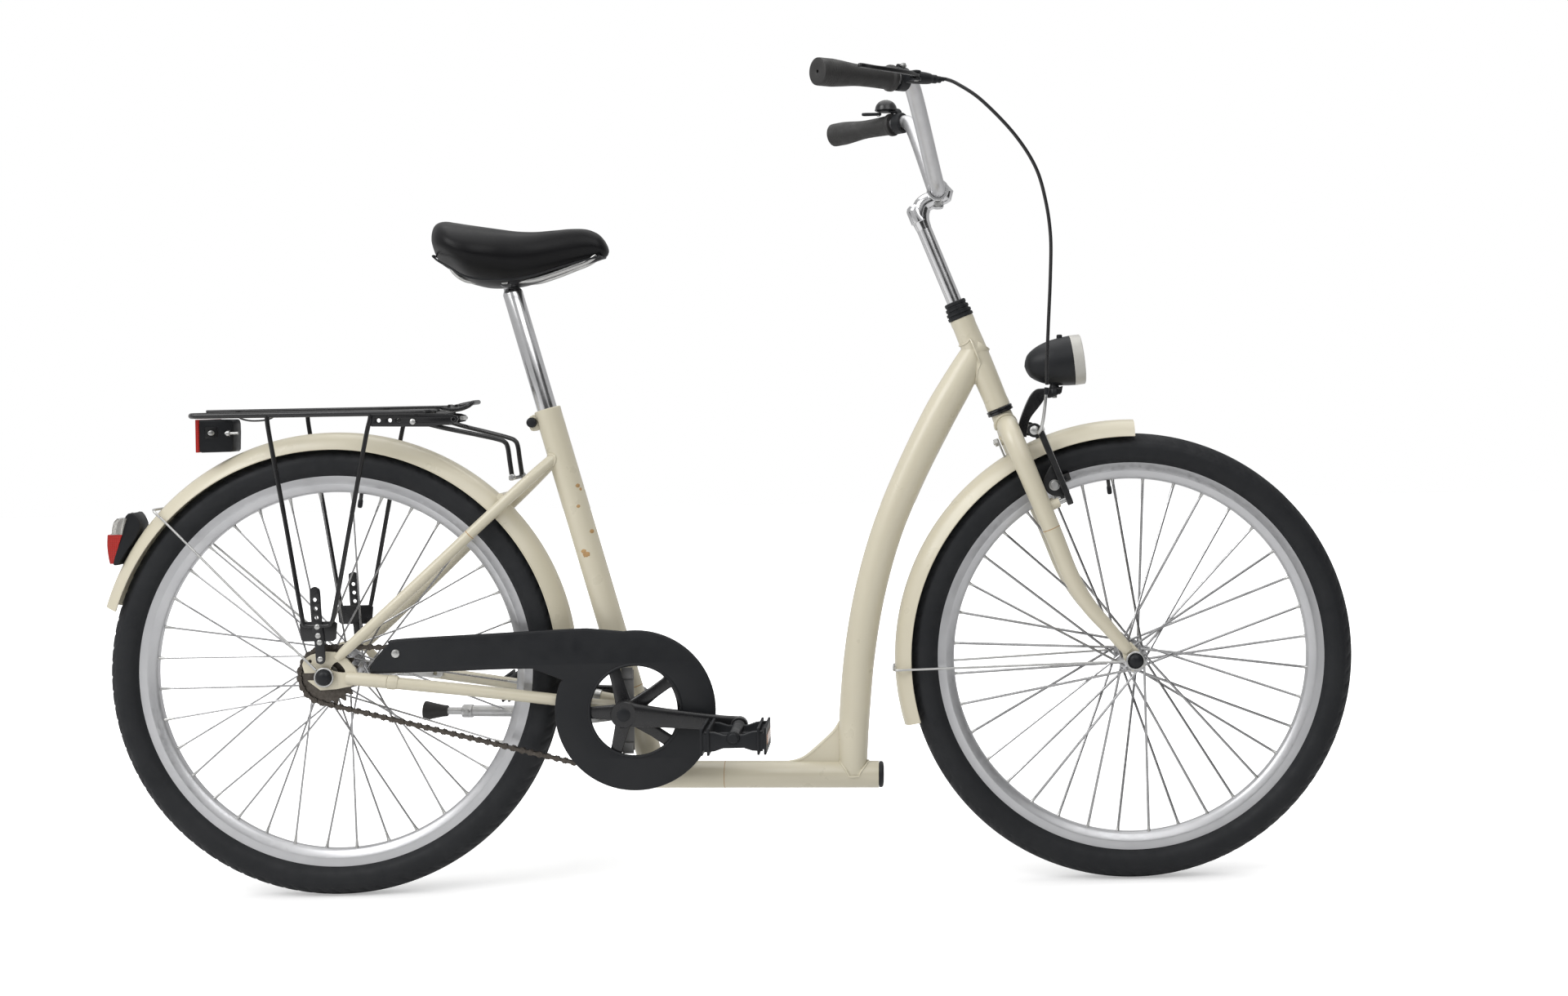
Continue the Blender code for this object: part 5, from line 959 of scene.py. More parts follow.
bell_shapes += [ZINC, spun(dome_screw, BELL, UP, 20)]
base_disc = [(0, 1.2), (13, 1.2), (13.8, 0.4), (13.8, -1.4), (0, -1.4)]
bell_shapes += [BLACK_PLASTIC, spun(base_disc, BELL, UP, 48)]
BELL_PIVOT = BELL + (-12, 0, -4)
bell_pin = [(0, 3), (1.6, 3), (1.6, -3.2), (2.6, -3.2), (2.6, -4.2), (0, -4.2)]
bell_shapes += [ZINC, spun(bell_pin, BELL_PIVOT, UP, 16)]
piece("bell_body", "steering", bell_shapes)
thumb_edge = flowing([
    (4.5, 0), (3, 4.2), (-6, 4.8), (-16, 6.6), (-22, 7), (-26, 4), (-26, -2), (-20, -4.5), (-6, -4.4),
    (3, -4.2)
], 4, closed=True)
thumb = sheet_cut(
    thumb_edge, [circle(0, 0, 1.9, 16)], 4, BELL_PIVOT - (0, 0, 0.8), (1, 0, 0), (0, 1, 0), 1.1, 3
)
rib_at = np.linspace(-24, -15, 5)
thumb_shapes = [BLACK_PLASTIC, thumb]
for x in rib_at:
    thumb_shapes += [BLACK_PLASTIC, rod(BELL_PIVOT + (x, -1.5, 1.1), BELL_PIVOT + (x, 4.5, 1.1), 3, 0.5, 8)]
piece("bell_lever", "bell_thumb", thumb_shapes)


# Front rim brake: two black alloy arms on the fork's studs, each with a rubber pad on a threaded post,
# drawn together by a wire that runs from a bent steel noodle through the arms.

# Black anodised arm, its tone drifting a little at random.
ARM_BLACK = finish(
    "arm_black", (0.02, 0.02, 0.021), 0.35, 0.34, tint=(60, (0.015, 0.015, 0.016), (0.032, 0.032, 0.033)),
    gloss=(110, 0.28, 0.42)
)
ARM_EDGE = [
    (-9, -4), (-5, -9), (5, -9), (9, -3), (8.6, 12), (7, 40), (5, 80), (3.4, 104), (1, 110), (-5, 111),
    (-9, 106), (-7.4, 80), (-6.4, 40), (-8, 14)
]


def wheel_arc(turn, top, low):
    """The edge of a block that follows the front rim: an arc at one radius, and back at the other."""
    turn = np.concatenate([turn, turn[::-1]])
    return on_circle(WHEELBASE, AXLE_Z, np.repeat((top, low), len(turn) // 2), turn)


PAD = np.array([1046, 0, 581])
ARM_AHEAD = 40.0
WIRE = steer(52, ARM_AHEAD)
for side, way in (("right", -1), ("left", 1)):
    body = side + "_brake_arm"
    pivot = steer(158, ARM_AHEAD, way * 48)
    across, up = (0, way, 0), -DOWN_AXIS
    arm_edge = flowing(ARM_EDGE, 4, closed=True)
    arm_shapes = [ARM_BLACK, sheet_cut(arm_edge, [circle(0, 0, 4.3, 20)], 8.4, pivot, across, up, 1.3, 3)]
    boss = [(4.4, 4), (8.4, 4), (9.2, 3), (9.2, -3.2), (8.4, -4.3), (4.4, -4.3)]
    arm_shapes += [ARM_BLACK, spun(boss, pivot, AHEAD_AXIS, 36, closed=True)]
    anchor = [(0, 13), (2, 13), (5, 12.4), (5, 9.4), (6.2, 9.2), (6.2, 7.6), (4, 7.6), (4, 3.6), (0, 3.6)]
    arm_shapes += [ZINC, spun(anchor, steer(50, ARM_AHEAD - 6, way * 47), AHEAD_AXIS, 6)]
    lug_edge = [
        (104, 36), (113, 24), (122, 15.5), (136, 14.5), (145, 20), (152, 31), (156, 36), (156, 44), (104, 44)
    ]
    lug_line = flowing([steer(down, forward)[[0, 2]] for down, forward in lug_edge], 3, closed=True)
    arm_shapes += [ARM_BLACK, side_plate(lug_line, way * 42.2, way * 46.4, edge=1.4)]
    # A thin satin silver line along each arm's front edge: a painted highlight.
    painted_highlight_line = flowing([steer(down, ARM_AHEAD + 4.6, way * 48) for down in (48, 90, 130, 150)], 5)
    arm_shapes += [SATIN, along(painted_highlight_line, 0.8, 10)]
    nut_at = PAD * (1, 0, 1)
    nut = [
        (0, 54), (3, 54), (3, 52.2), (5.2, 52), (6, 51.2), (6, 47.8), (8, 47.6), (8, 45.8), (6.4, 43.2),
        (5, 41), (0, 41)
    ]
    arm_shapes += [ZINC, spun(nut, nut_at, steps=24, way=way)]
    side_ring = [(6.8, 52.6), (9.6, 52.6), (10.4, 53.4), (10.4, 55.2), (9.6, 56), (6.8, 56)]
    ring_at = steer(48, ARM_AHEAD - 8) * (1, 0, 1)
    arm_shapes += [ARM_BLACK, spun(side_ring, ring_at, steps=28, closed=True, way=way)]
    side_bolt = [(0, 56.6), (4.4, 56.6), (5.6, 55.8), (6.9, 55.4), (6.9, 51), (0, 51)]
    arm_shapes += [ZINC, spun(side_bolt, ring_at, steps=24, way=way)]
    piece("brake_arm_" + side, body, arm_shapes)
    around = math.atan2(PAD[2] + 1 - AXLE_Z, PAD[0] - WHEELBASE)
    reach = np.linspace(around - 0.098, around + 0.098, 20)
    pad_edge = wheel_arc(reach, 285, 274.2)
    pad_shapes = [GRIP_RUBBER, side_plate(pad_edge, way * 13.3, way * 20, edge=1.2)]
    shoe_edge = wheel_arc(reach[2:-2], 283, 276.4)
    pad_shapes += [BLACK_PLASTIC, side_plate(shoe_edge, way * 19.5, way * 24, edge=0.8)]
    post_profile = [
        (0, 23), (3.5, 23), (3.5, 31), (6.2, 31.4), (6.2, 34.6), (5, 35.2), (5, 38.6), (3.5, 39), (3.5, 40.3),
        (0, 40.3)
    ]
    pad_shapes += [ZINC, spun(post_profile, nut_at, steps=28, way=way)]
    piece("brake_pad_" + side, body, pad_shapes)

wire_shapes = [SPOKE_STEEL, rod(WIRE + (0, -52.5, 0), WIRE + (0, 60, 0), 8, 0.9, 12)]
bellows = np.linspace(0, 1, 90)
bellow_path = WIRE + np.stack([0 * bellows, -30 + 62 * bellows, 0 * bellows], axis=1)
wire_shapes += [GRIP_RUBBER, along(bellow_path, 2.4 + 0.5 * np.sin(bellows * 2 * np.pi * 15), 20, UP)]
piece("brake_wire", "steering", wire_shapes)


# Brake cable: black housing held at the lever and at a bent steel noodle by the wheel. It loops
# forward of the bar under its own stiffness.

CABLE = [
    on_bar(192, 21, 1), on_bar(205, 21, 1.3), (912, -170, 1139.5), (944.1, -165, 1118), (988.3, -150, 1074.4),
    (1018.4, -135, 1030.5), (1032.9, -122, 986.2), (1040.5, -110, 935.7), (1040.4, -98, 879),
    (1037.4, -86, 810.1), (1035.4, -80, 763.9), (1034.9, -76.5, 726)
]
cable_run = flowing(CABLE, 12)

# Shiny black vinyl housing over a steel coil.
CABLE_COVER = finish("cable_cover", (0.014, 0.014, 0.015), 0, 0.3, gloss=(90, 0.24, 0.36))
cable_shapes = [CABLE_COVER, along(cable_run, 2.5, 16, (0, 1, 0.2))]
cable_shapes += [BLACK_PLASTIC, rod(on_bar(190, 21, 1), on_bar(200, 21, 1), 4, (3.2, 3.2, 3.2, 2.9))]
NOODLE = [
    (1034.4, -76.3, 722), (1033.4, -75.6, 712), (1031.6, -74, 694), (1029.2, -70.5, 676),
    (1026.4, -65.5, 663.5), (1023, -60.5, 656.4), (WIRE[0], -54.2, WIRE[2])
]
noodle_run = flowing(NOODLE, 8)
cable_shapes += [ZINC, along(noodle_run, 2.3, 16, (1, 0, 0))]
sleeve = flowing(NOODLE[:3], 4)
cable_shapes += [BLACK_PLASTIC, along(sleeve[:5], 3.2, 20, (1, 0, 0))]
piece("brake_cable", "steering", cable_shapes, 45)


# Mudguards: thin rolled steel in the frame's cream, with a raised crown and rolled-under hems.
# Each is held by a thin wire stay that loops over its outside, and the front one by a strap at the crown.

GUARD_RADIUS = 345.0


def guard_shell(x, start, end, count):
    """Along the wheel and across the sheet: a flattened arch of sheet steel, closed through its thickness."""
    turn = np.radians(np.linspace(start, end, count))[:, None]
    v = np.linspace(-1, 1, 41)[None, :]
    y = 28.4 * np.sign(v) * np.abs(v) ** 0.92
    radius = GUARD_RADIUS + 0.4 - 22.0 * np.abs(v) ** 2.6
    crown = 0.9 * np.clip((0.16 - np.abs(v)) / 0.06, 0, 1)
    radius = radius + crown + 0 * turn
    y = y + 0 * turn
    slope_y = np.gradient(y[0])
    slope_r = np.gradient(radius[0])
    length = np.hypot(slope_y, slope_r)
    ny, nr = -slope_r / length, slope_y / length
    skins = []
    for offset in (0.6, -0.6):
        r = radius + nr * offset
        skins.append(np.stack([x + r * np.cos(turn), y + ny * offset, AXLE_Z + r * np.sin(turn)], axis=-1))
    grid = np.concatenate([skins[0], skins[1][:, ::-1]], axis=1)
    return grid.reshape(-1, 3), grid_faces(count, grid.shape[1], ends=True)


def guard_hem(x, start, end, count, way):
    """The rolled edge of the sheet: a thin bead along each skirt."""
    turn = np.radians(np.linspace(start, end, count))
    return along(in_plane(on_circle(x, AXLE_Z, 323.6, turn), way * 28.2), 1.1, 10)


def stay_wire(x, degrees, reach):
    """Wire from a ring beside the axle, out past the sheet, over its crown and down the other side."""
    out, round_it = rays(degrees)
    centre = np.array([x, 0, AXLE_Z])
    half = [
        (15, reach), (40, reach - 2), (150, reach - 12), (316, 33.5), (334, 32.6), (343, 31.6), (347.6, 28),
        (348.6, 22)
    ]
    both = half + [(r, -y) for r, y in half[::-1]]
    path = [centre + out * r + (0, y, 0) for r, y in both]
    shapes = [ZINC, along(flowing(path, 6), 1.75, 14, round_it)]
    for way in (-1, 1):
        turn = full_turn(28)[:, None]
        ring = centre + (0, way * reach, 0) + 12.6 * (np.cos(turn) * out + np.sin(turn) * round_it)
        shapes += [ZINC, along(ring, 1.75, 12, closed=True)]
    return shapes


front_shapes = [CREAM, guard_shell(WHEELBASE, 88.5, 196, 96)]
rear_shapes = [CREAM, guard_shell(0, 9, 163, 130)]
for way in (-1, 1):
    front_shapes += [CREAM, guard_hem(WHEELBASE, 88.6, 195.9, 96, way)]
    rear_shapes += [CREAM, guard_hem(0, 9.1, 162.9, 130, way)]
strap = sheet_cut(
    [(-7, -15), (7, -15), (7, 15), (-7, 15)], [circle(0, 10, 3, 16)], 2.6, steer(56, -20), (0, 1, 0),
    -DOWN_AXIS, 0.6
)
front_shapes += [ZINC, strap]
hex_nut = [
    (0, -20), (5.6, -20), (6.2, -20.8), (6.2, -25.4), (5.4, -26.2), (2.8, -26.2), (2.8, -27.5), (0, -27.5)
]
front_shapes += [ZINC, spun(hex_nut, steer(46), AHEAD_AXIS, 6)]
piece("front_mudguard", "steering", front_shapes, 40)
piece("rear_mudguard", "frame", rear_shapes, 40)
piece("front_guard_stay", "steering", stay_wire(WHEELBASE, 181.9, 59.6))
piece("rear_guard_stay", "frame", stay_wire(0, 136.5, 67.6))


# Headlamp: a black bullet shell over a clear ribbed front glass with a bright bowl behind it, on a
# curved flat bracket from the fork crown.

LAMP = np.array([1078, 0, 761.5])
LAMP_TILT = math.radians(6.5)
LAMP_WAY = (math.cos(LAMP_TILT), 0, math.sin(LAMP_TILT))
shell_out = flowing(
    [(0.2, -70), (9, -67.6), (18, -62), (27, -48), (33, -30), (35.6, -12), (36.4, -2), (36.6, 0)], 6
)
shell_in = np.array([(34.6, 0), (34.2, -8), (31, -28), (25, -44), (16, -54), (0.2, -58)])
lamp_shapes = [
    BLACK_PLASTIC, spun(np.concatenate([[(0, -70.2)], shell_out, shell_in, [(0, -58.2)]]), LAMP, LAMP_WAY, 72)
]

# The vacuum-coated mirror bowl inside the lamp.
BOWL = finish("lamp_bowl", (0.80, 0.80, 0.81), 1, 0.12, gloss=(60, 0.08, 0.2))
bowl_curve = flowing([(34, -1.2), (30, -14), (23, -26), (14, -36), (5, -41)], 5)
bowl_back = bowl_curve[::-1] + (0, -1)
lamp_shapes += [BOWL, spun(np.concatenate([bowl_curve, bowl_back]), LAMP, LAMP_WAY, 72, closed=True)]
bulb = [(0, -14), (2.4, -14.6), (3.6, -17), (3.6, -22), (5, -24), (5, -40), (0, -40)]
lamp_shapes += [ZINC, spun(bulb, LAMP, LAMP_WAY, 28)]
strap_front = flowing(
    [
        (1009.6, 650), (1011, 664), (1016, 678), (1027, 692), (1034, 701), (1038, 707), (1046, 707),
        (1062, 714)
    ],
    4
)
strap_back = flowing([
    (1064, 724), (1050, 721), (1034, 721), (1024, 719), (1015, 709), (1006, 690), (999.6, 672), (998.6, 662),
    (1003, 650)
], 4)
lamp_shapes += [BLACK_ENAMEL, side_plate(np.concatenate([strap_front, strap_back]), -8, 8, edge=0.9)]
lamp_foot = [(0, -1), (8.6, -1), (9.4, 0), (9.4, 6), (8.2, 8), (6.6, 12), (7.4, 18), (0, 18)]
foot_at = (1052, 0, 713)
lamp_shapes += [BLACK_PLASTIC, spun(lamp_foot, foot_at, UP, 36)]
foot_screw = [(0, -6.4), (3.2, -6.4), (4.2, -5.6), (4.2, -1), (0, -1)]
lamp_shapes += [ZINC, spun(foot_screw, foot_at, UP, 6)]
knob = [(0, 8.4), (3, 8.2), (4.2, 7), (4.4, 2), (5.6, 1), (5.6, -4), (0, -4)]
lamp_shapes += [BLACK_PLASTIC, spun(knob, (1060.6, 0, 791.6), UP, 28)]
piece("headlamp_body", "steering", lamp_shapes, name="headlamp_shell")

# Clear moulded polycarbonate, with a faint grey cast and vertical flutes that scatter the light.
CLEAR_GLASS = finish(
    "lamp_front_glass", (0.76, 0.75, 0.71), 0, 0.12, Transmission_Weight=0.72, IOR=1.49,
    tint=(110, (0.68, 0.67, 0.63), (0.82, 0.81, 0.77))
)


def lamp_front(radius_rows=40, steps=144):
    """From the middle to the rim and round it: a shallow dome with vertical flutes pressed into its face."""
    r = np.linspace(0, 1, radius_rows)[:, None]
    turn = full_turn(steps)[None, :]
    y = 35.6 * r * np.cos(turn)
    z = 35.6 * r * np.sin(turn)
    flute = 0.45 * np.abs(np.sin(y * np.pi / 4.2)) * np.clip((0.86 - r) / 0.05, 0, 1)
    x = 3.0 + 12.4 * (1 - r**9) + flute
    face = np.stack([LAMP[0] + x, y, LAMP[2] + z], axis=-1)
    rim = np.array([(36.2, 1.2), (36.2, 0.3), (32.6, 0.3)])
    edge = np.stack(
        [LAMP[0] + rim[:, 1:] + 0 * turn, rim[:, :1] * np.cos(turn), LAMP[2] + rim[:, :1] * np.sin(turn)],
        axis=-1
    )
    back_r = np.linspace(0.9, 0, 16)[:, None]
    back_x = 1.0 + 11.0 * (1 - back_r**9)
    back = np.stack(
        [LAMP[0] + back_x + 0 * turn, 35.6 * back_r * np.cos(turn), LAMP[2] + 35.6 * back_r * np.sin(turn)],
        axis=-1
    )
    grid = np.concatenate([face, edge, back])
    from_lamp = grid.reshape(-1, 3) - LAMP
    up_face = np.array([-LAMP_WAY[2], 0, LAMP_WAY[0]])
    points = LAMP + from_lamp[:, :1] * LAMP_WAY + from_lamp[:, 1:2] * (0, 1, 0) + from_lamp[:, 2:] * up_face
    return points, grid_faces(len(grid), steps)


bezel = spun(
    [(34.9, 0.4), (36.6, 0.4), (36.9, 1.2), (36.7, 15), (35.4, 16), (33.8, 14.6), (34, 3)], LAMP, LAMP_WAY,
    72, closed=True
)

# Yellowed clear plastic of the ring round the front glass.
PALE_PLASTIC = finish(
    "pale_bezel", (0.50, 0.49, 0.46), 0, 0.35, tint=(60, (0.44, 0.43, 0.40), (0.55, 0.54, 0.50))
)
piece(
    "headlamp_lens", "steering", [CLEAR_GLASS, lamp_front(), PALE_PLASTIC, bezel], 25,
    name="headlamp_glass"
)


# Rear lamp on the mudguard: a wedge-shaped black housing that narrows forward, with its underside on
# the crown of the guard. Its lens is clear above and red below.

tail_edge = flowing([
    (-278, 538), (-279.6, 551), (-286.6, 560.6), (-290, 561.6), (-296.6, 557.4), (-302, 529), (-311, 501),
    (-313.8, 489), (-310, 487), (-302, 489), (-290, 508)
], 2, closed=True)
tail_points, tail_faces = side_plate(tail_edge, -24, 24, edge=1.8)
narrow = 1 - 0.38 * np.clip((tail_points[:, :1] + 308) / 30, 0, 1)
tail_points = tail_points * (1, 0, 1) + (0, 1, 0) * tail_points * narrow
from_axle = tail_points * (1, 0, 1) - (0, 0, AXLE_Z)
reach = np.linalg.norm(from_axle, axis=1)
pushed = np.where(reach < 347, 347.0 / np.maximum(reach, 1), 1)[:, None]
tail_points = from_axle * pushed + (0, 0, AXLE_Z) + tail_points * (0, 1, 0)
tail_shapes = [BLACK_PLASTIC, (tail_points, tail_faces)]
for across in (-15, 15):
    screw = [(0, 1.4), (2.2, 1.4), (3.2, 0.6), (3.2, -1), (0, -1)]
    tail_shapes += [ZINC, spun(screw, (-291, across * 0.8, 560.4), (-0.5, 0, 0.87), 20)]
piece("tail_lamp_body", "frame", tail_shapes, 50, name="tail_lamp_housing")


def pressed_cells(made, scale, regular=True, colours=None, bump=None):
    """Voronoi cells in the object's own space: a grid of small prisms, or the grain of a skin."""
    tree = made.node_tree
    shader = tree.nodes["Principled BSDF"]
    place = node(tree, "ShaderNodeTexCoord")
    cells = node(tree, "ShaderNodeTexVoronoi", in_Scale=scale, in_Randomness=0.0 if regular else 1)
    tree.links.new(place.outputs["Object"], cells.inputs["Vector"])
    if colours:
        ramp = node(tree, "ShaderNodeMix", data_type="RGBA")
        ramp.inputs[6].default_value = (*colours[0], 1)
        ramp.inputs[7].default_value = (*colours[1], 1)
        tree.links.new(cells.outputs["Distance"], ramp.inputs[0])
        tree.links.new(ramp.outputs[2], shader.inputs["Base Color"])
    if bump:
        relief = node(tree, "ShaderNodeBump", in_Strength=bump[0], in_Distance=bump[1])
        tree.links.new(cells.outputs["Distance"], relief.inputs["Height"])
        tree.links.new(relief.outputs["Normal"], shader.inputs["Normal"])


# Translucent red acrylic, with tiny prisms that brighten it in a grid.
RED_LENS = finish("red_acrylic", (0.50, 0.012, 0.01), 0, 0.12, Transmission_Weight=0.25)
pressed_cells(RED_LENS, 330, colours=((0.62, 0.03, 0.02), (0.26, 0.004, 0.004)), bump=(0.5, 0.0006))


def lens_surface(outer, low_width):
    """Down the lens and across it: a rounded face that bows backwards, closed by a flat front."""
    rows = flowing(outer, 8)
    v = np.linspace(-1, 1, 33)[None, :]
    edge = np.abs(v) ** 3.0
    face_x = rows[:, :1] + 5.5 * edge
    face = np.stack([face_x, low_width * v + 0 * face_x, rows[:, 1:2] + 0 * v], axis=-1)
    back = face[:, ::-1].copy()
    back[..., 0] = rows[:, 2:3] + 0 * v
    grid = np.concatenate([face, back], axis=1)
    return grid.reshape(-1, 3), grid_faces(len(rows), grid.shape[1], ends=True)


red_part = lens_surface(
    [(-323.2, 489.4, -313.2), (-325.2, 500, -310.3), (-326.6, 515, -305.6), (-326, 531, -300.4)], 23.6
)
clear_part = lens_surface(
    [(-320.4, 531.4, -300.2), (-319.4, 540, -298.4), (-317, 549, -295.6), (-312.6, 554.4, -293.8)], 23.6
)
piece(
    "tail_lamp_lens", "frame", [RED_LENS, red_part, CLEAR_GLASS, clear_part], 40,
    name="tail_lamp_glass"
)


# Rear rack: black enamelled rod, a hooped platform with two rails, legs to punched strips at the
# axle plates, and struts forward to the seat stays. A sprung clip lies along the top.

RACK_Z = 701.0
SIDE = 68.0
corner = [
    (158.5, -44), (157, -56), (150, -65), (138, -SIDE), (60, -SIDE), (-60, -SIDE), (-163, -SIDE), (-177, -65),
    (-184, -56), (-185.4, -44)
]
loop_path = [(x, y, RACK_Z) for x, y in corner] + [(x, -y, RACK_Z) for x, y in corner[::-1]]
rack_shapes = [BLACK_ENAMEL, along(flowing(loop_path, 6, closed=True), 4.2, 24, UP, closed=True)]
for y in (-26, 26):
    rack_shapes += [BLACK_ENAMEL, rod((157, y, RACK_Z), (-184, y, RACK_Z), 12, 3.2)]
for x in (-130, 84):
    rack_shapes += [BLACK_ENAMEL, rod((x, -SIDE, RACK_Z), (x, SIDE, RACK_Z), 8, 3.2)]
for way in (-1, 1):
    y = way * (SIDE + 1)
    ahead, raised = (11, 7) if way > 0 else (0, 0)
    leg = [(-73, y, 700), (-73, y, 691), (-68.5, y, 660), (-48.6, y, 540), (-30.6, y, 424), (-27, y, 404)]
    leg += [
        (-22, y, 400), (-6, y, 400), (7, y, 400), (12, y, 404), (18, y, 424), (43, y, 552), (65, y, 664),
        (71.5, y, 691), (73, y, 700)
    ]
    leg = [(a + ahead, b, c) for a, b, c in leg]
    rack_shapes += [BLACK_ENAMEL, along(flowing(leg, 5), 3.2, 18)]
    strip = [
        (-17, 449), (-14.6, 454), (-10, 456), (-5.2, 454), (-2.4, 449), (-1.2, 424), (0.6, 396), (2, 388),
        (3.4, 362), (3.4, 352), (1.2, 347.4), (-3.2, 345.6), (-7.4, 347.2), (-9.6, 351), (-10.8, 372),
        (-13.4, 390), (-15.8, 415)
    ]
    strip = flowing([(a + ahead, b + raised) for a, b in strip], 3, closed=True)
    holes = [circle(x + ahead, z + raised, 2.7, 18) for x, z in ((-10, 437.5), (-9, 424.7), (-8, 412))]
    rack_shapes += [BLACK_ENAMEL, side_plate(strip, way * (SIDE + 0.7), way * (SIDE + 3.2), holes, 0.5)]
    for x, z in ((-7, 399), (-6, 386.4), (-4, 376.7), (-3.4, 353)):
        head = [(0, 2), (2.4, 2), (3.6, 1.4), (4.2, 0.4), (4.2, 0), (0, 0)]
        spot = (x + ahead, way * (SIDE + 3.2), z + raised)
        rack_shapes += [ZINC, spun(head, spot, steps=24, way=way)]
    foot_sheet = [(-31, 381), (-33, 403), (-29, 406), (16, 406), (20, 403), (18, 381), (14, 378), (-27, 378)]
    foot_sheet = flowing([(a + ahead, b + raised) for a, b in foot_sheet], 1)
    rack_shapes += [BLACK_ENAMEL, side_plate(foot_sheet, way * (SIDE - 3), way * (SIDE + 0.5), (), 0.5)]
    tip = 8.0 if way < 0 else -13.0
    plate_edge = [
        (71, 684), (71, 698), (74, 700), (150, 700), (166 + tip, 699), (180 + tip, 697.5), (187 + tip, 695),
        (188.6 + tip, 690.5), (186 + tip, 686), (178 + tip, 684.5), (156, 680.5), (74, 682)
    ]
    plate_edge = flowing(plate_edge, 1)
    holes = [circle(x, 690.5, 3, 18) for x in (84, 100, 113)] + [circle(181 + tip, 690.6, 2.8, 18)]
    rack_shapes += [BLACK_ENAMEL, side_plate(plate_edge, way * (SIDE - 2), way * (SIDE + 1.5), holes, 0.5)]
    head = [(0, 4.6), (2.8, 4.6), (4, 3.8), (4.4, 2.4), (4.4, 0), (0, 0)]
    rack_shapes += [ZINC, spun(head, (133, way * (SIDE + 1.4), 688), steps=24, way=way)]
    strut = [
        (150, way * 66, 685), (164, way * 61, 681), (180, way * 56, 676.6), (214, way * 46, 668.4),
        (244, way * 37, 660.6), (254, way * 34, 656), (258, way * 33, 648), (260.6, way * 33, 628),
        (263.5, way * 33, 606)
    ]
    rack_shapes += [BLACK_ENAMEL, along(flowing(strut, 5), 3.4, 18)]
    tab_profile = [(0, 38.2), (3.4, 38.2), (4.6, 37.2), (4.6, 31), (0, 31)]
    rack_shapes += [ZINC, spun(tab_profile, (264, 0, 605), steps=28, way=way)]
    rack_shapes += [BLACK_ENAMEL, rod((262, 0, 603), (262, way * 36, 603), 4, 2.6, 14)]
    rack_shapes += [ZINC, rod((174, way * 40, RACK_Z - 10), (174, way * 67, RACK_Z - 10), 4, 3, 16)]
under_wire = flowing([
    (-122, -46, 699), (-118, -46, 696), (-108, -45, 693.2), (-97, -44, 692.6), (-86, -43, 693.4),
    (-77, -42, 696), (-73, -42, 699)
], 5)
rack_shapes += [BLACK_ENAMEL, along(under_wire, 1.3, 12)]
piece("rack", "frame", rack_shapes)

clip_half = [(-170.5, 22), (-166, 28.6), (-158, 30), (20, 30)]
clip_path = [(x, y, 706.8 + (x + 170) / 320) for x, y in clip_half] + [(150, 30, 707.9)]
near_side = [(x, -y, z) for x, y, z in clip_path[::-1]]
clip_path += [(166, 30, 708.3), (180, 29.6, 710.6), (193, 28, 713), (202, 24, 714), (205, 14, 714.2)]
clip_path += [
    (205, -14, 713.6), (203.6, -22, 712), (199.5, -26.6, 708.6), (190, -28.6, 705), (178, -29.8, 703.8),
    (164, -30, 706.6)
]
clip_path += near_side
clip_run = flowing(clip_path, 6, closed=True)
clip_radius = 2.3 + 1.1 * np.clip((clip_run[:, 0] - 160) / 20, 0, 1)
clip_shapes = [BLACK_ENAMEL, along(clip_run, clip_radius, 20, UP, closed=True)]
for way in (-1, 1):
    clip_shapes += [BLACK_ENAMEL, rod((174, way * 12, 709.2), (174, way * 30, 709.2), 4, 2.4, 14)]
piece("rack_clip", "clip", clip_shapes)


def tapered(shape):
    """Draws a shape in towards the centre plane as it goes forward, as the sides of the housing do."""
    points, faces = shape
    return points * (1, 0, 1) + points * (0, 1, 0) * (1 - 0.0158 * (points[:, :1] + 182.6)), faces


box_edge = flowing([
    (-181, 649.5), (-178, 648), (-145, 648), (-142, 651), (-141, 676), (-141.4, 689), (-143, 693.4),
    (-146, 695), (-180, 695.2), (-182.6, 692), (-182.6, 652)
], 1)
box_shapes = [BLACK_PLASTIC, tapered(side_plate(box_edge, -42.6, 42.6, edge=2.4))]
red_face = sheet_cut(
    [(-43, -23.6), (43, -23.6), (43, 23.6), (-43, 23.6)], (), 5.2, (-182.6, 0, 672), (0, 1, 0), UP, 1.2
)
box_shapes += [RED_LENS, red_face]
for way in (-1, 1):
    plate = [(-173, 668), (-160, 668), (-159, 670), (-159, 682), (-161, 684), (-173, 684)]
    box_shapes += [BLACK_ENAMEL, tapered(side_plate(flowing(plate, 1), way * 41.6, way * 44.6, edge=0.5))]
    screw = [(0, 47.6), (2.4, 47.6), (3.5, 46.6), (3.5, 44), (0, 44)]
    box_shapes += [ZINC, tapered(spun(screw, (-166, 0, 676), steps=24, way=way))]
long_bolt = [(0, 0), (2.6, 0), (2.6, 6), (4.8, 6.2), (4.8, 10), (2.2, 10.2), (2.2, 22), (0, 22)]
box_shapes += [ZINC, spun(long_bolt, (-155, -19, 675), (1, 0, 0), 24)]
piece("rack_reflector", "frame", box_shapes, 45)


# Saddle: a sprung-foam saddle under a smooth black vinyl cover, broad behind and narrow in front, with a
# shallow groove along its crown. It is pulled over a moulded base, on bent steel rails in a clamp.

# Black vinyl, lightly grained, with soft wide highlights where the foam rounds over.
VINYL = finish(
    "saddle_vinyl", (0.006, 0.006, 0.0065), 0, 0.36,
    tint=(12, (0.0045, 0.0045, 0.005), (0.008, 0.008, 0.009)), gloss=(26, 0.3, 0.44), Specular_IOR_Level=0.16
)
pressed_cells(VINYL, 900, regular=False, bump=(0.22, 0.00025))

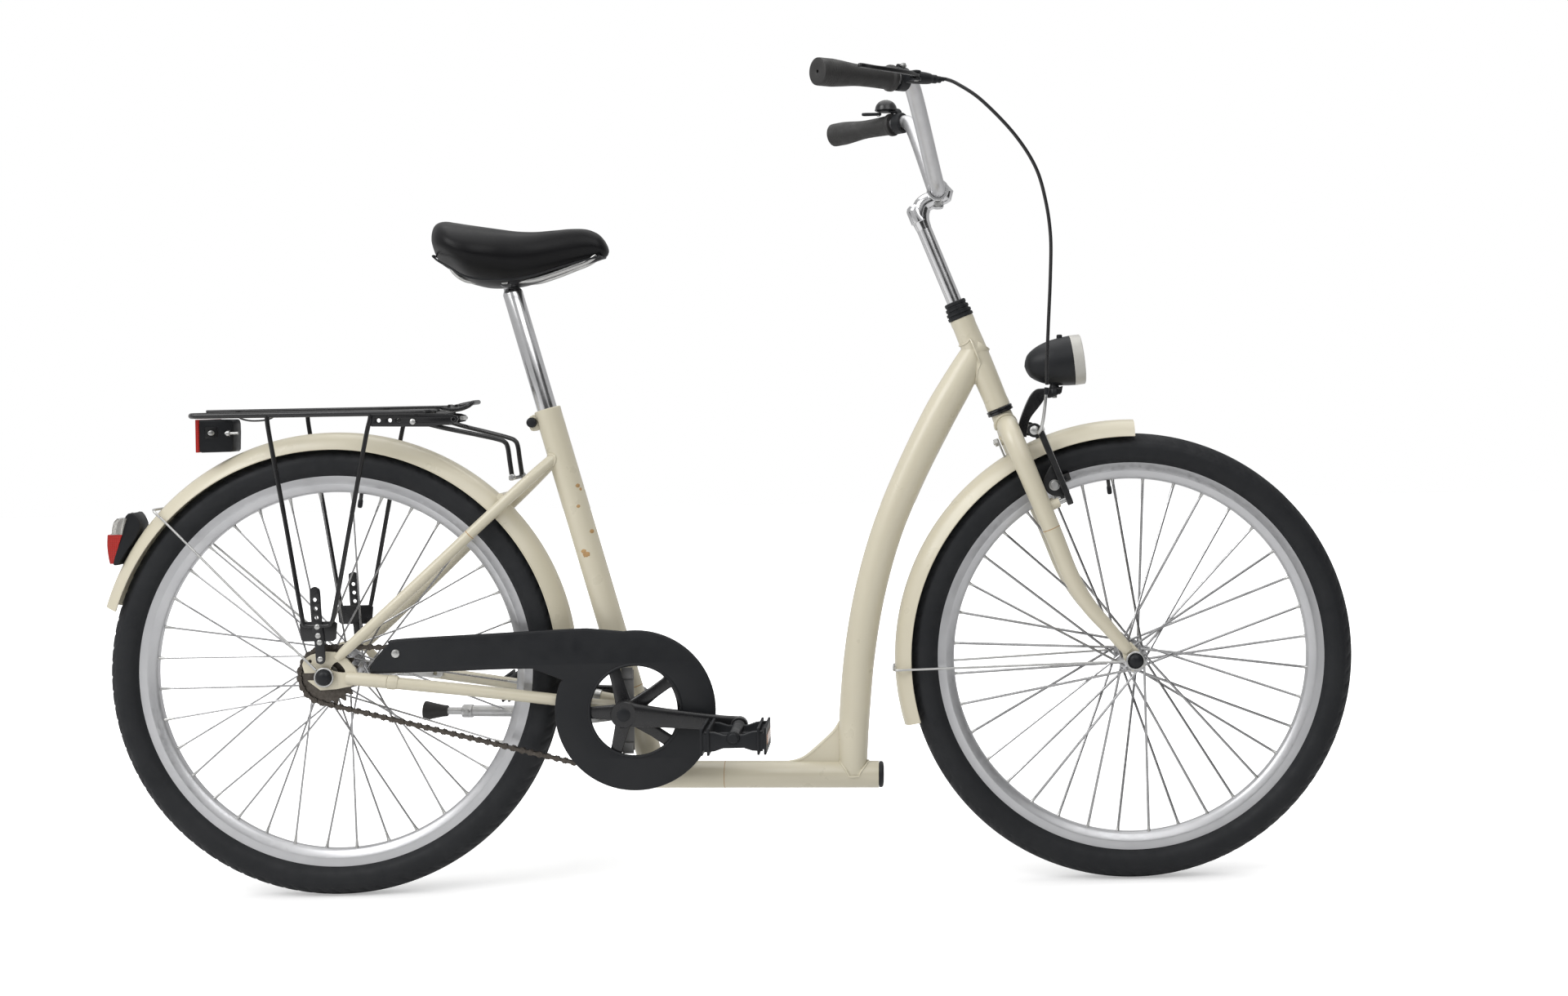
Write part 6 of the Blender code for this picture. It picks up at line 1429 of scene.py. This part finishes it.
# Sections along the saddle: forward, lower edge, crown, and half the width.
SADDLE_LINE = [
    (151.5, 945, 962, 14), (154, 931, 970, 32), (160, 918, 975.6, 52), (171, 909, 977.4, 70),
    (187, 900, 975, 83), (206, 887, 971.6, 88), (226, 881, 968.4, 86), (250, 880, 964.8, 76),
    (274, 881.5, 961.8, 62), (300, 888, 961.2, 48), (326, 897.5, 963.4, 37), (350, 906, 965.4, 29),
    (370, 912.5, 964.4, 24.5), (386, 917.5, 958.4, 21.5), (395, 921, 949.6, 18), (400, 925, 941, 12),
    (402, 929, 935.5, 6)
]


def saddle_surface():
    """Along the saddle and round its section: a rounded crown, and sides that swell and then draw in."""
    rows = flowing(SADDLE_LINE, 8)
    x, low, high, half = (rows[:, i : i + 1] for i in range(4))
    turn = full_turn(96)[None, :]
    side, height = np.cos(turn), np.sin(turn)
    upper = np.clip(height, 0, 1)
    across = np.sign(side) * np.abs(side) ** 0.72
    swell = 1.0 + 0.05 * np.exp(-(((height - 0.1) / 0.35) ** 2))
    drawn = 1 - 0.42 * np.clip(-height, 0, 1) ** 0.8
    y = half * across * swell * drawn
    crown = np.sign(height) * np.abs(height) ** np.where(height > 0, 0.78, 0.7)
    middle = low + (high - low) * 0.46
    z = middle + np.where(crown > 0, (high - middle) * crown, (middle - low) * crown)
    groove = np.exp(-((y / (0.10 * half + 5)) ** 2))
    groove = groove * np.clip((x - 172) / 24, 0, 1) * np.clip((374 - x) / 40, 0, 1)
    z = z - 3.2 * groove * upper
    flare = 9.0 * np.exp(-(((x - 176) / 34) ** 2)) * upper**2 * np.abs(across) ** 2
    z = z - flare * 0.55
    points = np.stack([x + 0 * y, y, z], axis=-1)
    return points.reshape(-1, 3), grid_faces(len(rows), 96, ends=True)


saddle_cover = piece("saddle", "seat", [VINYL, saddle_surface()], 70, name="saddle_cover")

rows = flowing(SADDLE_LINE, 6)
rows = rows[(rows[:, 0] > 158) & (rows[:, 0] < 396)]
skirt_low = rows[:, 1] + (rows[:, 2] - rows[:, 1]) * 0.10
skirt_half = rows[:, 3] * 0.86
right_line = np.stack([rows[:, 0], -skirt_half, skirt_low], axis=1)
left_line = right_line[::-1] * (1, -1, 1)
piping_route = flowing(np.concatenate([right_line[::3], left_line[::3]]), 3, closed=True)
base_shapes = [BLACK_PLASTIC, along(piping_route, 1.5, 12, UP, closed=True)]
piece(None, "seat", base_shapes, name="saddle_welt")

RAIL_Z = 889.0
RAIL = [
    (386, 13, 926), (379, 13.3, 920), (368, 14.4, 914), (350, 16.6, 907.5), (328, 19.4, 899.5),
    (300, 22, 891), (280, 22.4, RAIL_Z), (255, 22.6, RAIL_Z), (212, 23, RAIL_Z), (196, 25, 893),
    (185, 28, 902), (178, 30, 914), (174, 31, 926)
]
clamp_at = seat(198)
side_clamp = (257, 0, 890)
rail_shapes = []
for way in (-1, 1):
    run = flowing([(x, way * y, z) for x, y, z in RAIL], 6)
    rail_shapes += [ZINC, along(run, 3.6, 18)]
    side_cap = [(0, 29.5), (6, 29.5), (9, 28), (10.5, 25), (10.5, 16.5), (0, 16.5)]
    rail_shapes += [BLACK_ENAMEL, spun(side_cap, side_clamp, steps=36, way=way)]
    hexagon = [(0, 35), (2.6, 35), (3, 34.2), (6.4, 33.8), (6.8, 33.2), (6.8, 29.4), (0, 29.4)]
    rail_shapes += [ZINC, spun(hexagon, side_clamp, steps=6, way=way)]
collar = [(11.4, -8), (15, -8), (16.2, -6.8), (16.2, 6.4), (15, 8), (11.4, 8)]
rail_shapes += [
    BLACK_ENAMEL, spun(collar, clamp_at, SEAT_UP, 48, closed=True),
    rod((257, -17, 890), (257, 17, 890), 4, 8.6, 28)
]
piece("saddle_rails", "seat", rail_shapes)
post_profile = [
    (8.6, 206), (10.4, 206), (11, 205.4), (11, 185), (11.4, 182.6), (13.4, 179), (14.3, 176.6), (14.3, -149),
    (13.8, -150), (12.2, -150), (12.2, 172), (8.6, 178)
]
post_shapes = [CHROME, spun(post_profile, SEAT_TOP, SEAT_UP, 56, closed=True)]
piece("seatpost", "seat", post_shapes)


# Drive: forged black cranks, the right one with five arms to a black chainring; a bushed roller chain
# to the rear sprocket; and a moulded black chain guard with a round window.

PITCH = 12.7
CHAIN_Y = -47.0
FRONT_TEETH, REAR_TEETH, LINKS = 44, 20, 100
front_r = PITCH / (2 * math.sin(math.pi / FRONT_TEETH))
rear_r = PITCH / (2 * math.sin(math.pi / REAR_TEETH))
spacing = math.hypot(bx, bz - AXLE_Z)
lean = math.asin((front_r - rear_r) / spacing)
slope = math.atan2(bz - AXLE_Z, bx)
top_way = slope + math.pi / 2 + lean
low_way_angle = slope - math.pi / 2 - lean


def chain_route(share):
    """Where the chain runs, by shares of its length: front arc, lower run, rear arc, upper run."""
    arc_front = front_r * (math.pi + 2 * lean)
    arc_rear = rear_r * (math.pi - 2 * lean)
    straight = spacing * math.cos(lean)
    s = share * (arc_front + arc_rear + 2 * straight)
    lower = s - arc_front
    rear = lower - straight
    upper = rear - arc_rear
    front_arc = on_circle(bx, bz, front_r, top_way - s / front_r)
    lower_run = on_circle(bx, bz, front_r, low_way_angle)
    lower_run = lower_run + on_circle(0, 0, lower, low_way_angle - math.pi / 2)
    rear_arc = on_circle(0, AXLE_Z, rear_r, low_way_angle - rear / rear_r)
    upper_run = on_circle(0, AXLE_Z, rear_r, top_way)
    upper_run = upper_run + on_circle(0, 0, upper, top_way - math.pi / 2)
    before = [(part < 0)[:, None] for part in (lower, rear, upper)]
    return np.select(before, [front_arc, lower_run, rear_arc], upper_run)


# Oiled chain steel: dark grey-brown, brighter on the plates' edges.
CHAIN_STEEL = finish(
    "chain_steel", (0.10, 0.088, 0.078), 0.9, 0.42, tint=(300, (0.055, 0.046, 0.038), (0.15, 0.135, 0.12)),
    gloss=(500, 0.32, 0.55)
)


def link_plates(starts, ends, y, half, waist, thick):
    """Figure-eight side plates, all at once: an outline with two round ends and a drawn-in waist."""
    turn = full_turn(20)
    u = np.cos(turn)
    v = np.sin(turn)
    body = (ends - starts) / 2
    length = np.linalg.norm(body, axis=1, keepdims=True)
    heading = body / length
    across = np.stack([-heading[:, 1], heading[:, 0]], axis=1)
    middle = (starts + ends) / 2
    reach = (length[:, :1] + half) * np.sign(u) * np.abs(u) ** 0.8
    width = v * np.where(np.abs(u) < 0.45, waist, half)
    flat_points = middle[:, None] + heading[:, None] * reach[..., None]
    flat_points = flat_points + across[:, None] * width[None, :, None]
    low = in_plane(flat_points, y - thick / 2)
    high = low + (0, thick, 0)
    return np.stack([low, high], axis=1).reshape(-1, 3), prism_faces(len(starts), 20)


pins = chain_route(np.arange(LINKS) / LINKS)
after = np.roll(pins, -1, axis=0)
outer_links, inner_links = np.arange(0, LINKS, 2), np.arange(1, LINKS, 2)
chain_shapes = []
for links, y in ((outer_links, -3.3), (outer_links, 3.3), (inner_links, -2.1), (inner_links, 2.1)):
    chain_shapes += [CHAIN_STEEL, link_plates(pins[links], after[links], CHAIN_Y + y, 5.2, 2.3, 1)]
pin_spots = in_plane(pins, CHAIN_Y)
chain_shapes += [
    CHAIN_STEEL, bars_between(pin_spots - (0, 4.3, 0), pin_spots + (0, 4.3, 0), 1.8, 10),
    bars_between(pin_spots - (0, 1.6, 0), pin_spots + (0, 1.6, 0), 3.7, 12)
]
piece("chain", "frame", chain_shapes, name="chain_links")


def toothed_edge(teeth, radius, cx, cz, first):
    """Round the ring: seats at the chain's pins and teeth with pointed tips half way between them."""
    per_tooth = 10
    t = np.arange(teeth * per_tooth) / per_tooth
    wave = 0.5 - 0.5 * np.cos(2 * np.pi * t)
    rise = -4.0 + 7.6 * wave**1.3
    turn = first + t * 2 * np.pi / teeth
    return on_circle(cx, cz, radius + rise, turn)


ring_edge = toothed_edge(FRONT_TEETH, front_r, bx, bz, top_way)
ring = side_plate(ring_edge, CHAIN_Y - 1.2, CHAIN_Y + 1.2, [circle(bx, bz, 73, 96)], 0.35)
piece("chainring", "cranks", [BLACK_ENAMEL, ring])
links_before = (math.pi + 2 * lean) * FRONT_TEETH / (2 * math.pi) + spacing * math.cos(lean) / PITCH
first_rear = low_way_angle - (math.ceil(links_before) - links_before) * 2 * math.pi / REAR_TEETH
cog_edge = toothed_edge(REAR_TEETH, rear_r, 0, AXLE_Z, first_rear)
cog = side_plate(cog_edge, CHAIN_Y - 1.2, CHAIN_Y + 1.2, [circle(0, AXLE_Z, 14, 48)], 0.35)
driver = [
    (15.4, -34), (15.4, -44), (17.6, -44.6), (17.6, -45.6), (15.4, -48.2), (15.4, -50), (9.6, -50),
    (9.6, -45), (7.2, -44), (7.2, -34)
]
lock_ring = [(10, -48.2), (16.6, -48.2), (16.6, -49.6), (10, -49.6)]
cog_shapes = [
    CHAIN_STEEL, cog, spun(lock_ring, (0, 0, AXLE_Z), closed=True), ZINC,
    spun(driver, (0, 0, AXLE_Z), closed=True)
]
piece("rear_sprocket", "sprocket", cog_shapes)

CRANK_ANGLE = -6.2
CRANK_LENGTH = 165.0
crank_out, crank_up = rays(CRANK_ANGLE)


def forged_arm(way, up, distance, half, thick, y, power, sides):
    """Along an arm from the crank's axis and round it: a rounded square, cos and sin to a power below one."""
    turn = full_turn(sides)[None, :, None]
    square_c = np.sign(np.cos(turn)) * np.abs(np.cos(turn)) ** power
    square_s = np.sign(np.sin(turn)) * np.abs(np.sin(turn)) ** power
    stretch = distance[:, None, None]
    half, thick, y = (np.interp(stretch, spots, values) for spots, values in (half, thick, y))
    points = BRACKET + way * stretch + half * square_c * up + (thick * square_s + y) * (0, 1, 0)
    return points.reshape(-1, 3), grid_faces(len(distance), sides, ends=True)


def crank_arm(way, y_low, y_high):
    """A tapered arm from the boss to the pedal eye."""
    reach = -4 + (CRANK_LENGTH + 4) * np.linspace(0, 1, 60)
    half = ([-4, 20, 60, 140, 165], [18, 16, 13.6, 10.8, 11.6])
    thick = ([-4, 30, 150, 165], [6.4, 6.4, 5.6, 6.4])
    middle = ([-4, 165], [(y_low + y_high) / 2] * 2)
    return forged_arm(crank_out * way, crank_up, reach, half, thick, middle, 0.5, 36)


right_end = BRACKET + crank_out * CRANK_LENGTH
left_end = BRACKET - crank_out * CRANK_LENGTH
boss = [(8.3, -44.4), (17.4, -44.4), (19, -46), (19, -60), (19, -74.4), (17.8, -76), (11, -76), (8.3, -76)]
crank_shapes = [BLACK_ENAMEL, spun(boss, BRACKET, steps=56, closed=True), crank_arm(1, -76, -63)]
bolt_cap = [(0, -77.4), (7.6, -77.4), (9.4, -76.6), (10, -75), (0, -75)]
crank_shapes += [BLACK_PLASTIC, spun(bolt_cap, BRACKET, steps=36)]
eye = [(7.2, -67.6), (11, -67.6), (12.2, -68.6), (12.2, -78.8), (11, -80), (7.2, -80)]
crank_shapes += [BLACK_ENAMEL, spun(eye, right_end, steps=40, closed=True)]
for degrees in (105, 35, -35, -105, 180):
    spoke_way, across = rays(degrees)
    half = ([10, 24, 50, 70, 80], [12, 10.6, 8.6, 8.8, 11])
    thick = ([10, 40, 80], [5, 3.2, 2])
    middle = ([10, 50, 80], [-52, -51.4, -50.6])
    crank_shapes += [
        BLACK_ENAMEL, forged_arm(spoke_way, across, np.linspace(10, 80, 24), half, thick, middle, 0.6, 24)
    ]
    rivet = [(0, -53.6), (3, -53.5), (4.2, -52.8), (4.4, -51), (0, -51)]
    crank_shapes += [BLACK_ENAMEL, spun(rivet, BRACKET + spoke_way * 77, steps=20)]
piece("crank_right", "cranks", crank_shapes)
left_boss = [(8.2, 46), (15.6, 46), (17, 47.4), (17, 74.6), (15.6, 76), (8.2, 76)]
left_shapes = [BLACK_ENAMEL, spun(left_boss, BRACKET, steps=56, closed=True), crank_arm(-1, 63, 76)]
left_shapes += [BLACK_PLASTIC, spun(bolt_cap, BRACKET, steps=36, way=-1)]
left_shapes += [BLACK_ENAMEL, spun(eye, left_end, steps=40, closed=True, way=-1)]
spindle = [(0, 48), (8, 48), (8, 35), (9.5, 30), (9.5, -28), (8, -34), (8, -61), (0, -61)]
left_shapes += [ZINC, spun(spindle, BRACKET, steps=36)]
piece("crank_left", "cranks", left_shapes)

GUARD_Y = -56.0
GUARD_CENTRE = (438.6, 268.8)
disc = circle(*GUARD_CENTRE, 112.5, 72, math.radians(98), math.radians(-205))
guard_tail = flowing([
    (337, 316.4), (300, 331), (279, 334), (180, 332.5), (72, 331.2), (65.5, 333), (64.6, 338), (74, 352),
    (90, 369), (102, 375), (220, 380), (350, 385), (380, 384.6), (410, 380)
], 4)
guard_edge = np.concatenate([disc, guard_tail[6:-3]])
window = circle(*GUARD_CENTRE, 66, 72)
guard_shapes = [
    BLACK_PLASTIC, side_plate(guard_edge, GUARD_Y - 1.4, GUARD_Y + 1.2, [window], 0.9),
    along(in_plane(guard_edge, GUARD_Y + 1.4), 2.6, 12, closed=True),
    along(in_plane(window, GUARD_Y - 0.4), 2.2, 12, closed=True)
]
guard_shapes += [ZINC, side_plate([(90, 364), (108, 364), (108, 328), (90, 328)], -55.4, -52.8, edge=0.5)]
guard_bolt = [(0, -59.8), (3.2, -59.8), (5.6, -59), (6.4, -57.8), (6.4, -57.2), (0, -57.2)]
guard_shapes += [ZINC, spun(guard_bolt, (99, 0, 357), steps=32)]
piece("chain_guard", "frame", guard_shapes)


# Pedals: moulded black bodies with toothed treads, an amber reflector on the front and the back of the
# cage, and a steel spindle that screws into the crank.

# Amber reflector plastic with a fine grid of prisms.
AMBER = finish("amber_reflector", (0.55, 0.20, 0.02), 0, 0.15)
pressed_cells(AMBER, 380, colours=((0.42, 0.16, 0.03), (0.20, 0.06, 0.01)))


def pedal_shapes(centre, way):
    """A barrel round the spindle, two toothed treads, two end plates with bars, and reflectors."""
    barrel = [
        (0, 84), (8.2, 84), (9.4, 85.4), (9.4, 92), (8.4, 96), (8, 128), (8.4, 160), (9.4, 164), (9.4, 168),
        (8.2, 170), (0, 170)
    ]
    shapes = [BLACK_PLASTIC, spun(barrel, centre, steps=36, way=way)]
    dust_cap = [(0, 172), (5.6, 171.8), (7, 170.6), (7, 168), (0, 168)]
    shapes += [BLACK_PLASTIC, spun(dust_cap, centre, steps=30, way=way)]
    spindle = [(0, 70), (6.9, 70), (6.9, 80.4), (8.4, 80.6), (8.4, 84.4), (0, 84.4)]
    shapes += [ZINC, spun(spindle, centre, steps=24, way=way)]
    middle = centre + (0, way * 128, -5.3)
    teeth = np.arange(13)
    tread = [(-42, -15.5)]
    for k in teeth:
        tread += [(-42 + k * 6.6 + 1.2, -18.5), (-42 + k * 6.6 + 3, -18.5), (-42 + k * 6.6 + 4.2, -15.5)]
    tread = [(a, b) for a, b in tread if a < 42]
    outline = tread + [(42, -15.5)] + [(a, -b) for a, b in tread[::-1]] + [(-42, 15.5)]
    for x in (-39, 39):
        for off in (-4.6, 4.6):
            wall = sheet_cut(outline[:-1], (), 3.4, middle + (x + off, 0, 0), (0, 1, 0), UP, 0.5)
            shapes += [BLACK_PLASTIC, wall]
        core = sheet_cut(
            [(-41, -11), (41, -11), (41, 11), (-41, 11)], (), 7, middle + (x, 0, 0), (0, 1, 0), UP, 0.4
        )
        shapes += [BLACK_PLASTIC, core]
        glow = sheet_cut(
            [(-30, -6.4), (30, -6.4), (30, 6.4), (-30, 6.4)], (), 1.2, middle + (x * 1.165, 0, 0), (0, 1, 0),
            UP, 0.3
        )
        shapes += [AMBER, glow]
    half_end = [(-40, -14), (-26, -13), (-14, -9), (14, -9), (26, -13), (40, -14)]
    end_edge = flowing(half_end + [(x, -z) for x, z in half_end[::-1]], 1)
    for y in (-36, 36):
        end = sheet_cut(end_edge, (), 7.6, middle + (0, y, 0), (1, 0, 0), UP, 1.2)
        shapes += [BLACK_PLASTIC, end]
    for y in (-14, 14):
        shapes += [BLACK_PLASTIC, rod(middle + (-38, y, 0), middle + (38, y, 0), 4, 3.2, 14)]
    return shapes


piece("pedal_right", "right_pedal", pedal_shapes(right_end, -1))
piece("pedal_left", "left_pedal", pedal_shapes(left_end, 1))


# Kickstand: an adjustable alloy leg on a bracket under the left chain stay, folded back along it,
# with a clamp bolt part way down and a flared black rubber foot.

STAND_PIVOT = np.array([362, 47, 250])
STAND_AXIS = unit([-0.14, 1, 0.148])
FOOT = np.array([107, 61, 254])
leg_way = unit(FOOT - STAND_PIVOT)
leg_length = float(np.linalg.norm(FOOT - STAND_PIVOT))
bracket_edge = flowing([
    (339, 266), (350, 240), (358, 236), (372, 237), (396, 240), (403, 246), (403, 262), (396, 268), (366, 267)
], 2, closed=True)
bracket_shapes = [ZINC, side_plate(bracket_edge, 29, 34, edge=1)]
pin_profile = [(0, -16), (5, -16), (5, 9), (7.4, 9), (8, 9.8), (8, 11.4), (7, 12.4), (0, 12.4)]
bracket_shapes += [ZINC, spun(pin_profile, STAND_PIVOT, STAND_AXIS, 32)]
stay_clamp = np.linspace((345, 33.5, 279.5), (375, 31, 274.5), 6)
bracket_shapes += [ZINC, along(stay_clamp, (10.2, 10.6, 10.6, 10.6, 10.6, 10.2), 32)]
piece("kickstand_bracket", "frame", bracket_shapes)

# Tumbled cast alloy: pale grey, satin, a little uneven.
CAST = finish(
    "cast_alloy", (0.56, 0.56, 0.56), 0.9, 0.42, tint=(45, (0.48, 0.48, 0.48), (0.64, 0.64, 0.64)),
    gloss=(160, 0.36, 0.52)
)
eye_ring = [(5.5, -10), (9.8, -10), (11, -8.8), (11, 5.8), (9.8, 7), (5.5, 7)]
leg_shapes = [CAST, spun(eye_ring, STAND_PIVOT, STAND_AXIS, 44, closed=True)]
inner_leg = [(0, 8), (6.8, 8), (8.2, 14), (8.2, 186), (0, 186)]
leg_shapes += [CAST, spun(inner_leg, STAND_PIVOT, leg_way, 36)]
clamp = [(0, 182), (8.8, 182), (9.8, 183.2), (9.8, 196.8), (8.8, 198), (0, 198)]
leg_shapes += [CAST, spun(clamp, STAND_PIVOT, leg_way, 40)]
slider = [(0, 190), (5.4, 190), (5.4, leg_length - 30), (0, leg_length - 30)]
leg_shapes += [CAST, spun(slider, STAND_PIVOT, leg_way, 36)]
leg_bolt_at = STAND_PIVOT + leg_way * 190
leg_bolt = [(0, -13), (3, -13), (4.6, -12), (4.6, -8.6), (0, -8.6)]
leg_shapes += [ZINC, spun(leg_bolt, leg_bolt_at, (0, 1, 0), 6)]
L = leg_length
rubber_foot = [
    (0, L - 35), (7.6, L - 35), (8.4, L - 34), (8.8, L - 28), (11.6, L - 14), (14.4, L - 2.4),
    (14.2, L - 0.6), (13.2, L), (0, L)
]
leg_shapes += [GRIP_RUBBER, spun(rubber_foot, STAND_PIVOT, leg_way, 40)]
piece("kickstand_leg", "kickstand", leg_shapes)


# Studio: a pale sweep of floor, a white surround that glossy metal also sees, and broad soft lamps.
# Two black cards stand where only reflections show them, and the camera stands beside the chain.

def ground_paper():
    """White paper floor: bright to the camera, with the bicycle's soft shadow kept."""
    made = finish("white_paper", (0.86, 0.86, 0.86), 0, 0.9)
    tree = made.node_tree
    shader = tree.nodes["Principled BSDF"]
    path = node(tree, "ShaderNodeLightPath")
    glow = node(tree, "ShaderNodeEmission", in_Color=(1, 1, 1, 1), in_Strength=1)
    add = node(tree, "ShaderNodeAddShader")
    place = node(tree, "ShaderNodeTexCoord")
    stretch = node(tree, "ShaderNodeVectorMath", operation="MULTIPLY")
    stretch.inputs[1].default_value = (0.9, 1.6, 0)
    distance = node(tree, "ShaderNodeVectorMath", operation="LENGTH")
    gain = node(tree, "ShaderNodeMapRange")
    gain.inputs["From Min"].default_value = 0.6
    gain.inputs["From Max"].default_value = 1.7
    gain.inputs["To Min"].default_value = 0.34
    gain.inputs["To Max"].default_value = 1.0
    seen = node(tree, "ShaderNodeMath", operation="MULTIPLY")
    tree.links.new(place.outputs["Object"], stretch.inputs[0])
    tree.links.new(stretch.outputs["Vector"], distance.inputs[0])
    tree.links.new(distance.outputs["Value"], gain.inputs["Value"])
    tree.links.new(gain.outputs["Result"], seen.inputs[0])
    tree.links.new(path.outputs["Is Camera Ray"], seen.inputs[1])
    tree.links.new(seen.outputs["Value"], glow.inputs["Strength"])
    output = tree.nodes["Material Output"]
    tree.links.new(shader.outputs["BSDF"], add.inputs[0])
    tree.links.new(glow.outputs["Emission"], add.inputs[1])
    tree.links.new(add.outputs["Shader"], output.inputs["Surface"])
    return made


floor_mesh = bpy.data.meshes.new("studio_floor")
floor_mesh.from_pydata([(-9, -7, 0), (9, -7, 0), (9, 9, 0), (-9, 9, 0)], [], [(0, 1, 2, 3)])
floor_mesh.materials.append(ground_paper())
studio_floor = bpy.data.objects.new("studio_floor", floor_mesh)
studio_floor.location = (0, 0, -0.0005)
bpy.context.scene.collection.objects.link(studio_floor)

# Matt black cloth of the two cards, which darkens what glossy pieces mirror.
FLAG_BLACK = finish("flag_cloth", (0.02, 0.02, 0.02), 0, 0.9)
FLAGS = [
    ("flag_right", [(1.9, -2.4, 0), (1.9, -0.2, 0), (1.9, -0.2, 1.9), (1.9, -2.4, 1.9)]),
    ("flag_behind_camera", [(-1.2, -3.4, 0), (1.9, -3.4, 0), (1.9, -3.4, 1.3), (-1.2, -3.4, 1.3)])
]
for flag_name, corners in FLAGS:
    flag_mesh = bpy.data.meshes.new(flag_name)
    flag_mesh.from_pydata(corners, [], [(0, 1, 2, 3)])
    flag_mesh.materials.append(FLAG_BLACK)
    flag = bpy.data.objects.new(flag_name, flag_mesh)
    bpy.context.scene.collection.objects.link(flag)
    flag.visible_camera = False
    flag.visible_shadow = False

world = bpy.data.worlds.new("studio")
world.use_nodes = True
sky = world.node_tree
back = sky.nodes["Background"]
back.inputs["Color"].default_value = (1, 1, 1, 1)
back.inputs["Strength"].default_value = 0.55
light_path = node(sky, "ShaderNodeLightPath")
seen = node(sky, "ShaderNodeBackground", in_Color=(1, 1, 1, 1), in_Strength=1)
choice = node(sky, "ShaderNodeMixShader")
sky.links.new(light_path.outputs["Is Camera Ray"], choice.inputs[0])
sky.links.new(back.outputs["Background"], choice.inputs[1])
sky.links.new(seen.outputs["Background"], choice.inputs[2])
sky.links.new(choice.outputs["Shader"], sky.nodes["World Output"].inputs["Surface"])
bpy.context.scene.world = world

# Each lamp: its name, its place, what it points at, its side in metres and its power in watts.
LAMPS = [
    ("key_window", (-2.6, -2.2, 3), (0, 0, 0.6), 2.4, 78),
    ("fill_window", (1.2, -2.6, 3), (0.1, 0, 0.6), 2.4, 34), ("overhead", (0, 0.4, 3.4), (0, 0, 0.5), 3, 40)
]
for lamp_name, spot, aim, size, power in LAMPS:
    data = bpy.data.lights.new(lamp_name, "AREA")
    data.shape = "SQUARE"
    data.size = size
    data.energy = power
    made = bpy.data.objects.new(lamp_name, data)
    made.location = spot
    made.rotation_euler = (Vector(aim) - Vector(spot)).to_track_quat("-Z", "Y").to_euler()
    bpy.context.scene.collection.objects.link(made)

# The camera stands on the bicycle's right, turned and tipped by about a degree.
CAMERA_PLACE = (0.2527, -2.5713, 0.7149)
YAW, PITCH_DOWN, ROLL = math.radians(1.133), math.radians(-0.209), math.radians(-0.930)
ahead = Vector((
    math.sin(YAW) * math.cos(PITCH_DOWN), math.cos(YAW) * math.cos(PITCH_DOWN), math.sin(PITCH_DOWN)
))
level_right = Vector((math.cos(YAW), -math.sin(YAW), 0))
level_up = level_right.cross(ahead)
cam_right = math.cos(ROLL) * level_right + math.sin(ROLL) * level_up
cam_up = -math.sin(ROLL) * level_right + math.cos(ROLL) * level_up
camera_data = bpy.data.cameras.new("camera")
camera_data.sensor_width = 36.0
camera_data.lens = 40.2
camera_data.shift_x = -0.0973
camera_data.shift_y = -0.0621
camera = bpy.data.objects.new("camera", camera_data)
turn_matrix = Matrix((cam_right, cam_up, -ahead)).transposed()
camera.matrix_world = Matrix.Translation(CAMERA_PLACE) @ turn_matrix.to_4x4()
bpy.context.scene.collection.objects.link(camera)
bpy.context.scene.camera = camera
bpy.context.scene.view_settings.view_transform = "Standard"
